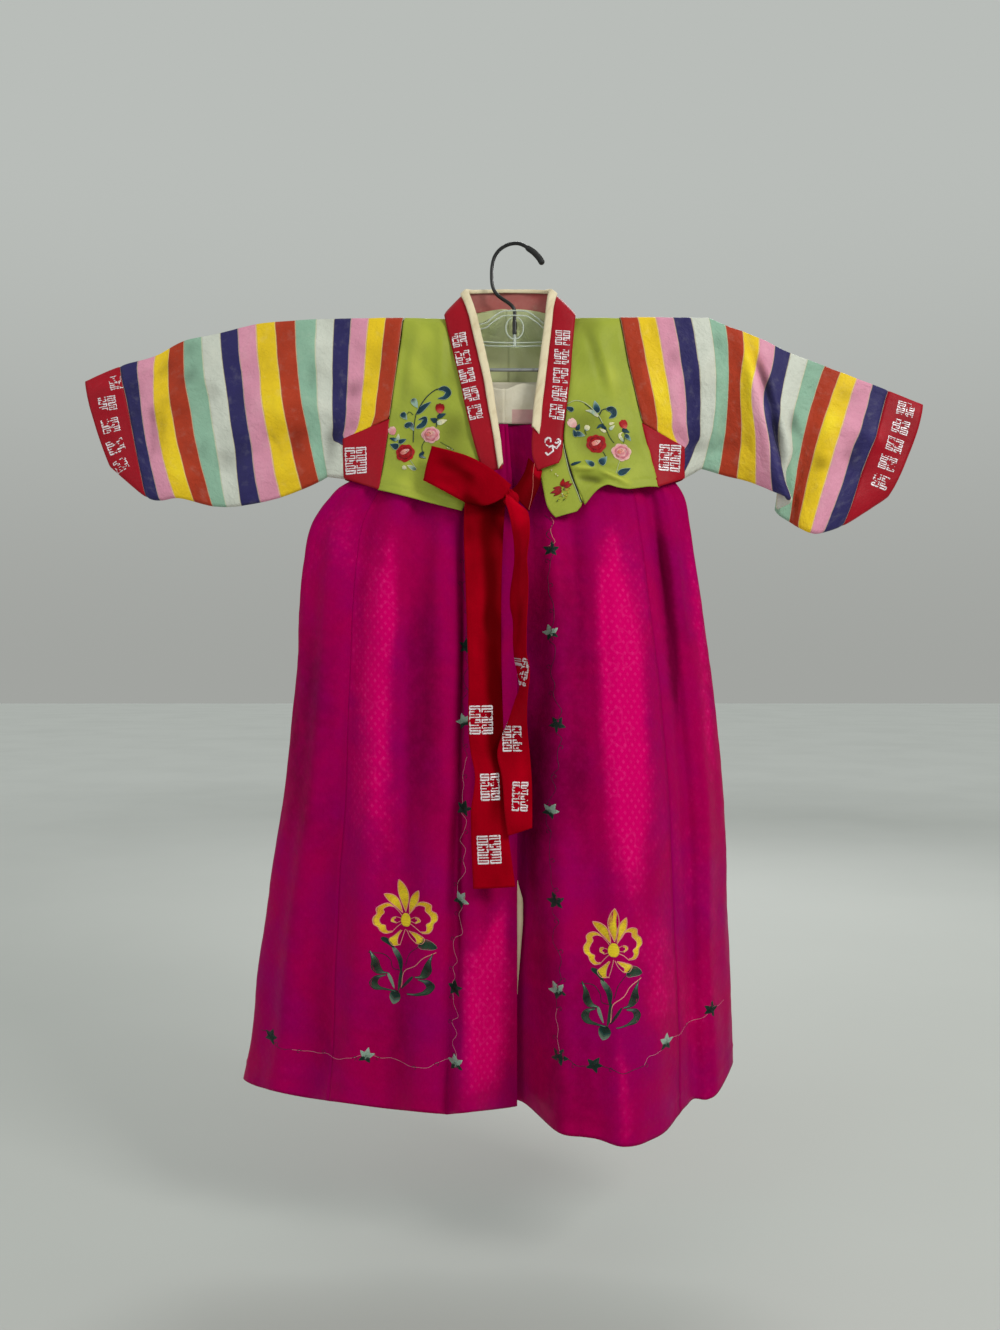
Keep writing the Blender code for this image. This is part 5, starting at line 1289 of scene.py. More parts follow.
def ribbon_piece(word, grid, node, seed, table=(), flip=True, tones=(), tone=0.0):
    """A stretch of the tie, with a dip along each sewn edge and its painted light and shade."""
    u, v = measure(grid)
    wide = u[:, -1:]
    height = creases(table, u, v) + rumple(v, u, seed, 30.0, 0.5)
    height = height * np.clip(np.minimum(u, wide - u) / 3.0, 0.15, 1.0)
    height = height - 0.25 * np.exp(-((u - 2.2) / 0.7) ** 2) - 0.25 * np.exp(-((wide - u - 2.2) / 0.7) ** 2)
    # painted light and shade: the tone given, the tones rows and a faint random ripple
    tone = tone + creases(tones, u, v) + rumple(u, v * 0.4, seed + 2, 12.0, 0.15)
    cloth_piece(word + "_cloth", grid, "ribbon", "tie_" + node, height, flip=flip,
                tone=tone)


def make_tie():
    """The tie: its loop, the lead from the collar, the knot and two tails."""
    loop = np.concatenate([strip_grid(LOOP_BACK, 30, 14, 0.5), strip_grid(LOOP_FRONT, 34, 14, 0.8)])
    # Each stretch's tones rows and tone below are painted light and shade; the lead's tone of -0.8 paints it
    # dark all over, as painted shade.
    ribbon_piece("loop", loop, "loop", 101,
                 ((4, 20, 30, 60, 5, 1.2, 2), (28, 92, 6, 130, 5, 1.3, -2), (10, 100, 30, 150, 4, -1.0, 2)),
                 False,
                 ((8, 84, 22, 138, 9, -0.45, 0), (33, 84, 36, 128, 7, 0.75, 0),
                  (39, 112, 37, 190, 8, -0.8, 0), (12, 122, 10, 190, 9, 0.4, 0)), -0.2)
    ribbon_piece("lead", strip_grid(LEAD, 26, 12, 1.0), "lead", 103,
                 tones=((14, -4, 12, 12, 5, 1.2, 0),), tone=-0.8)
    ribbon_piece("left_tail", strip_grid(LEFT_TAIL, 140, 18, 1.5), "tail_left", 107,
                 ((16, 0, 12, 150, 4, 1.0, 2), (24, 90, 20, 330, 5, -0.9, 2), (8, 200, 12, 350, 5, 0.9, -2),
                  (4, 120, 30, 150, 6, 0.8, 2), (30, 240, 6, 262, 6, 0.7, 2)),
                 tones=((25, -20, 25, 330, 9, -0.9, 0), (20, -10, 22, 60, 16, -0.6, 0),
                        (6, 30, 8, 380, 6, 0.3, 0)), tone=-0.12)
    ribbon_piece("right_tail", strip_grid(RIGHT_TAIL, 150, 16, 0.8), "tail_right", 109,
                 ((6, 20, 20, 120, 4, 0.8, 2), (20, 240, 8, 310, 5, 0.8, -2)),
                 tones=((8, -6, 12, 50, 9, 0.8, 0), (14, 80, 14, 170, 8, -0.35, 0),
                        (14, 240, 14, 330, 12, 0.3, 0)))
    make_knot()


def make_knot():
    """The tie's knot: the ribbon wrapped round itself, with the pleats of the pull across it."""
    lump = bmesh.new()
    bmesh.ops.create_cube(lump, size=1.0)
    bmesh.ops.subdivide_edges(lump, edges=lump.edges[:], cuts=23, use_grid_fill=True)
    for vertex in lump.verts:
        place = Vector(vertex.co) * 2.0
        a, b, c = place.x ** 2, place.y ** 2, place.z ** 2
        rounded = Vector([part * math.sqrt(max(1 - first / 2 - second / 2 + first * second / 3, 0))
                          for part, first, second in zip(place, (b, c, a), (c, a, b))])
        x, y, z = mix(rounded, place, 0.32) * 0.5
        pull = x * 0.75 + z
        pleat = 0.055 * math.sin(pull * 21.0 + 3.0 * x) + 0.035 * math.sin(pull * 41.0 - 5.0 * x + 1.0)
        band = math.exp(-((x - 0.35 * z) / 0.26) ** 2)
        swell = (1.0 + 0.4 * pleat, 1.0 + pleat * (1.0 - band) + 0.09 * band, 1.0 + 0.5 * pleat)
        offset = Vector([part * size * more for part, size, more in zip((x, y, z), KNOT_SIZE, swell)]) * 0.93
        vertex.co = (Vector(KNOT_PLACE) + offset + Vector((z * KNOT_LEAN, 0.0, x * KNOT_SLOPE))) * MM
    mesh = bpy.data.meshes.new("knot_cloth")
    lump.to_mesh(mesh)
    lump.free()
    chart = mesh.uv_layers.new(name="cloth")
    for loop in mesh.loops:
        place = mesh.vertices[loop.vertex_index].co
        chart.data[loop.index].uv = (place.x - place.z * 0.3, place.z + place.y)
    mesh.shade_smooth()
    own("knot_cloth", mesh, "ribbon", "tie_knot")


# ---------------------------------------------------------------- bodice

def bodice_depth(x, share):
    """How far the bodice stands off the hanger's plane at x, a share of the way down to the skirt."""
    half = np.where(x < BODICE_MIDDLE, BODICE_LEFT, BODICE_RIGHT)
    across = np.minimum(np.abs((x - BODICE_MIDDLE) / (half - BODICE_MIDDLE)), 1.0)
    round_off = (1.0 - across ** SKIRT_EDGE_SHARE) ** (1.0 / SKIRT_EDGE_SHARE)
    return np.maximum(mix(6.8, 8.0, share) * round_off, 1.7)


def bodice_panel(word, node, start, end, top, face, inset, seed):
    """A panel of the bodice from x start to x end, on its front (-1) or back (+1) face."""
    share = np.linspace(0.0, 1.0, 18)[:, None]
    x = np.linspace(start, end, max(int((end - start) / 2.6), 30))[None, :] + 0.0 * share
    flare = mix(0.97, 1.0, share)
    place = BODICE_MIDDLE + (x - BODICE_MIDDLE) * flare
    y = face * (bodice_depth(place, share) - inset)
    wave = 2.4 * np.sin(place / 11.0 + 0.4 * face) + 1.2 * np.sin(place / 5.3) if face < 0 else 0.0 * place
    grid = np.stack([place, y, mix(top + wave - 1.2, BODICE_FOOT_Z, share + 0.0 * x)], axis=-1)
    height = rumple(x, share * 45.0 + 200.0 * face, seed, 16.0, 0.3) + seam_dip(share * 45.0 - 3.0, 0.3, 0.8)
    cloth_piece(f"bodice_{word}_cloth", grid, "white", "bodice_" + node,
                height - 0.2, flip=face > 0)


def make_bodice():
    """The white bodice above the skirt: two fronts that overlap, a back and two shoulder straps."""
    left, right = BODICE_LEFT + 0.5, BODICE_RIGHT - 0.5
    bodice_panel("left", "front_left", left, BODICE_OVERLAP[1], BODICE_TOP_Z, -1, 0.0, 111)
    bodice_panel("right", "front_right", BODICE_OVERLAP[0], right, BODICE_TOP_Z, -1, BODICE_INSET, 113)
    bodice_panel("back", "back", left, right, BODICE_BACK_Z, 1, 0.0, 115)
    for word, middle, inset in (("left", STRAP_LEFT, 0.0), ("right", STRAP_RIGHT, BODICE_INSET)):
        back = float(bodice_depth(np.array(middle), 0.0))
        line = [(inset - back, BODICE_TOP_Z + 0.4), *STRAP_LINE, (back, BODICE_BACK_Z + 0.4)]
        rows = [[(middle + step, y, z) for step in np.linspace(-STRAP_HALF, STRAP_HALF, 10)] for y, z in line]
        cloth_piece(f"strap_{word}_cloth", refine(rows, 70, 10), "white", "bodice_strap_" + word)


# ---------------------------------------------------------------- hanger

def tube(name, line, radius, paint, *nodes, sides=20):
    """A round bar along points in millimetres, rounded at both ends, as a plain mesh."""
    line = np.array(line, float)
    ahead = unit(np.gradient(line, axis=0))
    beside = np.array((0.0, 1.0, 0.0)) + 0.0 * line
    beside = unit(beside - ahead * (beside * ahead).sum(axis=1)[:, None])
    radii = radius + 0.0 * line[:, 0]
    steps = np.linspace(0.25, 1.0, 4)[:-1] * math.pi / 2
    reach = 0.9 * np.cos(steps)[:, None]
    line = np.concatenate([line[0] - ahead[0] * radii[0] * reach, line,
                           (line[-1] + ahead[-1] * radii[-1] * reach)[::-1]])
    radii = np.concatenate([radii[0] * np.sin(steps), radii, (radii[-1] * np.sin(steps))[::-1]])
    ahead, beside = (np.concatenate([rows[:1].repeat(3, 0), rows, rows[-1:].repeat(3, 0)])
                     for rows in (ahead, beside))
    turn = np.linspace(0.0, 2 * math.pi, sides, endpoint=False)[None, :, None]
    ring = np.cos(turn) * beside[:, None] + np.sin(turn) * np.cross(ahead, beside)[:, None]
    points = line[:, None] + ring * radii[:, None, None]
    last = (len(line) - 1) * sides
    faces = [(row + side, row + (side + 1) % sides, row + sides + (side + 1) % sides, row + sides + side)
             for row in range(0, last, sides) for side in range(sides)]
    faces += [tuple(range(sides))[::-1], tuple(range(last, last + sides))]
    mesh = plain_mesh(name, points.reshape(-1, 3) * MM, faces)
    clean(mesh)
    own(name, mesh, paint, *nodes)


def clean(mesh, merge=0.0):
    """Joins corners that are nearer than merge, and turns every face outwards."""
    shell = bmesh.new()
    shell.from_mesh(mesh)
    if merge:
        bmesh.ops.remove_doubles(shell, verts=shell.verts, dist=merge)
    bmesh.ops.recalc_face_normals(shell, faces=shell.faces)
    shell.to_mesh(mesh)
    shell.free()


def along(points, count, y=0.0):
    """More points along a smooth line through the x z points given, from the hanger's middle."""
    read = smooth_table([(index, *point) for index, point in enumerate(points)])
    flat = read(np.linspace(0.0, len(points) - 1.0, count))
    return np.stack([flat[:, 0], y + 0.0 * flat[:, 0], flat[:, 1]], axis=-1)


def make_hanger_body():
    """The clear plate with its rounded edges and the open slot of its window."""
    half = ((2.3, HUMP_Z), (9, HUMP_Z), (14, HUMP_Z - 1.5), (22, HUMP_Z - 7), (31, HANGER_TOP_Z),
            (60, HANGER_TOP_Z), (108, HANGER_TOP_Z - 1.7), (HANGER_ARM, HANGER_TOP_Z - 3.2),
            (HANGER_ARM, HANGER_TOP_Z - 8.5), (HANGER_LEG + 8, HANGER_FOOT_Z + 4),
            (HANGER_LEG + 5, BAR_Z - 4),
            (HANGER_LEG - 3, BAR_Z - 4), (HANGER_LEG - 7, HANGER_FOOT_Z), (60, HANGER_FOOT_Z),
            (40, HANGER_FOOT_Z - 5), (8, HANGER_FOOT_Z - 8))
    window = [(-WINDOW_WIDE * math.sin(turn), WINDOW_Z + WINDOW_HIGH * math.cos(turn))
              for turn in np.linspace(WINDOW_SLOT, 2 * math.pi - WINDOW_SLOT, 33)]
    outline = [(-x, z) for x, z in half[::-1]] + window + list(half)
    rounding = 0.6 * MM
    curve = bpy.data.curves.new("hanger_outline", "CURVE")
    curve.dimensions, curve.fill_mode = "2D", "BOTH"
    curve.extrude = HANGER_THICK / 2 * MM - rounding
    curve.bevel_depth, curve.bevel_resolution, curve.offset = rounding, 2, -rounding
    spline = curve.splines.new("POLY")
    spline.points.add(len(outline) - 1)
    spline.use_cyclic_u = True
    for point, (x, z) in zip(spline.points, outline):
        point.co = ((HANGER_X + x) * MM, z * MM, 0.0, 1.0)
    plate = bpy.data.objects.new("hanger_outline", curve)
    bpy.context.scene.collection.objects.link(plate)
    plate.rotation_euler = (math.pi / 2, 0, 0)
    bpy.context.view_layer.update()
    mesh = bpy.data.meshes.new_from_object(plate.evaluated_get(bpy.context.evaluated_depsgraph_get()))
    mesh.transform(plate.matrix_world)
    bpy.data.objects.remove(plate, do_unlink=True)
    clean(mesh, 0.00001)
    own("hanger_plate", mesh, "clear", "hanger_body")


def make_hanger():
    """The clear hanger with its rims, its hook, the hook's rubber tip and the steel bar; its pale rims and
    ribs are painted highlight, and a pale stub under the hook is a painted glint.
    """
    tube("hook_wire", along(HOOK_LINE, 90), HOOK_WIRE, "wire", "hanger_hook")
    swell = HOOK_TIP_RADIUS * (1.0 - 0.12 * np.linspace(1.0, 0.0, 14) ** 3)
    tube("hook_cap", along(HOOK_TIP_LINE, 14), swell, "rubber", "hook_tip")
    reach = HANGER_LEG - BAR_END
    bar = [(HANGER_X - reach + 2 * reach * share, 0.0, BAR_Z) for share in np.linspace(0.0, 1.0, 30)]
    tube("bar_wire", bar, BAR_RADIUS, "steel", "hanger_bar")
    make_hanger_body()
    face = -HANGER_THICK / 2 - 0.2
    arm = [(8, HUMP_Z - 1), (14, HUMP_Z - 2.6), (22, HUMP_Z - 8), (31, HANGER_TOP_Z - 1),
           (60, HANGER_TOP_Z - 1)]
    foot = [(12, RIB_Z), (30, RIB_Z + 0.8), (46, RIB_Z + 2.4)]
    arms, foot = ([(-x, z) for x, z in half[::-1]] + half for half in (arm, foot))
    ring = [(WINDOW_WIDE * 1.2 * math.sin(turn), WINDOW_Z + WINDOW_HIGH * 1.1 * math.cos(turn))
            for turn in np.linspace(0.35, 2 * math.pi - 0.35, 30)]
    # The rims and ribs are pale, half-clear tubes on the plate's front: painted highlight along the clear
    # plastic's moulded edges.
    for name, places, drop in (("rim_upper", arms, 0.0), ("rim_inner", arms, -4.6), ("rib_upper", foot, 0.0),
                               ("rib_lower", foot, -3.4), ("window_rim", ring, 0.0)):
        line = along([(HANGER_X + x, z + drop) for x, z in places], 70, face)
        tube(name, line, 0.7, "rim", sides=8)
    # The pale, half-clear stub below the hook's dark end is a painted glint.
    for name, proud, top, foot, size, paint in (("hook_stub", 1.0, 6, -5, 1.2, "wire"),
                                                ("hook_socket", 0.6, -7, -17, 0.9, "rim")):
        line = [(HANGER_X, face + proud, z) for z in np.linspace(WINDOW_Z + top, WINDOW_Z + foot, 12)]
        tube(name, line, HOOK_WIRE * size, paint)


# ---------------------------------------------------------------- stitches

INKS = {word: linear(code) for word, code in {
    "navy": "12303F", "teal": "1F4C60", "mist": "A8C2B4", "cream": "ECE6BE", "leaf": "06382C",
    "sage": "7F9C86",
    "moss": "2E4A34", "red": "B8101A", "dark_red": "7A0610", "coral": "EE7A6E", "pink": "F2A2A8",
    "blush": "F8CDC6", "rose_shade": "C86A7C", "gold": "D8B23A", "yellow": "D9A51E", "bright": "F4DA2A",
    "edge": "E89A8C", "vine": "D09AA0", "dark_vine": "35102C", "black": "0C1210", "pale": "C8D0A0",
}.items()}


def sewn_thread_tree():
    """Rounds a tube along each stitch of a mesh of edges, as thick as the stitch's thread_radius."""
    tree = bpy.data.node_groups.new("sewn thread", "GeometryNodeTree")
    tree.is_modifier = True
    for label, kind, value in (("Geometry", "Geometry", None), ("Sides", "Int", 5),
                               ("Fullness", "Float", 1.0),
                               ("Material", "Material", None)):
        socket = tree.interface.new_socket(name=label, in_out="INPUT", socket_type="NodeSocket" + kind)
        if value:
            socket.default_value = value
    tree.interface.new_socket(name="Geometry", in_out="OUTPUT", socket_type="NodeSocketGeometry")
    net = Net(tree)
    source, sink = net.add("NodeGroupInput").outputs, net.add("NodeGroupOutput").inputs
    radius = net.add("GeometryNodeInputNamedAttribute", {"Name": "thread_radius"},
                     data_type="FLOAT").outputs[0]
    thick = net.times(radius, source["Fullness"])
    lines = net.add("GeometryNodeMeshToCurve", {0: source["Geometry"]}).outputs[0]
    lines = net.add("GeometryNodeSetCurveRadius", {"Curve": lines, "Radius": thick}).outputs[0]
    ring = net.add("GeometryNodeCurvePrimitiveCircle", {"Resolution": source["Sides"],
                                                        "Radius": 1.0}).outputs[0]
    tubes = net.add("GeometryNodeCurveToMesh", {"Curve": lines, "Profile Curve": ring, "Fill Caps": True,
                                                "Scale": thick})
    painted = net.add("GeometryNodeSetMaterial", {"Geometry": tubes.outputs[0],
                                                  "Material": source["Material"]})
    net.put(sink[0], net.add("GeometryNodeRealizeInstances", {"Geometry": painted.outputs[0]}).outputs[0])
    return tree


def path_of(places):
    """A smooth line through places, read by a share of its length, and that length."""
    places = np.array(places, float)
    steps = np.concatenate([[0.0], np.cumsum(np.linalg.norm(np.diff(places, axis=0), axis=1))])
    return smooth_table([(step / steps[-1], *place) for step, place in zip(steps, places)]), steps[-1]


class Needlework:
    """Stitches gathered for one piece: lines of points, each with a colour and a radius in millimetres."""

    def __init__(self, name, seed, *carriers):
        self.name, self.carrier, self.draw = name, Carrier(*carriers), random.Random(seed)
        self.points, self.colours, self.radii, self.edges = [], [], [], []

    def sew(self, places, ink, radius=0.3, lift=0.28, rise=0.25):
        """One thread through x z places of the front, raised in its middle."""
        start, count = len(self.points), len(places)
        shade = self.draw.uniform(0.86, 1.1)
        for step, (x, z) in enumerate(places):
            hump = lift + rise * math.sin(math.pi * step / (count - 1))
            self.points.append(self.carrier.drop(x, z, hump) * MM)
        self.colours += [(*[min(part * shade, 1.0) for part in ink[:3]], 1.0)] * count
        self.radii += [radius * MM * bpy.context.scene.hanbok_sizes.thread] * count
        self.edges += [(start + step, start + step + 1) for step in range(count - 1)]

    def dyed(self, inks, share, spread):
        """The colour a share of the way along the inks, a little uneven."""
        keys, columns = np.linspace(0.0, 1.0, len(inks)), zip(*inks)
        return [np.interp(share + self.draw.uniform(-spread, spread), keys, column) for column in columns]

    def trail(self, ink, radius, *places, wobble=0.0, step=2.0, lift=0.35):
        """A running thread along a smooth line through places, with its small waves."""
        read, length = path_of(places)
        shares = np.linspace(0.0, 1.0, max(int(length / step), 3))
        line = read(shares)
        if wobble:
            phase = self.draw.uniform(0, 6)
            line = line + wobble * np.stack([np.sin(shares * length / 3.1 + phase),
                                             np.cos(shares * length / 4.3 + phase)], axis=-1)
        self.sew(line, INKS[ink], radius, lift, 0.0)

    def leaf(self, width, inks, edge, *spine, blunt=1.0, lean=0.55, pitch=0.44, lift=0.28, widest=0.85,
             rim=0.2):
        """A leaf or petal of satin stitches along its spine; inks run from its base to its tip."""
        read, length = path_of(spine)
        shares = np.linspace(0.03, 0.97, max(int(length / pitch), 4))
        middle = read(shares)
        ahead = unit(read(np.clip(shares + 0.02, 0, 1)) - read(np.clip(shares - 0.02, 0, 1)))
        aside = np.stack([-ahead[:, 1], ahead[:, 0]], axis=-1)
        half = width / 2 * np.sin(math.pi * shares ** widest) ** (0.75 / blunt)
        inks = [INKS[word] for word in inks.split()]
        for place, along_it, across, wide, share in zip(middle, ahead, aside, half, shares):
            ink = self.dyed(inks, share, 0.08)
            wide *= self.draw.uniform(0.94, 1.05)
            root = place - along_it * wide * lean
            self.sew([root + across * wide, place + along_it * wide * 0.1, root - across * wide], ink,
                     lift=lift)
        for side in (1, -1) if edge else ():
            line = middle + aside * (half * side * 1.04)[:, None] - ahead * (half * lean)[:, None]
            self.sew([read(np.array(0.0)), *line[::3], read(np.array(1.0))], INKS[edge], rim, lift + 0.15,
                     0.0)

    def band(self, outer, inner, inks, edge):
        """Satin stitches from one line across to another, with a thread along both; inks run along them."""
        read_outer, length = path_of(outer)
        read_inner, inks = path_of(inner)[0], [INKS[word] for word in inks.split()]
        for share in np.linspace(0.01, 0.99, max(int(length / 0.44), 4)):
            start, end = read_outer(np.array(share)), read_inner(np.array(share))
            self.sew([start, (start + end) / 2, end], self.dyed(inks, share, 0.05))
        self.trail(edge, 0.4, *outer, step=1.1, lift=0.48)
        self.trail(edge, 0.32, *inner, step=1.1, lift=0.48)

    def knot(self, x, z, ink, radius=0.5, lift=0.5):
        """A French knot or bead: a short thick stitch."""
        self.sew([(x - 0.25, z), (x, z + 0.12), (x + 0.25, z)], INKS[ink], radius, lift, 0.0)

    def rose(self, x, z, size, inks, turn=0.0):
        """A full rose: three rings of petals round a slanting heart, with gold knots."""
        for ring, (reach, count, wide) in enumerate(((1.0, 7, 0.85), (0.72, 6, 0.68), (0.46, 5, 0.5))):
            shown = inks if ring != 1 else " ".join(inks.split()[::-1])
            for petal in range(count):
                angle = turn + 2 * math.pi * (petal + 0.5 * ring) / count
                across, up = math.cos(angle) * size, math.sin(angle) * size * 0.92
                far = reach * self.draw.uniform(0.93, 1.05)
                self.leaf(size * wide, shown, None, (x + across * far * 0.2, z + up * far * 0.2),
                          (x + across * far, z + up * far), blunt=1.9, lean=0.1, pitch=0.5,
                          lift=0.16 + 0.28 * ring, widest=1.5)
        self.leaf(size * 0.48, "coral blush", None, (x - size * 0.42, z - size * 0.08),
                  (x + size * 0.4, z + size * 0.3), blunt=1.3, lean=0.3, pitch=0.5, lift=1.1)
        for ink in ("dark_red", "gold") * 3:
            self.knot(x + self.draw.uniform(-0.3, 0.32) * size, z + self.draw.uniform(0.02, 0.26) * size, ink,
                      0.32, 1.5)

    def bud(self, x, z, size, inks, turn):
        """A bud of three petals that open towards a direction."""
        for aside in (-0.55, 0.55, 0.0):
            base = (x - math.cos(turn) * size * 0.8, z - math.sin(turn) * size * 0.8)
            tip = (x + math.cos(turn + aside) * size, z + math.sin(turn + aside) * size)
            lift = 0.16 + 0.2 * (aside == 0)
            self.leaf(size, inks, None, base, tip, blunt=1.5, lean=0.2, lift=lift, widest=1.3)

    def finish(self, slot):
        """Makes the stitches one plain mesh of thin round threads, and rides it on the garment."""
        mesh = bpy.data.meshes.new(self.name)
        mesh.from_pydata(self.points, self.edges, [])
        dye = mesh.attributes.new("thread_colour", "FLOAT_COLOR", "POINT")
        dye.data.foreach_set("color", np.array(self.colours, np.float32).ravel())
        radius = mesh.attributes.new("thread_radius", "FLOAT", "POINT")
        radius.data.foreach_set("value", np.array(self.radii, np.float32))
        lines = bpy.data.objects.new(self.name + "_lines", mesh)
        bpy.context.scene.collection.objects.link(lines)
        sewing = lines.modifiers.new("sewing", "NODES")
        sewing.node_group = bpy.data.node_groups.get("sewn thread") or sewn_thread_tree()
        for item in sewing.node_group.interface.items_tree:
            if item.name == "Material":
                sewing[item.identifier] = PAINT["thread"]
        solid = bpy.data.meshes.new_from_object(lines.evaluated_get(bpy.context.evaluated_depsgraph_get()))
        bpy.data.objects.remove(lines, do_unlink=True)
        solid.shade_smooth()
        own(self.name, solid, "thread", slot=slot)


def sew_left_front(work):
    """The left front's spray: a curled stem with leaves, two roses and three buds."""
    leaf, trail, bud, rose = work.leaf, work.trail, work.bud, work.rose
    trail("navy", 0.36, (-93.5, -190), (-93.2, -180), (-92.4, -172.3), (-91, -164), (-84.5, -151.7))
    trail("navy", 0.5, (-91, -163.6), (-84.5, -151.7), (-78.6, -144.6), (-71, -139.4), (-65, -138.7))
    leaf(5.6, "navy teal", "mist", (-70, -139.6), (-63.4, -139.2), (-60.4, -143), (-63.4, -147.4),
         (-70.4, -148.6), lean=0.3)
    leaf(5.6, "navy mist mist", "mist", (-94.3, -148.4), (-89.4, -157.1))
    leaf(5.0, "navy teal", "mist", (-90, -163), (-84, -157), (-76.7, -151.7))
    leaf(5.6, "navy teal mist", "mist", (-104.6, -161.5), (-99.6, -168))
    trail("moss", 0.3, (-99.5, -163), (-97.4, -160.4), (-93.8, -163.6))
    leaf(5.0, "teal navy", "mist", (-90.4, -176.4), (-83.6, -172.4), (-82.4, -167.6), (-88.8, -168.6))
    leaf(5.6, "navy teal mist", "mist", (-101.9, -174), (-96, -173.6), (-92.8, -178.8))
    bud(-68.2, -158.6, 5.4, "coral red dark_red", 1.57)
    leaf(4.4, "navy teal", None, (-70.6, -166.6), (-62.6, -163.4))
    leaf(5.0, "navy teal", None, (-71.4, -170.4), (-77.2, -167.6))
    leaf(5.0, "mist cream cream", None, (-70.6, -172.6), (-61.4, -169.6))
    trail("navy", 0.42, (-68, -162), (-70.8, -169), (-71.6, -176))
    rose(-76.6, -183.4, 8.8, "rose_shade pink blush", 0.4)
    trail("moss", 0.34, (-82, -188.4), (-85.2, -194), (-84.4, -199.6), wobble=0.25, step=1.2)
    leaf(3.4, "navy teal mist", "navy", (-83.4, -199.4), (-86, -203.4), (-81.4, -205.6))
    trail("moss", 0.22, (-67.6, -190.4), (-60.6, -194.6), (-55, -198.6), wobble=0.2, step=1.1)
    for x, z in ((-60.8, -196.6), (-59.4, -197.2), (-56.4, -198.2)):
        work.knot(x, z, "cream", 0.6)
    bud(-113.4, -178.8, 4.7, "pink pink blush", 2.0)
    leaf(3.2, "mist cream", None, (-108.2, -187.4), (-107.6, -181.6))
    leaf(3.4, "mist teal navy", None, (-109, -187.8), (-116, -185.2))
    leaf(6.0, "navy teal", "mist", (-107.6, -194.8), (-115.4, -191.4))
    leaf(4.6, "navy teal", "mist", (-107.2, -190.2), (-100.2, -187))
    rose(-100.8, -200.6, 9.4, "dark_red red red", 1.1)
    trail("pale", 0.36, (-96, -207.6), (-93, -212), (-90, -216))
    leaf(3.6, "moss mist cream", "cream", (-90.4, -216.8), (-98.7, -212.6))
    bud(-101.2, -214.8, 2.4, "cream cream", 2.6)


def sew_right_front(work):
    """The right front's spray: an arched stem with leaves, two roses and three buds."""
    leaf, trail, bud, rose = work.leaf, work.trail, work.bud, work.rose
    trail("pale", 0.4, (52, -154.1), (59.6, -151), (68.3, -153.1), (76, -159.2), (81.7, -165.9), (85.2, -173))
    trail("moss", 0.28, (68.3, -154.1), (76, -160.2), (81.7, -166.9), (85.2, -174.0))
    trail("moss", 0.34, (85.2, -173), (89.3, -180.2), (91.4, -185.3), (96, -191.5))
    leaf(4.6, "navy teal", "mist", (57.6, -160.4), (50.4, -157.6))
    leaf(6.2, "navy teal mist", "mist", (80.4, -162.4), (77.8, -151))
    trail("navy", 0.45, (82.2, -164.9), (85, -159.6), (90, -158.4))
    leaf(6.4, "navy teal", "mist", (88.6, -158.6), (95, -159.8), (95.6, -164.4), (91.2, -168), lean=0.3)
    leaf(3.6, "cream mist cream", None, (81.1, -166.4), (75, -161.4), (68.9, -160.4))
    bud(56.8, -173.2, 5.4, "pink blush blush", 2.3)
    leaf(4.0, "navy teal", None, (60.8, -179.4), (63.2, -173.6))
    leaf(4.4, "navy teal", "mist", (60.4, -186), (57.4, -179))
    leaf(5.0, "navy teal mist", "mist", (59.4, -182.4), (68.3, -185.2))
    trail("moss", 0.34, (69.6, -184), (68.2, -180.4), (69.8, -177.6))
    bud(70.2, -177.8, 3.2, "mist cream cream", 1.2)
    leaf(3.4, "navy teal", None, (88.6, -178.4), (83, -175.2), (79.4, -178))
    leaf(2.8, "cream cream", None, (88, -181), (82.4, -178.4))
    leaf(2.6, "cream cream", None, (91.2, -173.6), (96.2, -172))
    leaf(3.2, "mist cream", None, (91.6, -178.6), (96.4, -174.6))
    bud(105.4, -173.4, 5.0, "coral red red", 2.0)
    leaf(4.4, "navy teal", None, (104, -177.8), (110.8, -180.4))
    leaf(4.0, "navy teal mist", "mist", (106.7, -182.6), (112, -188.6))
    leaf(3.0, "mist cream cream", None, (104.6, -189.6), (101.4, -183), (104, -180.6))
    trail("moss", 0.34, (106.4, -179), (106.2, -186), (105, -191))
    rose(78.8, -192.6, 9.8, "dark_red red red", 0.7)
    rose(102.8, -200.4, 9.4, "rose_shade pink blush", 0.2)
    trail("moss", 0.36, (85.2, -200), (87.8, -205))
    leaf(6.6, "navy teal mist", "mist", (82, -212.4), (88.6, -205.2))
    leaf(5.0, "navy teal mist", "mist", (76, -214.4), (68.3, -209))
    leaf(2.8, "navy teal", None, (54.6, -213.6), (64.4, -210.4))
    leaf(6.0, "teal navy", "mist", (99, -221.6), (111.2, -215.4))
    trail("pale", 0.26, (101, -208), (99, -214), (97, -221))


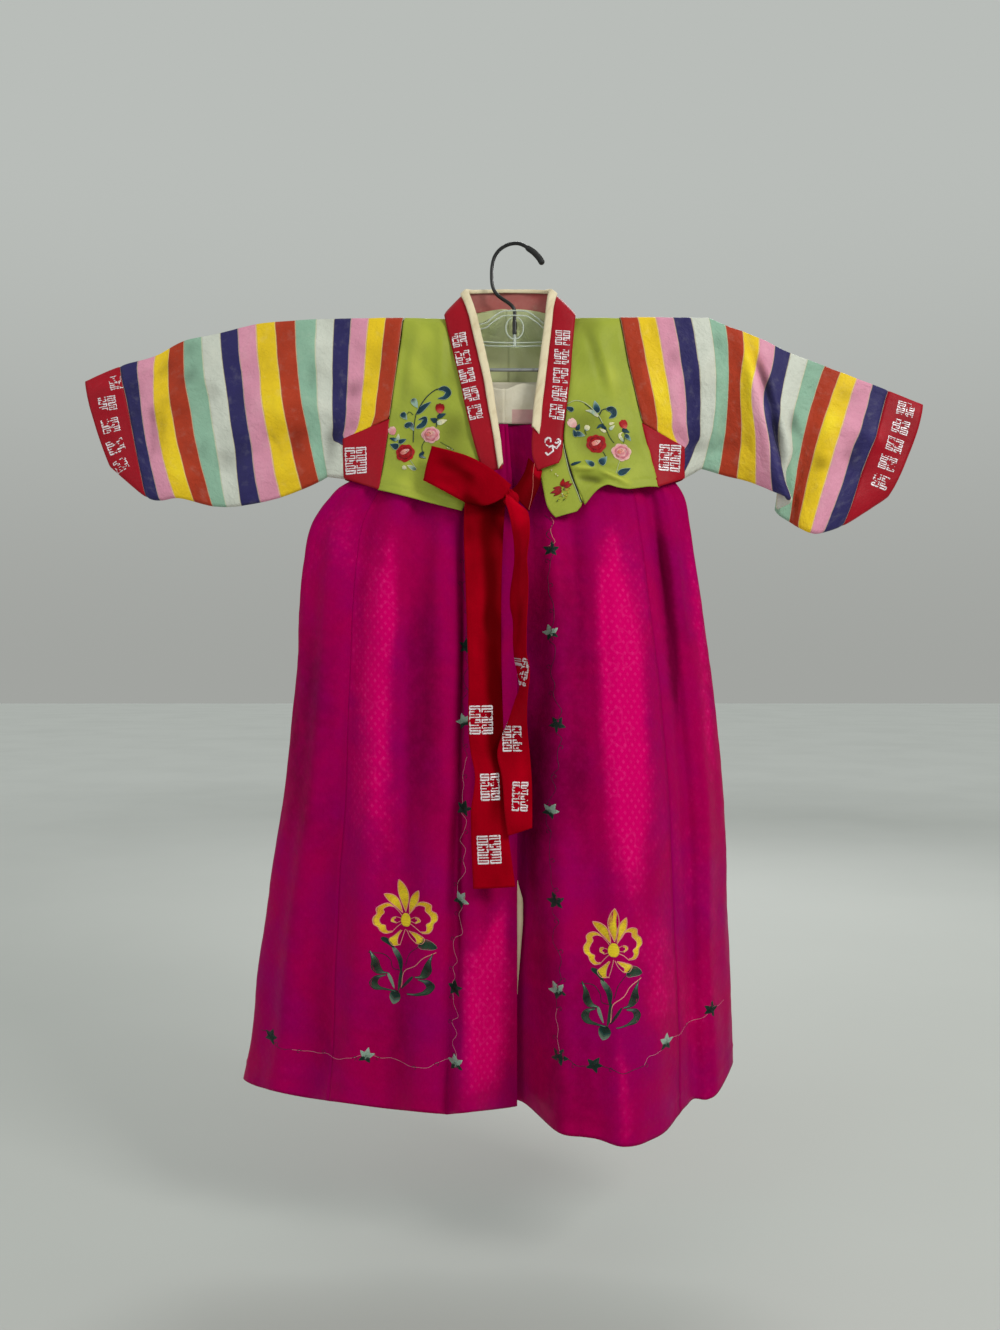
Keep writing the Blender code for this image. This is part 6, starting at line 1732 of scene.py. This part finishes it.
def sew_flap(work):
    """The small red flower on the outer flap, with its gold and white specks."""
    work.leaf(4.4, "dark_red red dark_red", "dark_red", (46.4, -234), (47.6, -226.4), blunt=0.8)
    work.leaf(4.0, "dark_red red dark_red", "dark_red", (48.2, -234.4), (56, -231.2), blunt=0.8)
    work.leaf(3.6, "dark_red red dark_red", "dark_red", (48, -233.6), (53.2, -228.6), blunt=0.8)
    work.leaf(3.4, "dark_red red dark_red", "dark_red", (45.8, -235.6), (38, -235.4), blunt=0.8)
    work.leaf(3.8, "dark_red red dark_red", "dark_red", (45.6, -237), (35.4, -240.2), blunt=0.8)
    work.leaf(3.0, "dark_red red dark_red", "dark_red", (46, -237.8), (38.6, -243), blunt=0.8)
    work.leaf(2.6, "moss gold", None, (47.6, -236.4), (52, -237.6), blunt=1.2)
    for x, z, ink in ((45.4, -243, "gold"), (47.2, -243.6, "cream"), (48.3, -242.2, "gold"),
                     (46.4, -241.6, "cream"), (51.8, -240.2, "gold"), (49.7, -245.1, "gold"),
                     (41.9, -248, "moss"), (43.8, -246, "gold"), (50.6, -243.2, "gold"),
                     (40.6, -222.4, "cream"), (36.8, -218.8, "cream"), (42.4, -224, "cream"),
                     (53.6, -235.6, "gold"), (48, -246.8, "moss")):
        work.knot(x, z, ink, 0.85, 0.7)


def sew_moon_flower(work, x, z, wide, tall, seed):
    """A large yellow flower with its leaves: three upright petals, two lobed side petals and two below."""
    draw, leaf, trail, band = random.Random(seed), work.leaf, work.trail, work.band
    gold = "yellow bright yellow"

    def at(*places, side=1, turn=0.0):
        """Places of the flower, a little different on each flower, mirrored and turned where asked."""
        cosine, sine = math.cos(turn), math.sin(turn)
        moved = []
        for across, up in places:
            across *= side
            shift, rise = draw.uniform(-0.4, 0.4), draw.uniform(-0.4, 0.4)
            moved.append((x + (across * cosine - up * sine) * wide + shift,
                          z + across * sine + up * cosine + rise))
        return moved

    for base, bend, tip, size in (((0.4, 7), (0.4 if tall else -2.0, 22), (-7 + 8 * tall, 35.4), 9.0),
                                  ((-3, 6), (-9.5, 16), (-20.6, 23.2), 7.0),
                                  ((3.4, 6.4), (8, 18), (12.4, 27.4), 7.0)):
        leaf(size, gold, "edge", *at(base, bend, tip), lean=0.3, widest=1.35, rim=0.4)
    for side, turn in ((1, 0.03), (-1, 0.19)):
        def arm(*places):
            return at(*places, side=side, turn=turn)

        outer = arm((8, 12), (13.5, 17), (19.5, 17.8), (24.6, 15.4), (24.8, 11), (28.6, 8.2), (29.4, 2.6),
                    (26, -1), (25, -5), (21.6, -9), (15, -9.4))
        inner = arm((8, 12), (14, 13.4), (18, 11), (15.4, 7.8), (19.4, 6.2), (21.2, 3), (19.6, -0.2),
                    (15.8, -2.4), (17.4, -4.2), (17.2, -6.6), (14, -7.8))
        inner = [(mix(a, c, 0.34), mix(b, d, 0.34)) for (a, b), (c, d) in zip(inner, outer)]
        band(outer, inner, "bright yellow bright yellow", "edge")
        stems = arm((2.4, 4), (5, 8), (8, 12)), arm((3, -2), (9, -5), (15, -9.4))
        for stem in stems:
            trail("edge", 0.4, *stem, step=1.1)
        band(arm((9, 3.6), (12.6, 3.4), (14.2, 0.6), (9.6, -1.8)),
             arm((9, 2.4), (11, 2), (11.4, 0.8), (9.6, -0.6)), "yellow bright", "edge")
        trail("edge", 0.34, *arm((3.4, 1.4), (9, 3.6)), step=1.1)
        trail("edge", 0.34, *arm((3.4, -0.4), (9.6, -1.8)), step=1.1)
    band(at((-4.4, -9), (-12, -15), (-16, -18.4), (-12, -23.6), (-5, -22.8)),
         at((-3.6, -9.4), (-6.8, -15.4), (-7.4, -19.6), (-7, -22), (-4.6, -22.4)), gold, "edge")
    trail("edge", 0.4, *at((-5, -22.8), (-2.4, -15), (-0.6, -7.6)), step=1.1)
    band(at((3.4, -9), (11, -10.4), (18, -14.4), (15.6, -18.6), (9.6, -18.6)),
         at((3, -9.4), (7, -12.6), (10.4, -16), (10.6, -17.6), (9, -18.2)), gold, "edge")
    trail("edge", 0.4, *at((9.6, -18.6), (4, -14), (1.2, -8.2)), step=1.1)
    leaf(8.8, "bright bright", "gold", *at((0, -5.6), (0, 5.8)), blunt=1.9, lean=0.0, lift=0.5)
    leaf(4.6, "leaf leaf", None, *at((-22.6, -16), (-16, -20), (-10, -27)), blunt=1.2)
    leaf(5.4, "sage leaf leaf", None, *at((-12.4, -25.4), (-5.4, -35), (-4.2, -47)), blunt=1.1)
    leaf(3.4, "leaf moss", None, *at((-3.6, -44), (-4.6, -54), (-7, -64)), blunt=1.2)
    trail("dark_vine", 0.4, *at((-0.2, -40), (4.4, -29), (12, -21)))
    leaf(8.6, "leaf moss leaf", "sage", *at((12.4, -18.6), (20, -19.2), (29.4, -21)), blunt=1.8)
    trail("dark_vine", 0.42, *at((-34, -28), (-20, -31), (-13.4, -38), (-12, -44), (-5, -45.6)))
    trail("edge", 0.42, *at((27.8, -25), (16, -31.6), (10, -38.4), (-0.6, -45), (-4, -60)))
    for side, near, far in ((-1, -3.0, -1.0), (1, -3.4, -6.2)):
        for shift, inks, upper, lower in (
                (far, "mist moss black moss sage", ((31.6, -26.4), (29.6, -35), (30.4, -42), (26, -47),
                                                    (15.6, -48.8)),
                 ((31.2, -27), (24.4, -36), (22, -42.6), (19.6, -46.4), (14.6, -48.2))),
                (near, "sage black moss moss sage",
                 ((16, -49.6), (26.6, -51), (30, -55), (26.4, -60.6), (17, -63.4), (5.6, -65)),
                 ((15, -50.4), (21.6, -52.6), (22.8, -56), (20.4, -59.6), (15, -62.2), (5, -64.4)))):
            lines = [at(*[(side * across + shift, up) for across, up in line]) for line in (upper, lower)]
            band(*lines, inks, "leaf")
    leaf(3.0, "sage sage", None, *at((-16.6, -48), (-13.6, -55), (-10.6, -62)), blunt=1.4)
    leaf(2.6, "leaf dark_vine", None, *at((7.4, -48), (1.8, -54.6), (-4.6, -61.4)), blunt=1.4)
    leaf(10.5, "black leaf sage", None, *at((-8.6, -63.6), (-10, -70), (-11.6, -76)), blunt=1.9, widest=1.5)


def sew_vine(work, places, marks, pale):
    """A thin wandering vine of thread through places, with a few tendrils and leaf marks of five lobes."""
    draw = work.draw
    read, length = path_of(places)
    stops = [(float(x) + draw.uniform(-3.6, 3.6), float(z) + draw.uniform(-2.4, 2.4))
             for x, z in read(np.linspace(0.0, 1.0, max(int(length / 8.0), 4)))]
    split = int(len(stops) * pale)
    for part, word, thick in ((stops[:split + 1], "dark_vine", 0.34), (stops[split:], "vine", 0.24)):
        if len(part) > 2:
            work.trail(word, thick, *part, wobble=0.3, step=1.2)
    for x, z in stops[2:-1:3]:
        side = draw.choice((-1, 1))
        work.trail("dark_vine", 0.34, (x, z), (x + side * 2.8, z + 1.8), (x + side * 3.8, z - 0.6),
                   (x + side * 2.0, z - 1.4), step=0.9)
    for number, (x, z) in enumerate(marks):
        turn = draw.uniform(0.9, 2.2)
        for lobe, (aside, reach, wide) in enumerate(((0.0, 8.2, 6.6), (1.15, 7.6, 5.8), (-1.15, 7.6, 5.8),
                                                    (2.4, 7.0, 5.4), (-2.4, 7.0, 5.4))):
            angle = turn + aside + draw.uniform(-0.15, 0.15)
            across, up = math.cos(angle), math.sin(angle)
            work.leaf(wide, "sage mist" if number % 2 and lobe < 3 else "black leaf", None,
                      (x - across * 1.4, z - up * 1.4), (x + across * reach, z + up * reach), widest=0.7)


def make_embroidery():
    """All the stitched flowers of the jacket and the skirt, and the piping of the flap's seam."""
    work = Needlework("left_front_embroidery", 3, "jacket_left_cloth")
    sew_left_front(work)
    work.finish("green_cloth")
    work = Needlework("right_front_embroidery", 5, "jacket_right_cloth")
    sew_right_front(work)
    work.finish("green_cloth")
    work = Needlework("flap_embroidery", 7, "seop_cloth", "jacket_right_cloth")
    sew_flap(work)
    seam = [(47.4, -187), (50.2, -203), (54.4, -221), (60.2, -236.6), (64.6, -248.8)]
    work.trail("black", 0.5, *seam, step=1.6, lift=0.5)
    work.trail("pale", 0.35, *[(x - 1.0, z) for x, z in seam], step=1.6, lift=0.4)
    work.finish("green_cloth")
    work = Needlework("lead_stitching", 8, "lead_cloth")
    work.trail("coral", 0.2, (20.6, -212.4), (19.2, -223), (19, -235), (16.9, -248.9), (15, -257), step=1.4,
               lift=0.25)
    work.finish("ribbon_cloth")
    work = Needlework("skirt_left_embroidery", 9, "skirt_front_left_cloth", "skirt_back_left_cloth")
    sew_moon_flower(work, -96.3, -630.4, 1.0, 0.0, 1)
    marks = [(-42.5, -383.9), (-44, -451.8), (-43.7, -529.2), (-46.2, -609.2), (-51.4, -688), (-50.4, -751.8)]
    sew_vine(work, [(-40, -262), (-43, -330), *marks], marks, 0.45)
    hem = [(-225.5, -748.6), (-131.9, -751.6)]
    sew_vine(work, [(-236, -744), hem[0], (-180, -757), hem[1], (-90, -757), marks[-1]], hem, 0.2)
    work.finish("skirt_cloth")
    work = Needlework("skirt_right_embroidery", 13, "skirt_front_right_cloth", "skirt_back_right_cloth")
    sew_moon_flower(work, 86.8, -646.9, 0.86, 1.0, 2)
    work.trail("edge", 0.26, (35.8, -262), (38.4, -266.6), (35.6, -274.3), (37.2, -281.4), (39.4, -286.4),
               (34, -290), step=1.2)
    marks = [(35.7, -293.9), (34.8, -371.3), (40.1, -453.7), (33.1, -529.3), (37.3, -606.2), (38.7, -681.8),
             (39.8, -737.5)]
    sew_vine(work, [(34, -262), *marks], marks, 0.9)
    hem = [(69.2, -744.6), (134.5, -733), (183.1, -719)]
    sew_vine(work, [marks[-1], hem[0], (100, -747), hem[1], (160, -728), hem[2], (200, -714)], hem, 0.4)
    work.finish("skirt_cloth")


# ---------------------------------------------------------------- foil

FOIL_CELL = 0.5             # side of one square of foil
FOIL_BAR = 1.15             # width of the fret's bar
FOIL_WALL = 0.09


def far_from(path, x, z):
    """How far x z lies from a path of straight pieces."""
    found = []
    for (start_x, start_z), (end_x, end_z) in zip(path, path[1:]):
        long_x, long_z = end_x - start_x, end_z - start_z
        share = ((x - start_x) * long_x + (z - start_z) * long_z) / max(long_x ** 2 + long_z ** 2, 1e-9)
        share = min(max(share, 0.0), 1.0)
        found.append(math.hypot(x - start_x - long_x * share, z - start_z - long_z * share))
    return min(found)


def fret_cells(wide, high):
    """The squares of two mirrored frets that fill a block wide and high, as centres from its middle."""
    column, cell = (wide - 1.2) / 2, chosen("foil_cell")
    turns = max(round(high / 2.45), 3)
    pitch = (high - FOIL_BAR) / turns
    path, cells = [], []
    for bar in range(turns + 1):
        level = high / 2 - FOIL_BAR / 2 - bar * pitch
        path += [(0.9, level), (column, level)][::1 - 2 * (bar % 2)]
    down = int(high / 2 / cell) + 1
    for row in range(-down, down + 1):
        for place in range(int(wide / 2 / cell) + 1):
            x, z = (place + 0.5) * cell, row * cell
            if far_from(path, x, z) < FOIL_BAR / 2 or abs(x - column) < 0.3 and abs(z) < high / 2:
                cells += [(x, z), (-x, z)]
    return cells


def scroll_cells(size):
    """The squares of a small cloud scroll: two curls that meet, and a tail."""
    shapes = [[(0, -0.12), (0.1, -0.5), (-0.26, -0.86), (-0.42, -0.7)]]
    for side in (-1, 1):
        curl = [(0.24 * (1 - turn / 9), turn) for turn in np.linspace(0, 6.2, 24)]
        shapes += [[(side * (0.30 + far * math.cos(turn)), 0.22 + far * math.sin(turn)) for far,
                    turn in curl],
                   [(side * 0.52, 0.1), (side * 0.3, -0.28), (0, -0.12)]]
    paths = [[(x * size, z * size) for x, z in shape] for shape in shapes]
    cell = chosen("foil_cell")
    steps = range(-int(size / cell) - 2, int(size / cell) + 3)
    return [(place * cell, row * cell) for row in steps for place in steps
            if min(far_from(path, place * cell, row * cell) for path in paths) < 0.8]


class Foil:
    """Squares of foil gathered for one piece, laid on the cloth under them."""

    def __init__(self, name, seed):
        self.name, self.draw = name, random.Random(seed)
        self.corners, self.faces = [], []

    def print_cells(self, carrier, cells, middle, lean, wear, side=-1):
        """Lays cells round a middle x z, turned by lean degrees; wear is the share that has come off."""
        cosine, sine = math.cos(math.radians(lean)), math.sin(math.radians(lean))
        found, half = {}, chosen("foil_cell") / 2
        spots = [(self.draw.uniform(-8, 8), self.draw.uniform(-9, 9), self.draw.uniform(0.6, 2.6))
                 for _ in range(int(wear * 34))]
        for x, z in cells:
            if self.draw.random() < wear * 0.2 or any(math.hypot(x - a, z - b) < far for a, b, far in spots):
                continue
            face, (west, east), (foot, top) = [], (x - half, x + half), (z - half, z + half)
            for a, b in ((west, foot), (east, foot), (east, top), (west, top)):
                key = (round(a / half), round(b / half))
                if key not in found:
                    found[key] = len(self.corners)
                    self.corners.append(carrier.drop(middle[0] + a * cosine - b * sine,
                                                     middle[1] + a * sine + b * cosine, 0.14, side) * MM)
                face.append(found[key])
            self.faces.append(face[::-side])

    def print_blocks(self, carrier, blocks, side=-1):
        """Prints one fret in each block's place, on the front (-1) or the back (1)."""
        for x, z, wide, high, lean, wear in blocks:
            self.print_cells(carrier, fret_cells(wide, high), (x, z), -lean * side, wear, side)

    def finish(self, slot):
        """Makes the foil one mesh with a thin wall, and rides it on the garment."""
        thicken(own(self.name, plain_mesh(self.name, self.corners, self.faces), "foil", slot=slot), FOIL_WALL)


# Foil blocks: middle x z, width, height, lean in degrees, share worn off.
COLLAR_FOIL = (
    (-50.0, -92.2, 13.6, 14, 10, 0.2), (-46.6, -109.8, 13.6, 14, 10, 0.25),
    (-42.6, -127.2, 13.6, 14, 12, 0.2), (-38.6, -145.2, 13.6, 14, 12, 0.15),
    (-34.9, -162.8, 13, 14, 12, 0.35), (47.8, -90.2, 14, 15, -2, 0.1), (46.6, -108.9, 14, 15, -3, 0.2),
    (45.6, -127.2, 14, 15, -3, 0.2), (44.4, -145, 14, 15, -5, 0.25), (42, -162.8, 14, 15, -6, 0.2),
)
GUSSET_FOIL = ((-148.6, -206, 21, 25, 2, 0.25), (149.8, -203.6, 21, 25, -3, 0.25))
LEFT_CUFF_FOIL = (
    (-379, -128, 17, 14, 14, 0.55), (-389, -149, 17, 14, 10, 0.5), (-386, -170, 17, 14, 14, 0.45),
    (-381, -190, 17, 13, 20, 0.5), (-376, -208, 14, 12, 26, 0.55),
)
RIGHT_CUFF_FOIL = (
    (379, -154, 17, 14, -16, 0.35), (373, -171.6, 17, 14, -16, 0.3), (366.4, -189.4, 17, 14, -17, 0.3),
    (359.6, -207, 17, 14, -18, 0.3), (352.6, -224.6, 16, 13, -20, 0.35),
)
TAIL_FOIL = (
    (-28.4, -449.2, 21, 25, 1, 0.3), (-20.3, -507.8, 17, 23, 2, 0.3), (-21.1, -562.1, 21, 24, 3, 0.25),
    (9.8, -406.6, 7, 24, -11, 0.3), (-1, -465.2, 17, 22, 2, 0.4), (6, -515.4, 14, 25, -2, 0.35),
)
CLOUD_PLACE, CLOUD_SIZE = (37.6, -194.0), 13.0


def make_foil_prints():
    """The worn foil frets on collar, gussets, cuffs and tie, and the cloud scroll on the collar."""
    foil, collar = Foil("collar_foil", 1), Carrier("collar_cloth")
    foil.print_blocks(collar, COLLAR_FOIL)
    foil.print_cells(collar, scroll_cells(CLOUD_SIZE), CLOUD_PLACE, -6, 0.15)
    foil.finish("red_cloth")
    foil = Foil("gusset_foil", 2)
    for side, face in ((-1, "front"), (1, "back")):
        for word, block in zip(("left", "right"), GUSSET_FOIL):
            foil.print_blocks(Carrier(word + "_gusset_" + face), [block], side)
    foil.finish("red_cloth")
    for word, blocks, seed in (("left", LEFT_CUFF_FOIL, 3), ("right", RIGHT_CUFF_FOIL, 4)):
        foil, cuff = Foil(word + "_cuff_foil", seed), Carrier(word + "_cuff_cloth")
        foil.print_blocks(cuff, blocks)
        foil.print_blocks(cuff, blocks, 1)
        foil.finish("red_cloth")
    foil = Foil("tail_foil", 5)
    foil.print_blocks(Carrier("left_tail_cloth"), TAIL_FOIL[:3])
    foil.print_blocks(Carrier("right_tail_cloth"), TAIL_FOIL[3:])
    foil.finish("ribbon_cloth")


# ---------------------------------------------------------------- stage

CAMERA_PLACE = (-0.01152, -1.1, -0.40032)
FRAME_HEIGHT, FRAME_SCALE = 1330, 0.00096       # the view's height in pixels, and a pixel's metres at y = 0
FLOOR_Z = -0.94


def make_lamp(name, place, aim, size, power, colour):
    """A soft area light that faces a point."""
    lamp = bpy.data.lights.new(name, "AREA")
    lamp.shape = "RECTANGLE"
    lamp.size, lamp.size_y = size
    lamp.energy = power
    lamp.color = colour
    light = bpy.data.objects.new(name, lamp)
    light.location = place
    light.rotation_euler = (Vector(aim) - Vector(place)).to_track_quat("-Z", "Y").to_euler()
    bpy.context.scene.collection.objects.link(light)


def make_stage():
    """A plain pale floor, soft studio light and the camera in front of the garment."""
    scene = bpy.context.scene
    camera = bpy.data.cameras.new("camera")
    camera.sensor_width = 36.0
    camera.lens = 36.0 * -CAMERA_PLACE[1] / (FRAME_HEIGHT * FRAME_SCALE)
    camera.clip_end = 60.0
    view = bpy.data.objects.new("camera", camera)
    view.location = CAMERA_PLACE
    view.rotation_euler = (math.pi / 2, 0.0, 0.0)
    scene.collection.objects.link(view)
    scene.camera = view
    mesh = bpy.data.meshes.new("floor")
    mesh.from_pydata([(-15, -15, FLOOR_Z), (15, -15, FLOOR_Z), (15, 15, FLOOR_Z), (-15, 15, FLOOR_Z)], [],
                     [(0, 1, 2, 3)])
    look = Finish("pale floor", False)
    mottle = look.stains(0.5, 0.3, 0.8)
    far = look.add("ShaderNodeVectorMath", {0: look.places}, operation="LENGTH").outputs["Value"]
    tint = look.blend(look.band(far, 1.0, 5.0), linear("B4B7B3"), linear("EEF0EE"))
    colour = look.blend((mottle, 0.12), tint, linear("A4A8A4"))
    mesh.materials.append(look.set(Base_Color=colour, Roughness=0.8))
    floor = bpy.data.objects.new("floor", mesh)
    scene.collection.objects.link(floor)
    world = bpy.data.worlds.new("studio")
    world.use_nodes = True
    sky = Net(world.node_tree)
    height = sky.split(sky.add("ShaderNodeTexCoord").outputs["Generated"])["Z"]
    glow = sky.blend(sky.band(height, -0.02, 0.4), linear("A2A4A0"), linear("B9BDB9"))
    sky.put(sky.tree.nodes["Background"].inputs[0], glow)
    scene.world = world
    scene.view_settings.view_transform = "Standard"
    middle = (0.0, 0.0, -0.38)
    make_lamp("key", (1.5, -1.5, 0.9), middle, (0.8, 0.8), 29.0, (1.0, 0.98, 0.95))
    make_lamp("fill", (-1.6, -1.5, 0.3), middle, (1.4, 1.4), 9.0, (0.95, 0.98, 1.0))
    make_lamp("rear", (0.4, 1.8, 0.9), middle, (1.4, 1.0), 26.0, (1.0, 1.0, 1.0))


# ---------------------------------------------------------------- what a user would change

def dye(name, code, note):
    """A colour that a user may change."""
    return bpy.props.FloatVectorProperty(name=name, description=note, default=linear(code), size=4, min=0.0,
                                         max=1.0, subtype="COLOR")


class HanbokColours(bpy.types.PropertyGroup):
    """Colours of the cloth."""
    green: dye("Green", "A1AC3E", "Jacket's green silk")
    green_deep: dye("Green deep", "7E8C34", "Green silk in its folds")
    green_pale: dye("Green pale", "C8CC62", "Green silk where it is worn pale")
    red_band: dye("Red band", "A60F22", "Red of collar, gussets and cuffs")
    red_band_deep: dye("Red band deep", "6A0712", "Red bands in their folds")
    red: dye("Red", "AE3A22", "Red stripe of the sleeves")
    yellow: dye("Yellow", "EEC824", "Yellow stripe")
    pink: dye("Pink", "DC93AC", "Pink stripe")
    navy: dye("Navy", "302C5E", "Navy stripe")
    white: dye("White", "D0D4C8", "White stripe")
    mint: dye("Mint", "8FB79F", "Mint stripe")
    magenta: dye("Magenta", "A8004E", "Skirt's magenta")
    magenta_deep: dye("Magenta deep", "6C0032", "Magenta in the folds")
    magenta_cast: dye("Magenta cast", "880068", "Purple cast of the magenta")
    magenta_bright: dye("Magenta bright", "D80066", "Magenta where it catches light")
    # Pale pink of the woven diamonds, shown mostly as painted glints where the magenta is painted bright.
    magenta_pale: dye("Magenta pale", "FF4CA6", "Woven diamonds of the skirt")
    bodice: dye("Bodice", "DCD6C2", "Bodice's white cotton")
    bodice_old: dye("Bodice old", "C2B894", "Yellowed cotton")
    # Pink of a patch over the lower right of the bodice's front.
    bodice_pink: dye("Bodice pink", "C87C8C", "Dye that ran into the cotton")
    lining: dye("Lining", "CDD2A4", "Jacket's pale lining")
    red_lining: dye("Red lining", "B0706A", "Inside of the red bands")
    trim: dye("Trim", "E8DAB8", "Collar trim's cream cloth")
    trim_old: dye("Trim old", "C6B088", "Grime of the trim")
    ribbon: dye("Ribbon", "A00016", "Tie's crimson")
    ribbon_deep: dye("Ribbon deep", "580003", "Tie in shade")
    ribbon_bright: dye("Ribbon bright", "BC001C", "Tie where it is lit")


class HanbokSizes(bpy.types.PropertyGroup):
    """Sizes of the cloth and of what is sewn and printed on it."""
    wall: bpy.props.FloatProperty(name="Cloth", description="Thickness of the thin cloth shells",
                                  default=CLOTH * MM, min=0.0002, max=0.001, unit="LENGTH")
    foil_cell: bpy.props.FloatProperty(name="Foil square",
                                       description="Side of one square of the printed foil",
                                       default=FOIL_CELL * MM, min=0.0004, max=0.001, unit="LENGTH")
    hem_lift: bpy.props.FloatProperty(name="Hem lift",
                                      description="How far the left front's free corner is drawn up",
                                      default=HEM_CORNER * MM, min=0.0, max=0.02, unit="LENGTH")
    thread: bpy.props.FloatProperty(name="Thread",
                                    description="Thickness of the sewing threads, as a share of usual",
                                    default=1.0, min=0.6, max=1.4, subtype="FACTOR")


class HANBOK_OT_finishes(bpy.types.Operator):
    """Makes the materials of cloth, thread, foil and hanger."""
    bl_idname = "hanbok.finishes"
    bl_label = "Finishes"

    def execute(self, context):
        colours = context.scene.hanbok_colours
        make_materials({key: tuple(getattr(colours, key)) for key in HanbokColours.__annotations__})
        return {"FINISHED"}


class HANBOK_OT_hanger(bpy.types.Operator):
    """Makes the clear hanger with its hook and bar."""
    bl_idname = "hanbok.hanger"
    bl_label = "Hanger"

    def execute(self, context):
        make_hanger()
        return {"FINISHED"}


class HANBOK_OT_bodice(bpy.types.Operator):
    """Makes the skirt's white bodice and straps."""
    bl_idname = "hanbok.bodice"
    bl_label = "Bodice"

    def execute(self, context):
        make_bodice()
        return {"FINISHED"}


class HANBOK_OT_skirt(bpy.types.Operator):
    """Makes the wrapped skirt's four panels and its lining's edge."""
    bl_idname = "hanbok.skirt"
    bl_label = "Skirt"

    def execute(self, context):
        make_skirt()
        make_gap_lining()
        return {"FINISHED"}


class HANBOK_OT_jacket(bpy.types.Operator):
    """Makes the jacket's body, gussets and flap."""
    bl_idname = "hanbok.jacket"
    bl_label = "Jacket"

    def execute(self, context):
        make_body("left", -1, LEFT_FRONT, LEFT_BACK, 0.0, 31, LEFT_FRONT_CREASES)
        make_body("right", 1, RIGHT_FRONT, RIGHT_BACK, 1.0, 41, RIGHT_FRONT_CREASES)
        make_seop()
        make_gusset(LEFT_SIDE, "left", {-1: LEFT_FRONT[0][4:], 1: LEFT_BACK[0][4:]})
        make_gusset(RIGHT_SIDE, "right", {-1: RIGHT_FRONT[0][4:], 1: RIGHT_BACK[0][4:]})
        return {"FINISHED"}


class HANBOK_OT_sleeves(bpy.types.Operator):
    """Makes the striped sleeves and their cuffs."""
    bl_idname = "hanbok.sleeves"
    bl_label = "Sleeves"

    def execute(self, context):
        make_sleeve(LEFT_SIDE, "left", LEFT_SLEEVE_FRONT, LEFT_SLEEVE_BACK, 11)
        make_sleeve(RIGHT_SIDE, "right", RIGHT_SLEEVE_FRONT, RIGHT_SLEEVE_BACK, 21)
        return {"FINISHED"}


class HANBOK_OT_collar(bpy.types.Operator):
    """Makes the collar band and its trim."""
    bl_idname = "hanbok.collar"
    bl_label = "Collar"

    def execute(self, context):
        make_collar()
        return {"FINISHED"}


class HANBOK_OT_tie(bpy.types.Operator):
    """Makes the tie with its loop, lead, knot and tails."""
    bl_idname = "hanbok.tie"
    bl_label = "Tie"

    def execute(self, context):
        make_tie()
        return {"FINISHED"}


class HANBOK_OT_embroidery(bpy.types.Operator):
    """Sews the flowers of the jacket and the skirt."""
    bl_idname = "hanbok.embroidery"
    bl_label = "Embroidery"

    def execute(self, context):
        make_embroidery()
        return {"FINISHED"}


class HANBOK_OT_foil(bpy.types.Operator):
    """Prints the worn foil frets."""
    bl_idname = "hanbok.foil"
    bl_label = "Foil"

    def execute(self, context):
        make_foil_prints()
        return {"FINISHED"}


class HANBOK_OT_stage(bpy.types.Operator):
    """Makes the floor, the lights and the camera."""
    bl_idname = "hanbok.stage"
    bl_label = "Stage"

    def execute(self, context):
        make_stage()
        return {"FINISHED"}


OPERATORS = (HANBOK_OT_finishes, HANBOK_OT_hanger, HANBOK_OT_bodice, HANBOK_OT_skirt, HANBOK_OT_jacket,
             HANBOK_OT_sleeves, HANBOK_OT_collar, HANBOK_OT_tie, HANBOK_OT_embroidery, HANBOK_OT_foil,
             HANBOK_OT_stage)


class HANBOK_PT_panel(bpy.types.Panel):
    """Lists the garment's parts in the sidebar."""
    bl_label = "Hanbok"
    bl_idname = "HANBOK_PT_panel"
    bl_space_type = "VIEW_3D"
    bl_region_type = "UI"
    bl_category = "Hanbok"

    def draw(self, context):
        """Draws the sizes, and a button for each group of pieces."""
        for group, kind in ((context.scene.hanbok_sizes, HanbokSizes),
                            (context.scene.hanbok_colours, HanbokColours)):
            for key in kind.__annotations__:
                self.layout.prop(group, key)
        for kind in OPERATORS:
            self.layout.operator(kind.bl_idname)


CLASSES = (HanbokSizes, HanbokColours, *OPERATORS, HANBOK_PT_panel)


def register():
    """Adds the classes and the scene's settings."""
    for kind in CLASSES:
        bpy.utils.register_class(kind)
    bpy.types.Scene.hanbok_sizes = bpy.props.PointerProperty(type=HanbokSizes)
    bpy.types.Scene.hanbok_colours = bpy.props.PointerProperty(type=HanbokColours)


def unregister():
    """Takes them away again."""
    del bpy.types.Scene.hanbok_sizes
    del bpy.types.Scene.hanbok_colours
    for kind in reversed(CLASSES):
        bpy.utils.unregister_class(kind)


def main():
    """Builds the garment."""
    register()
    for kind in OPERATORS:
        area, word = kind.bl_idname.split(".")
        getattr(getattr(bpy.ops, area), word)()


if __name__ == "__main__":
    main()
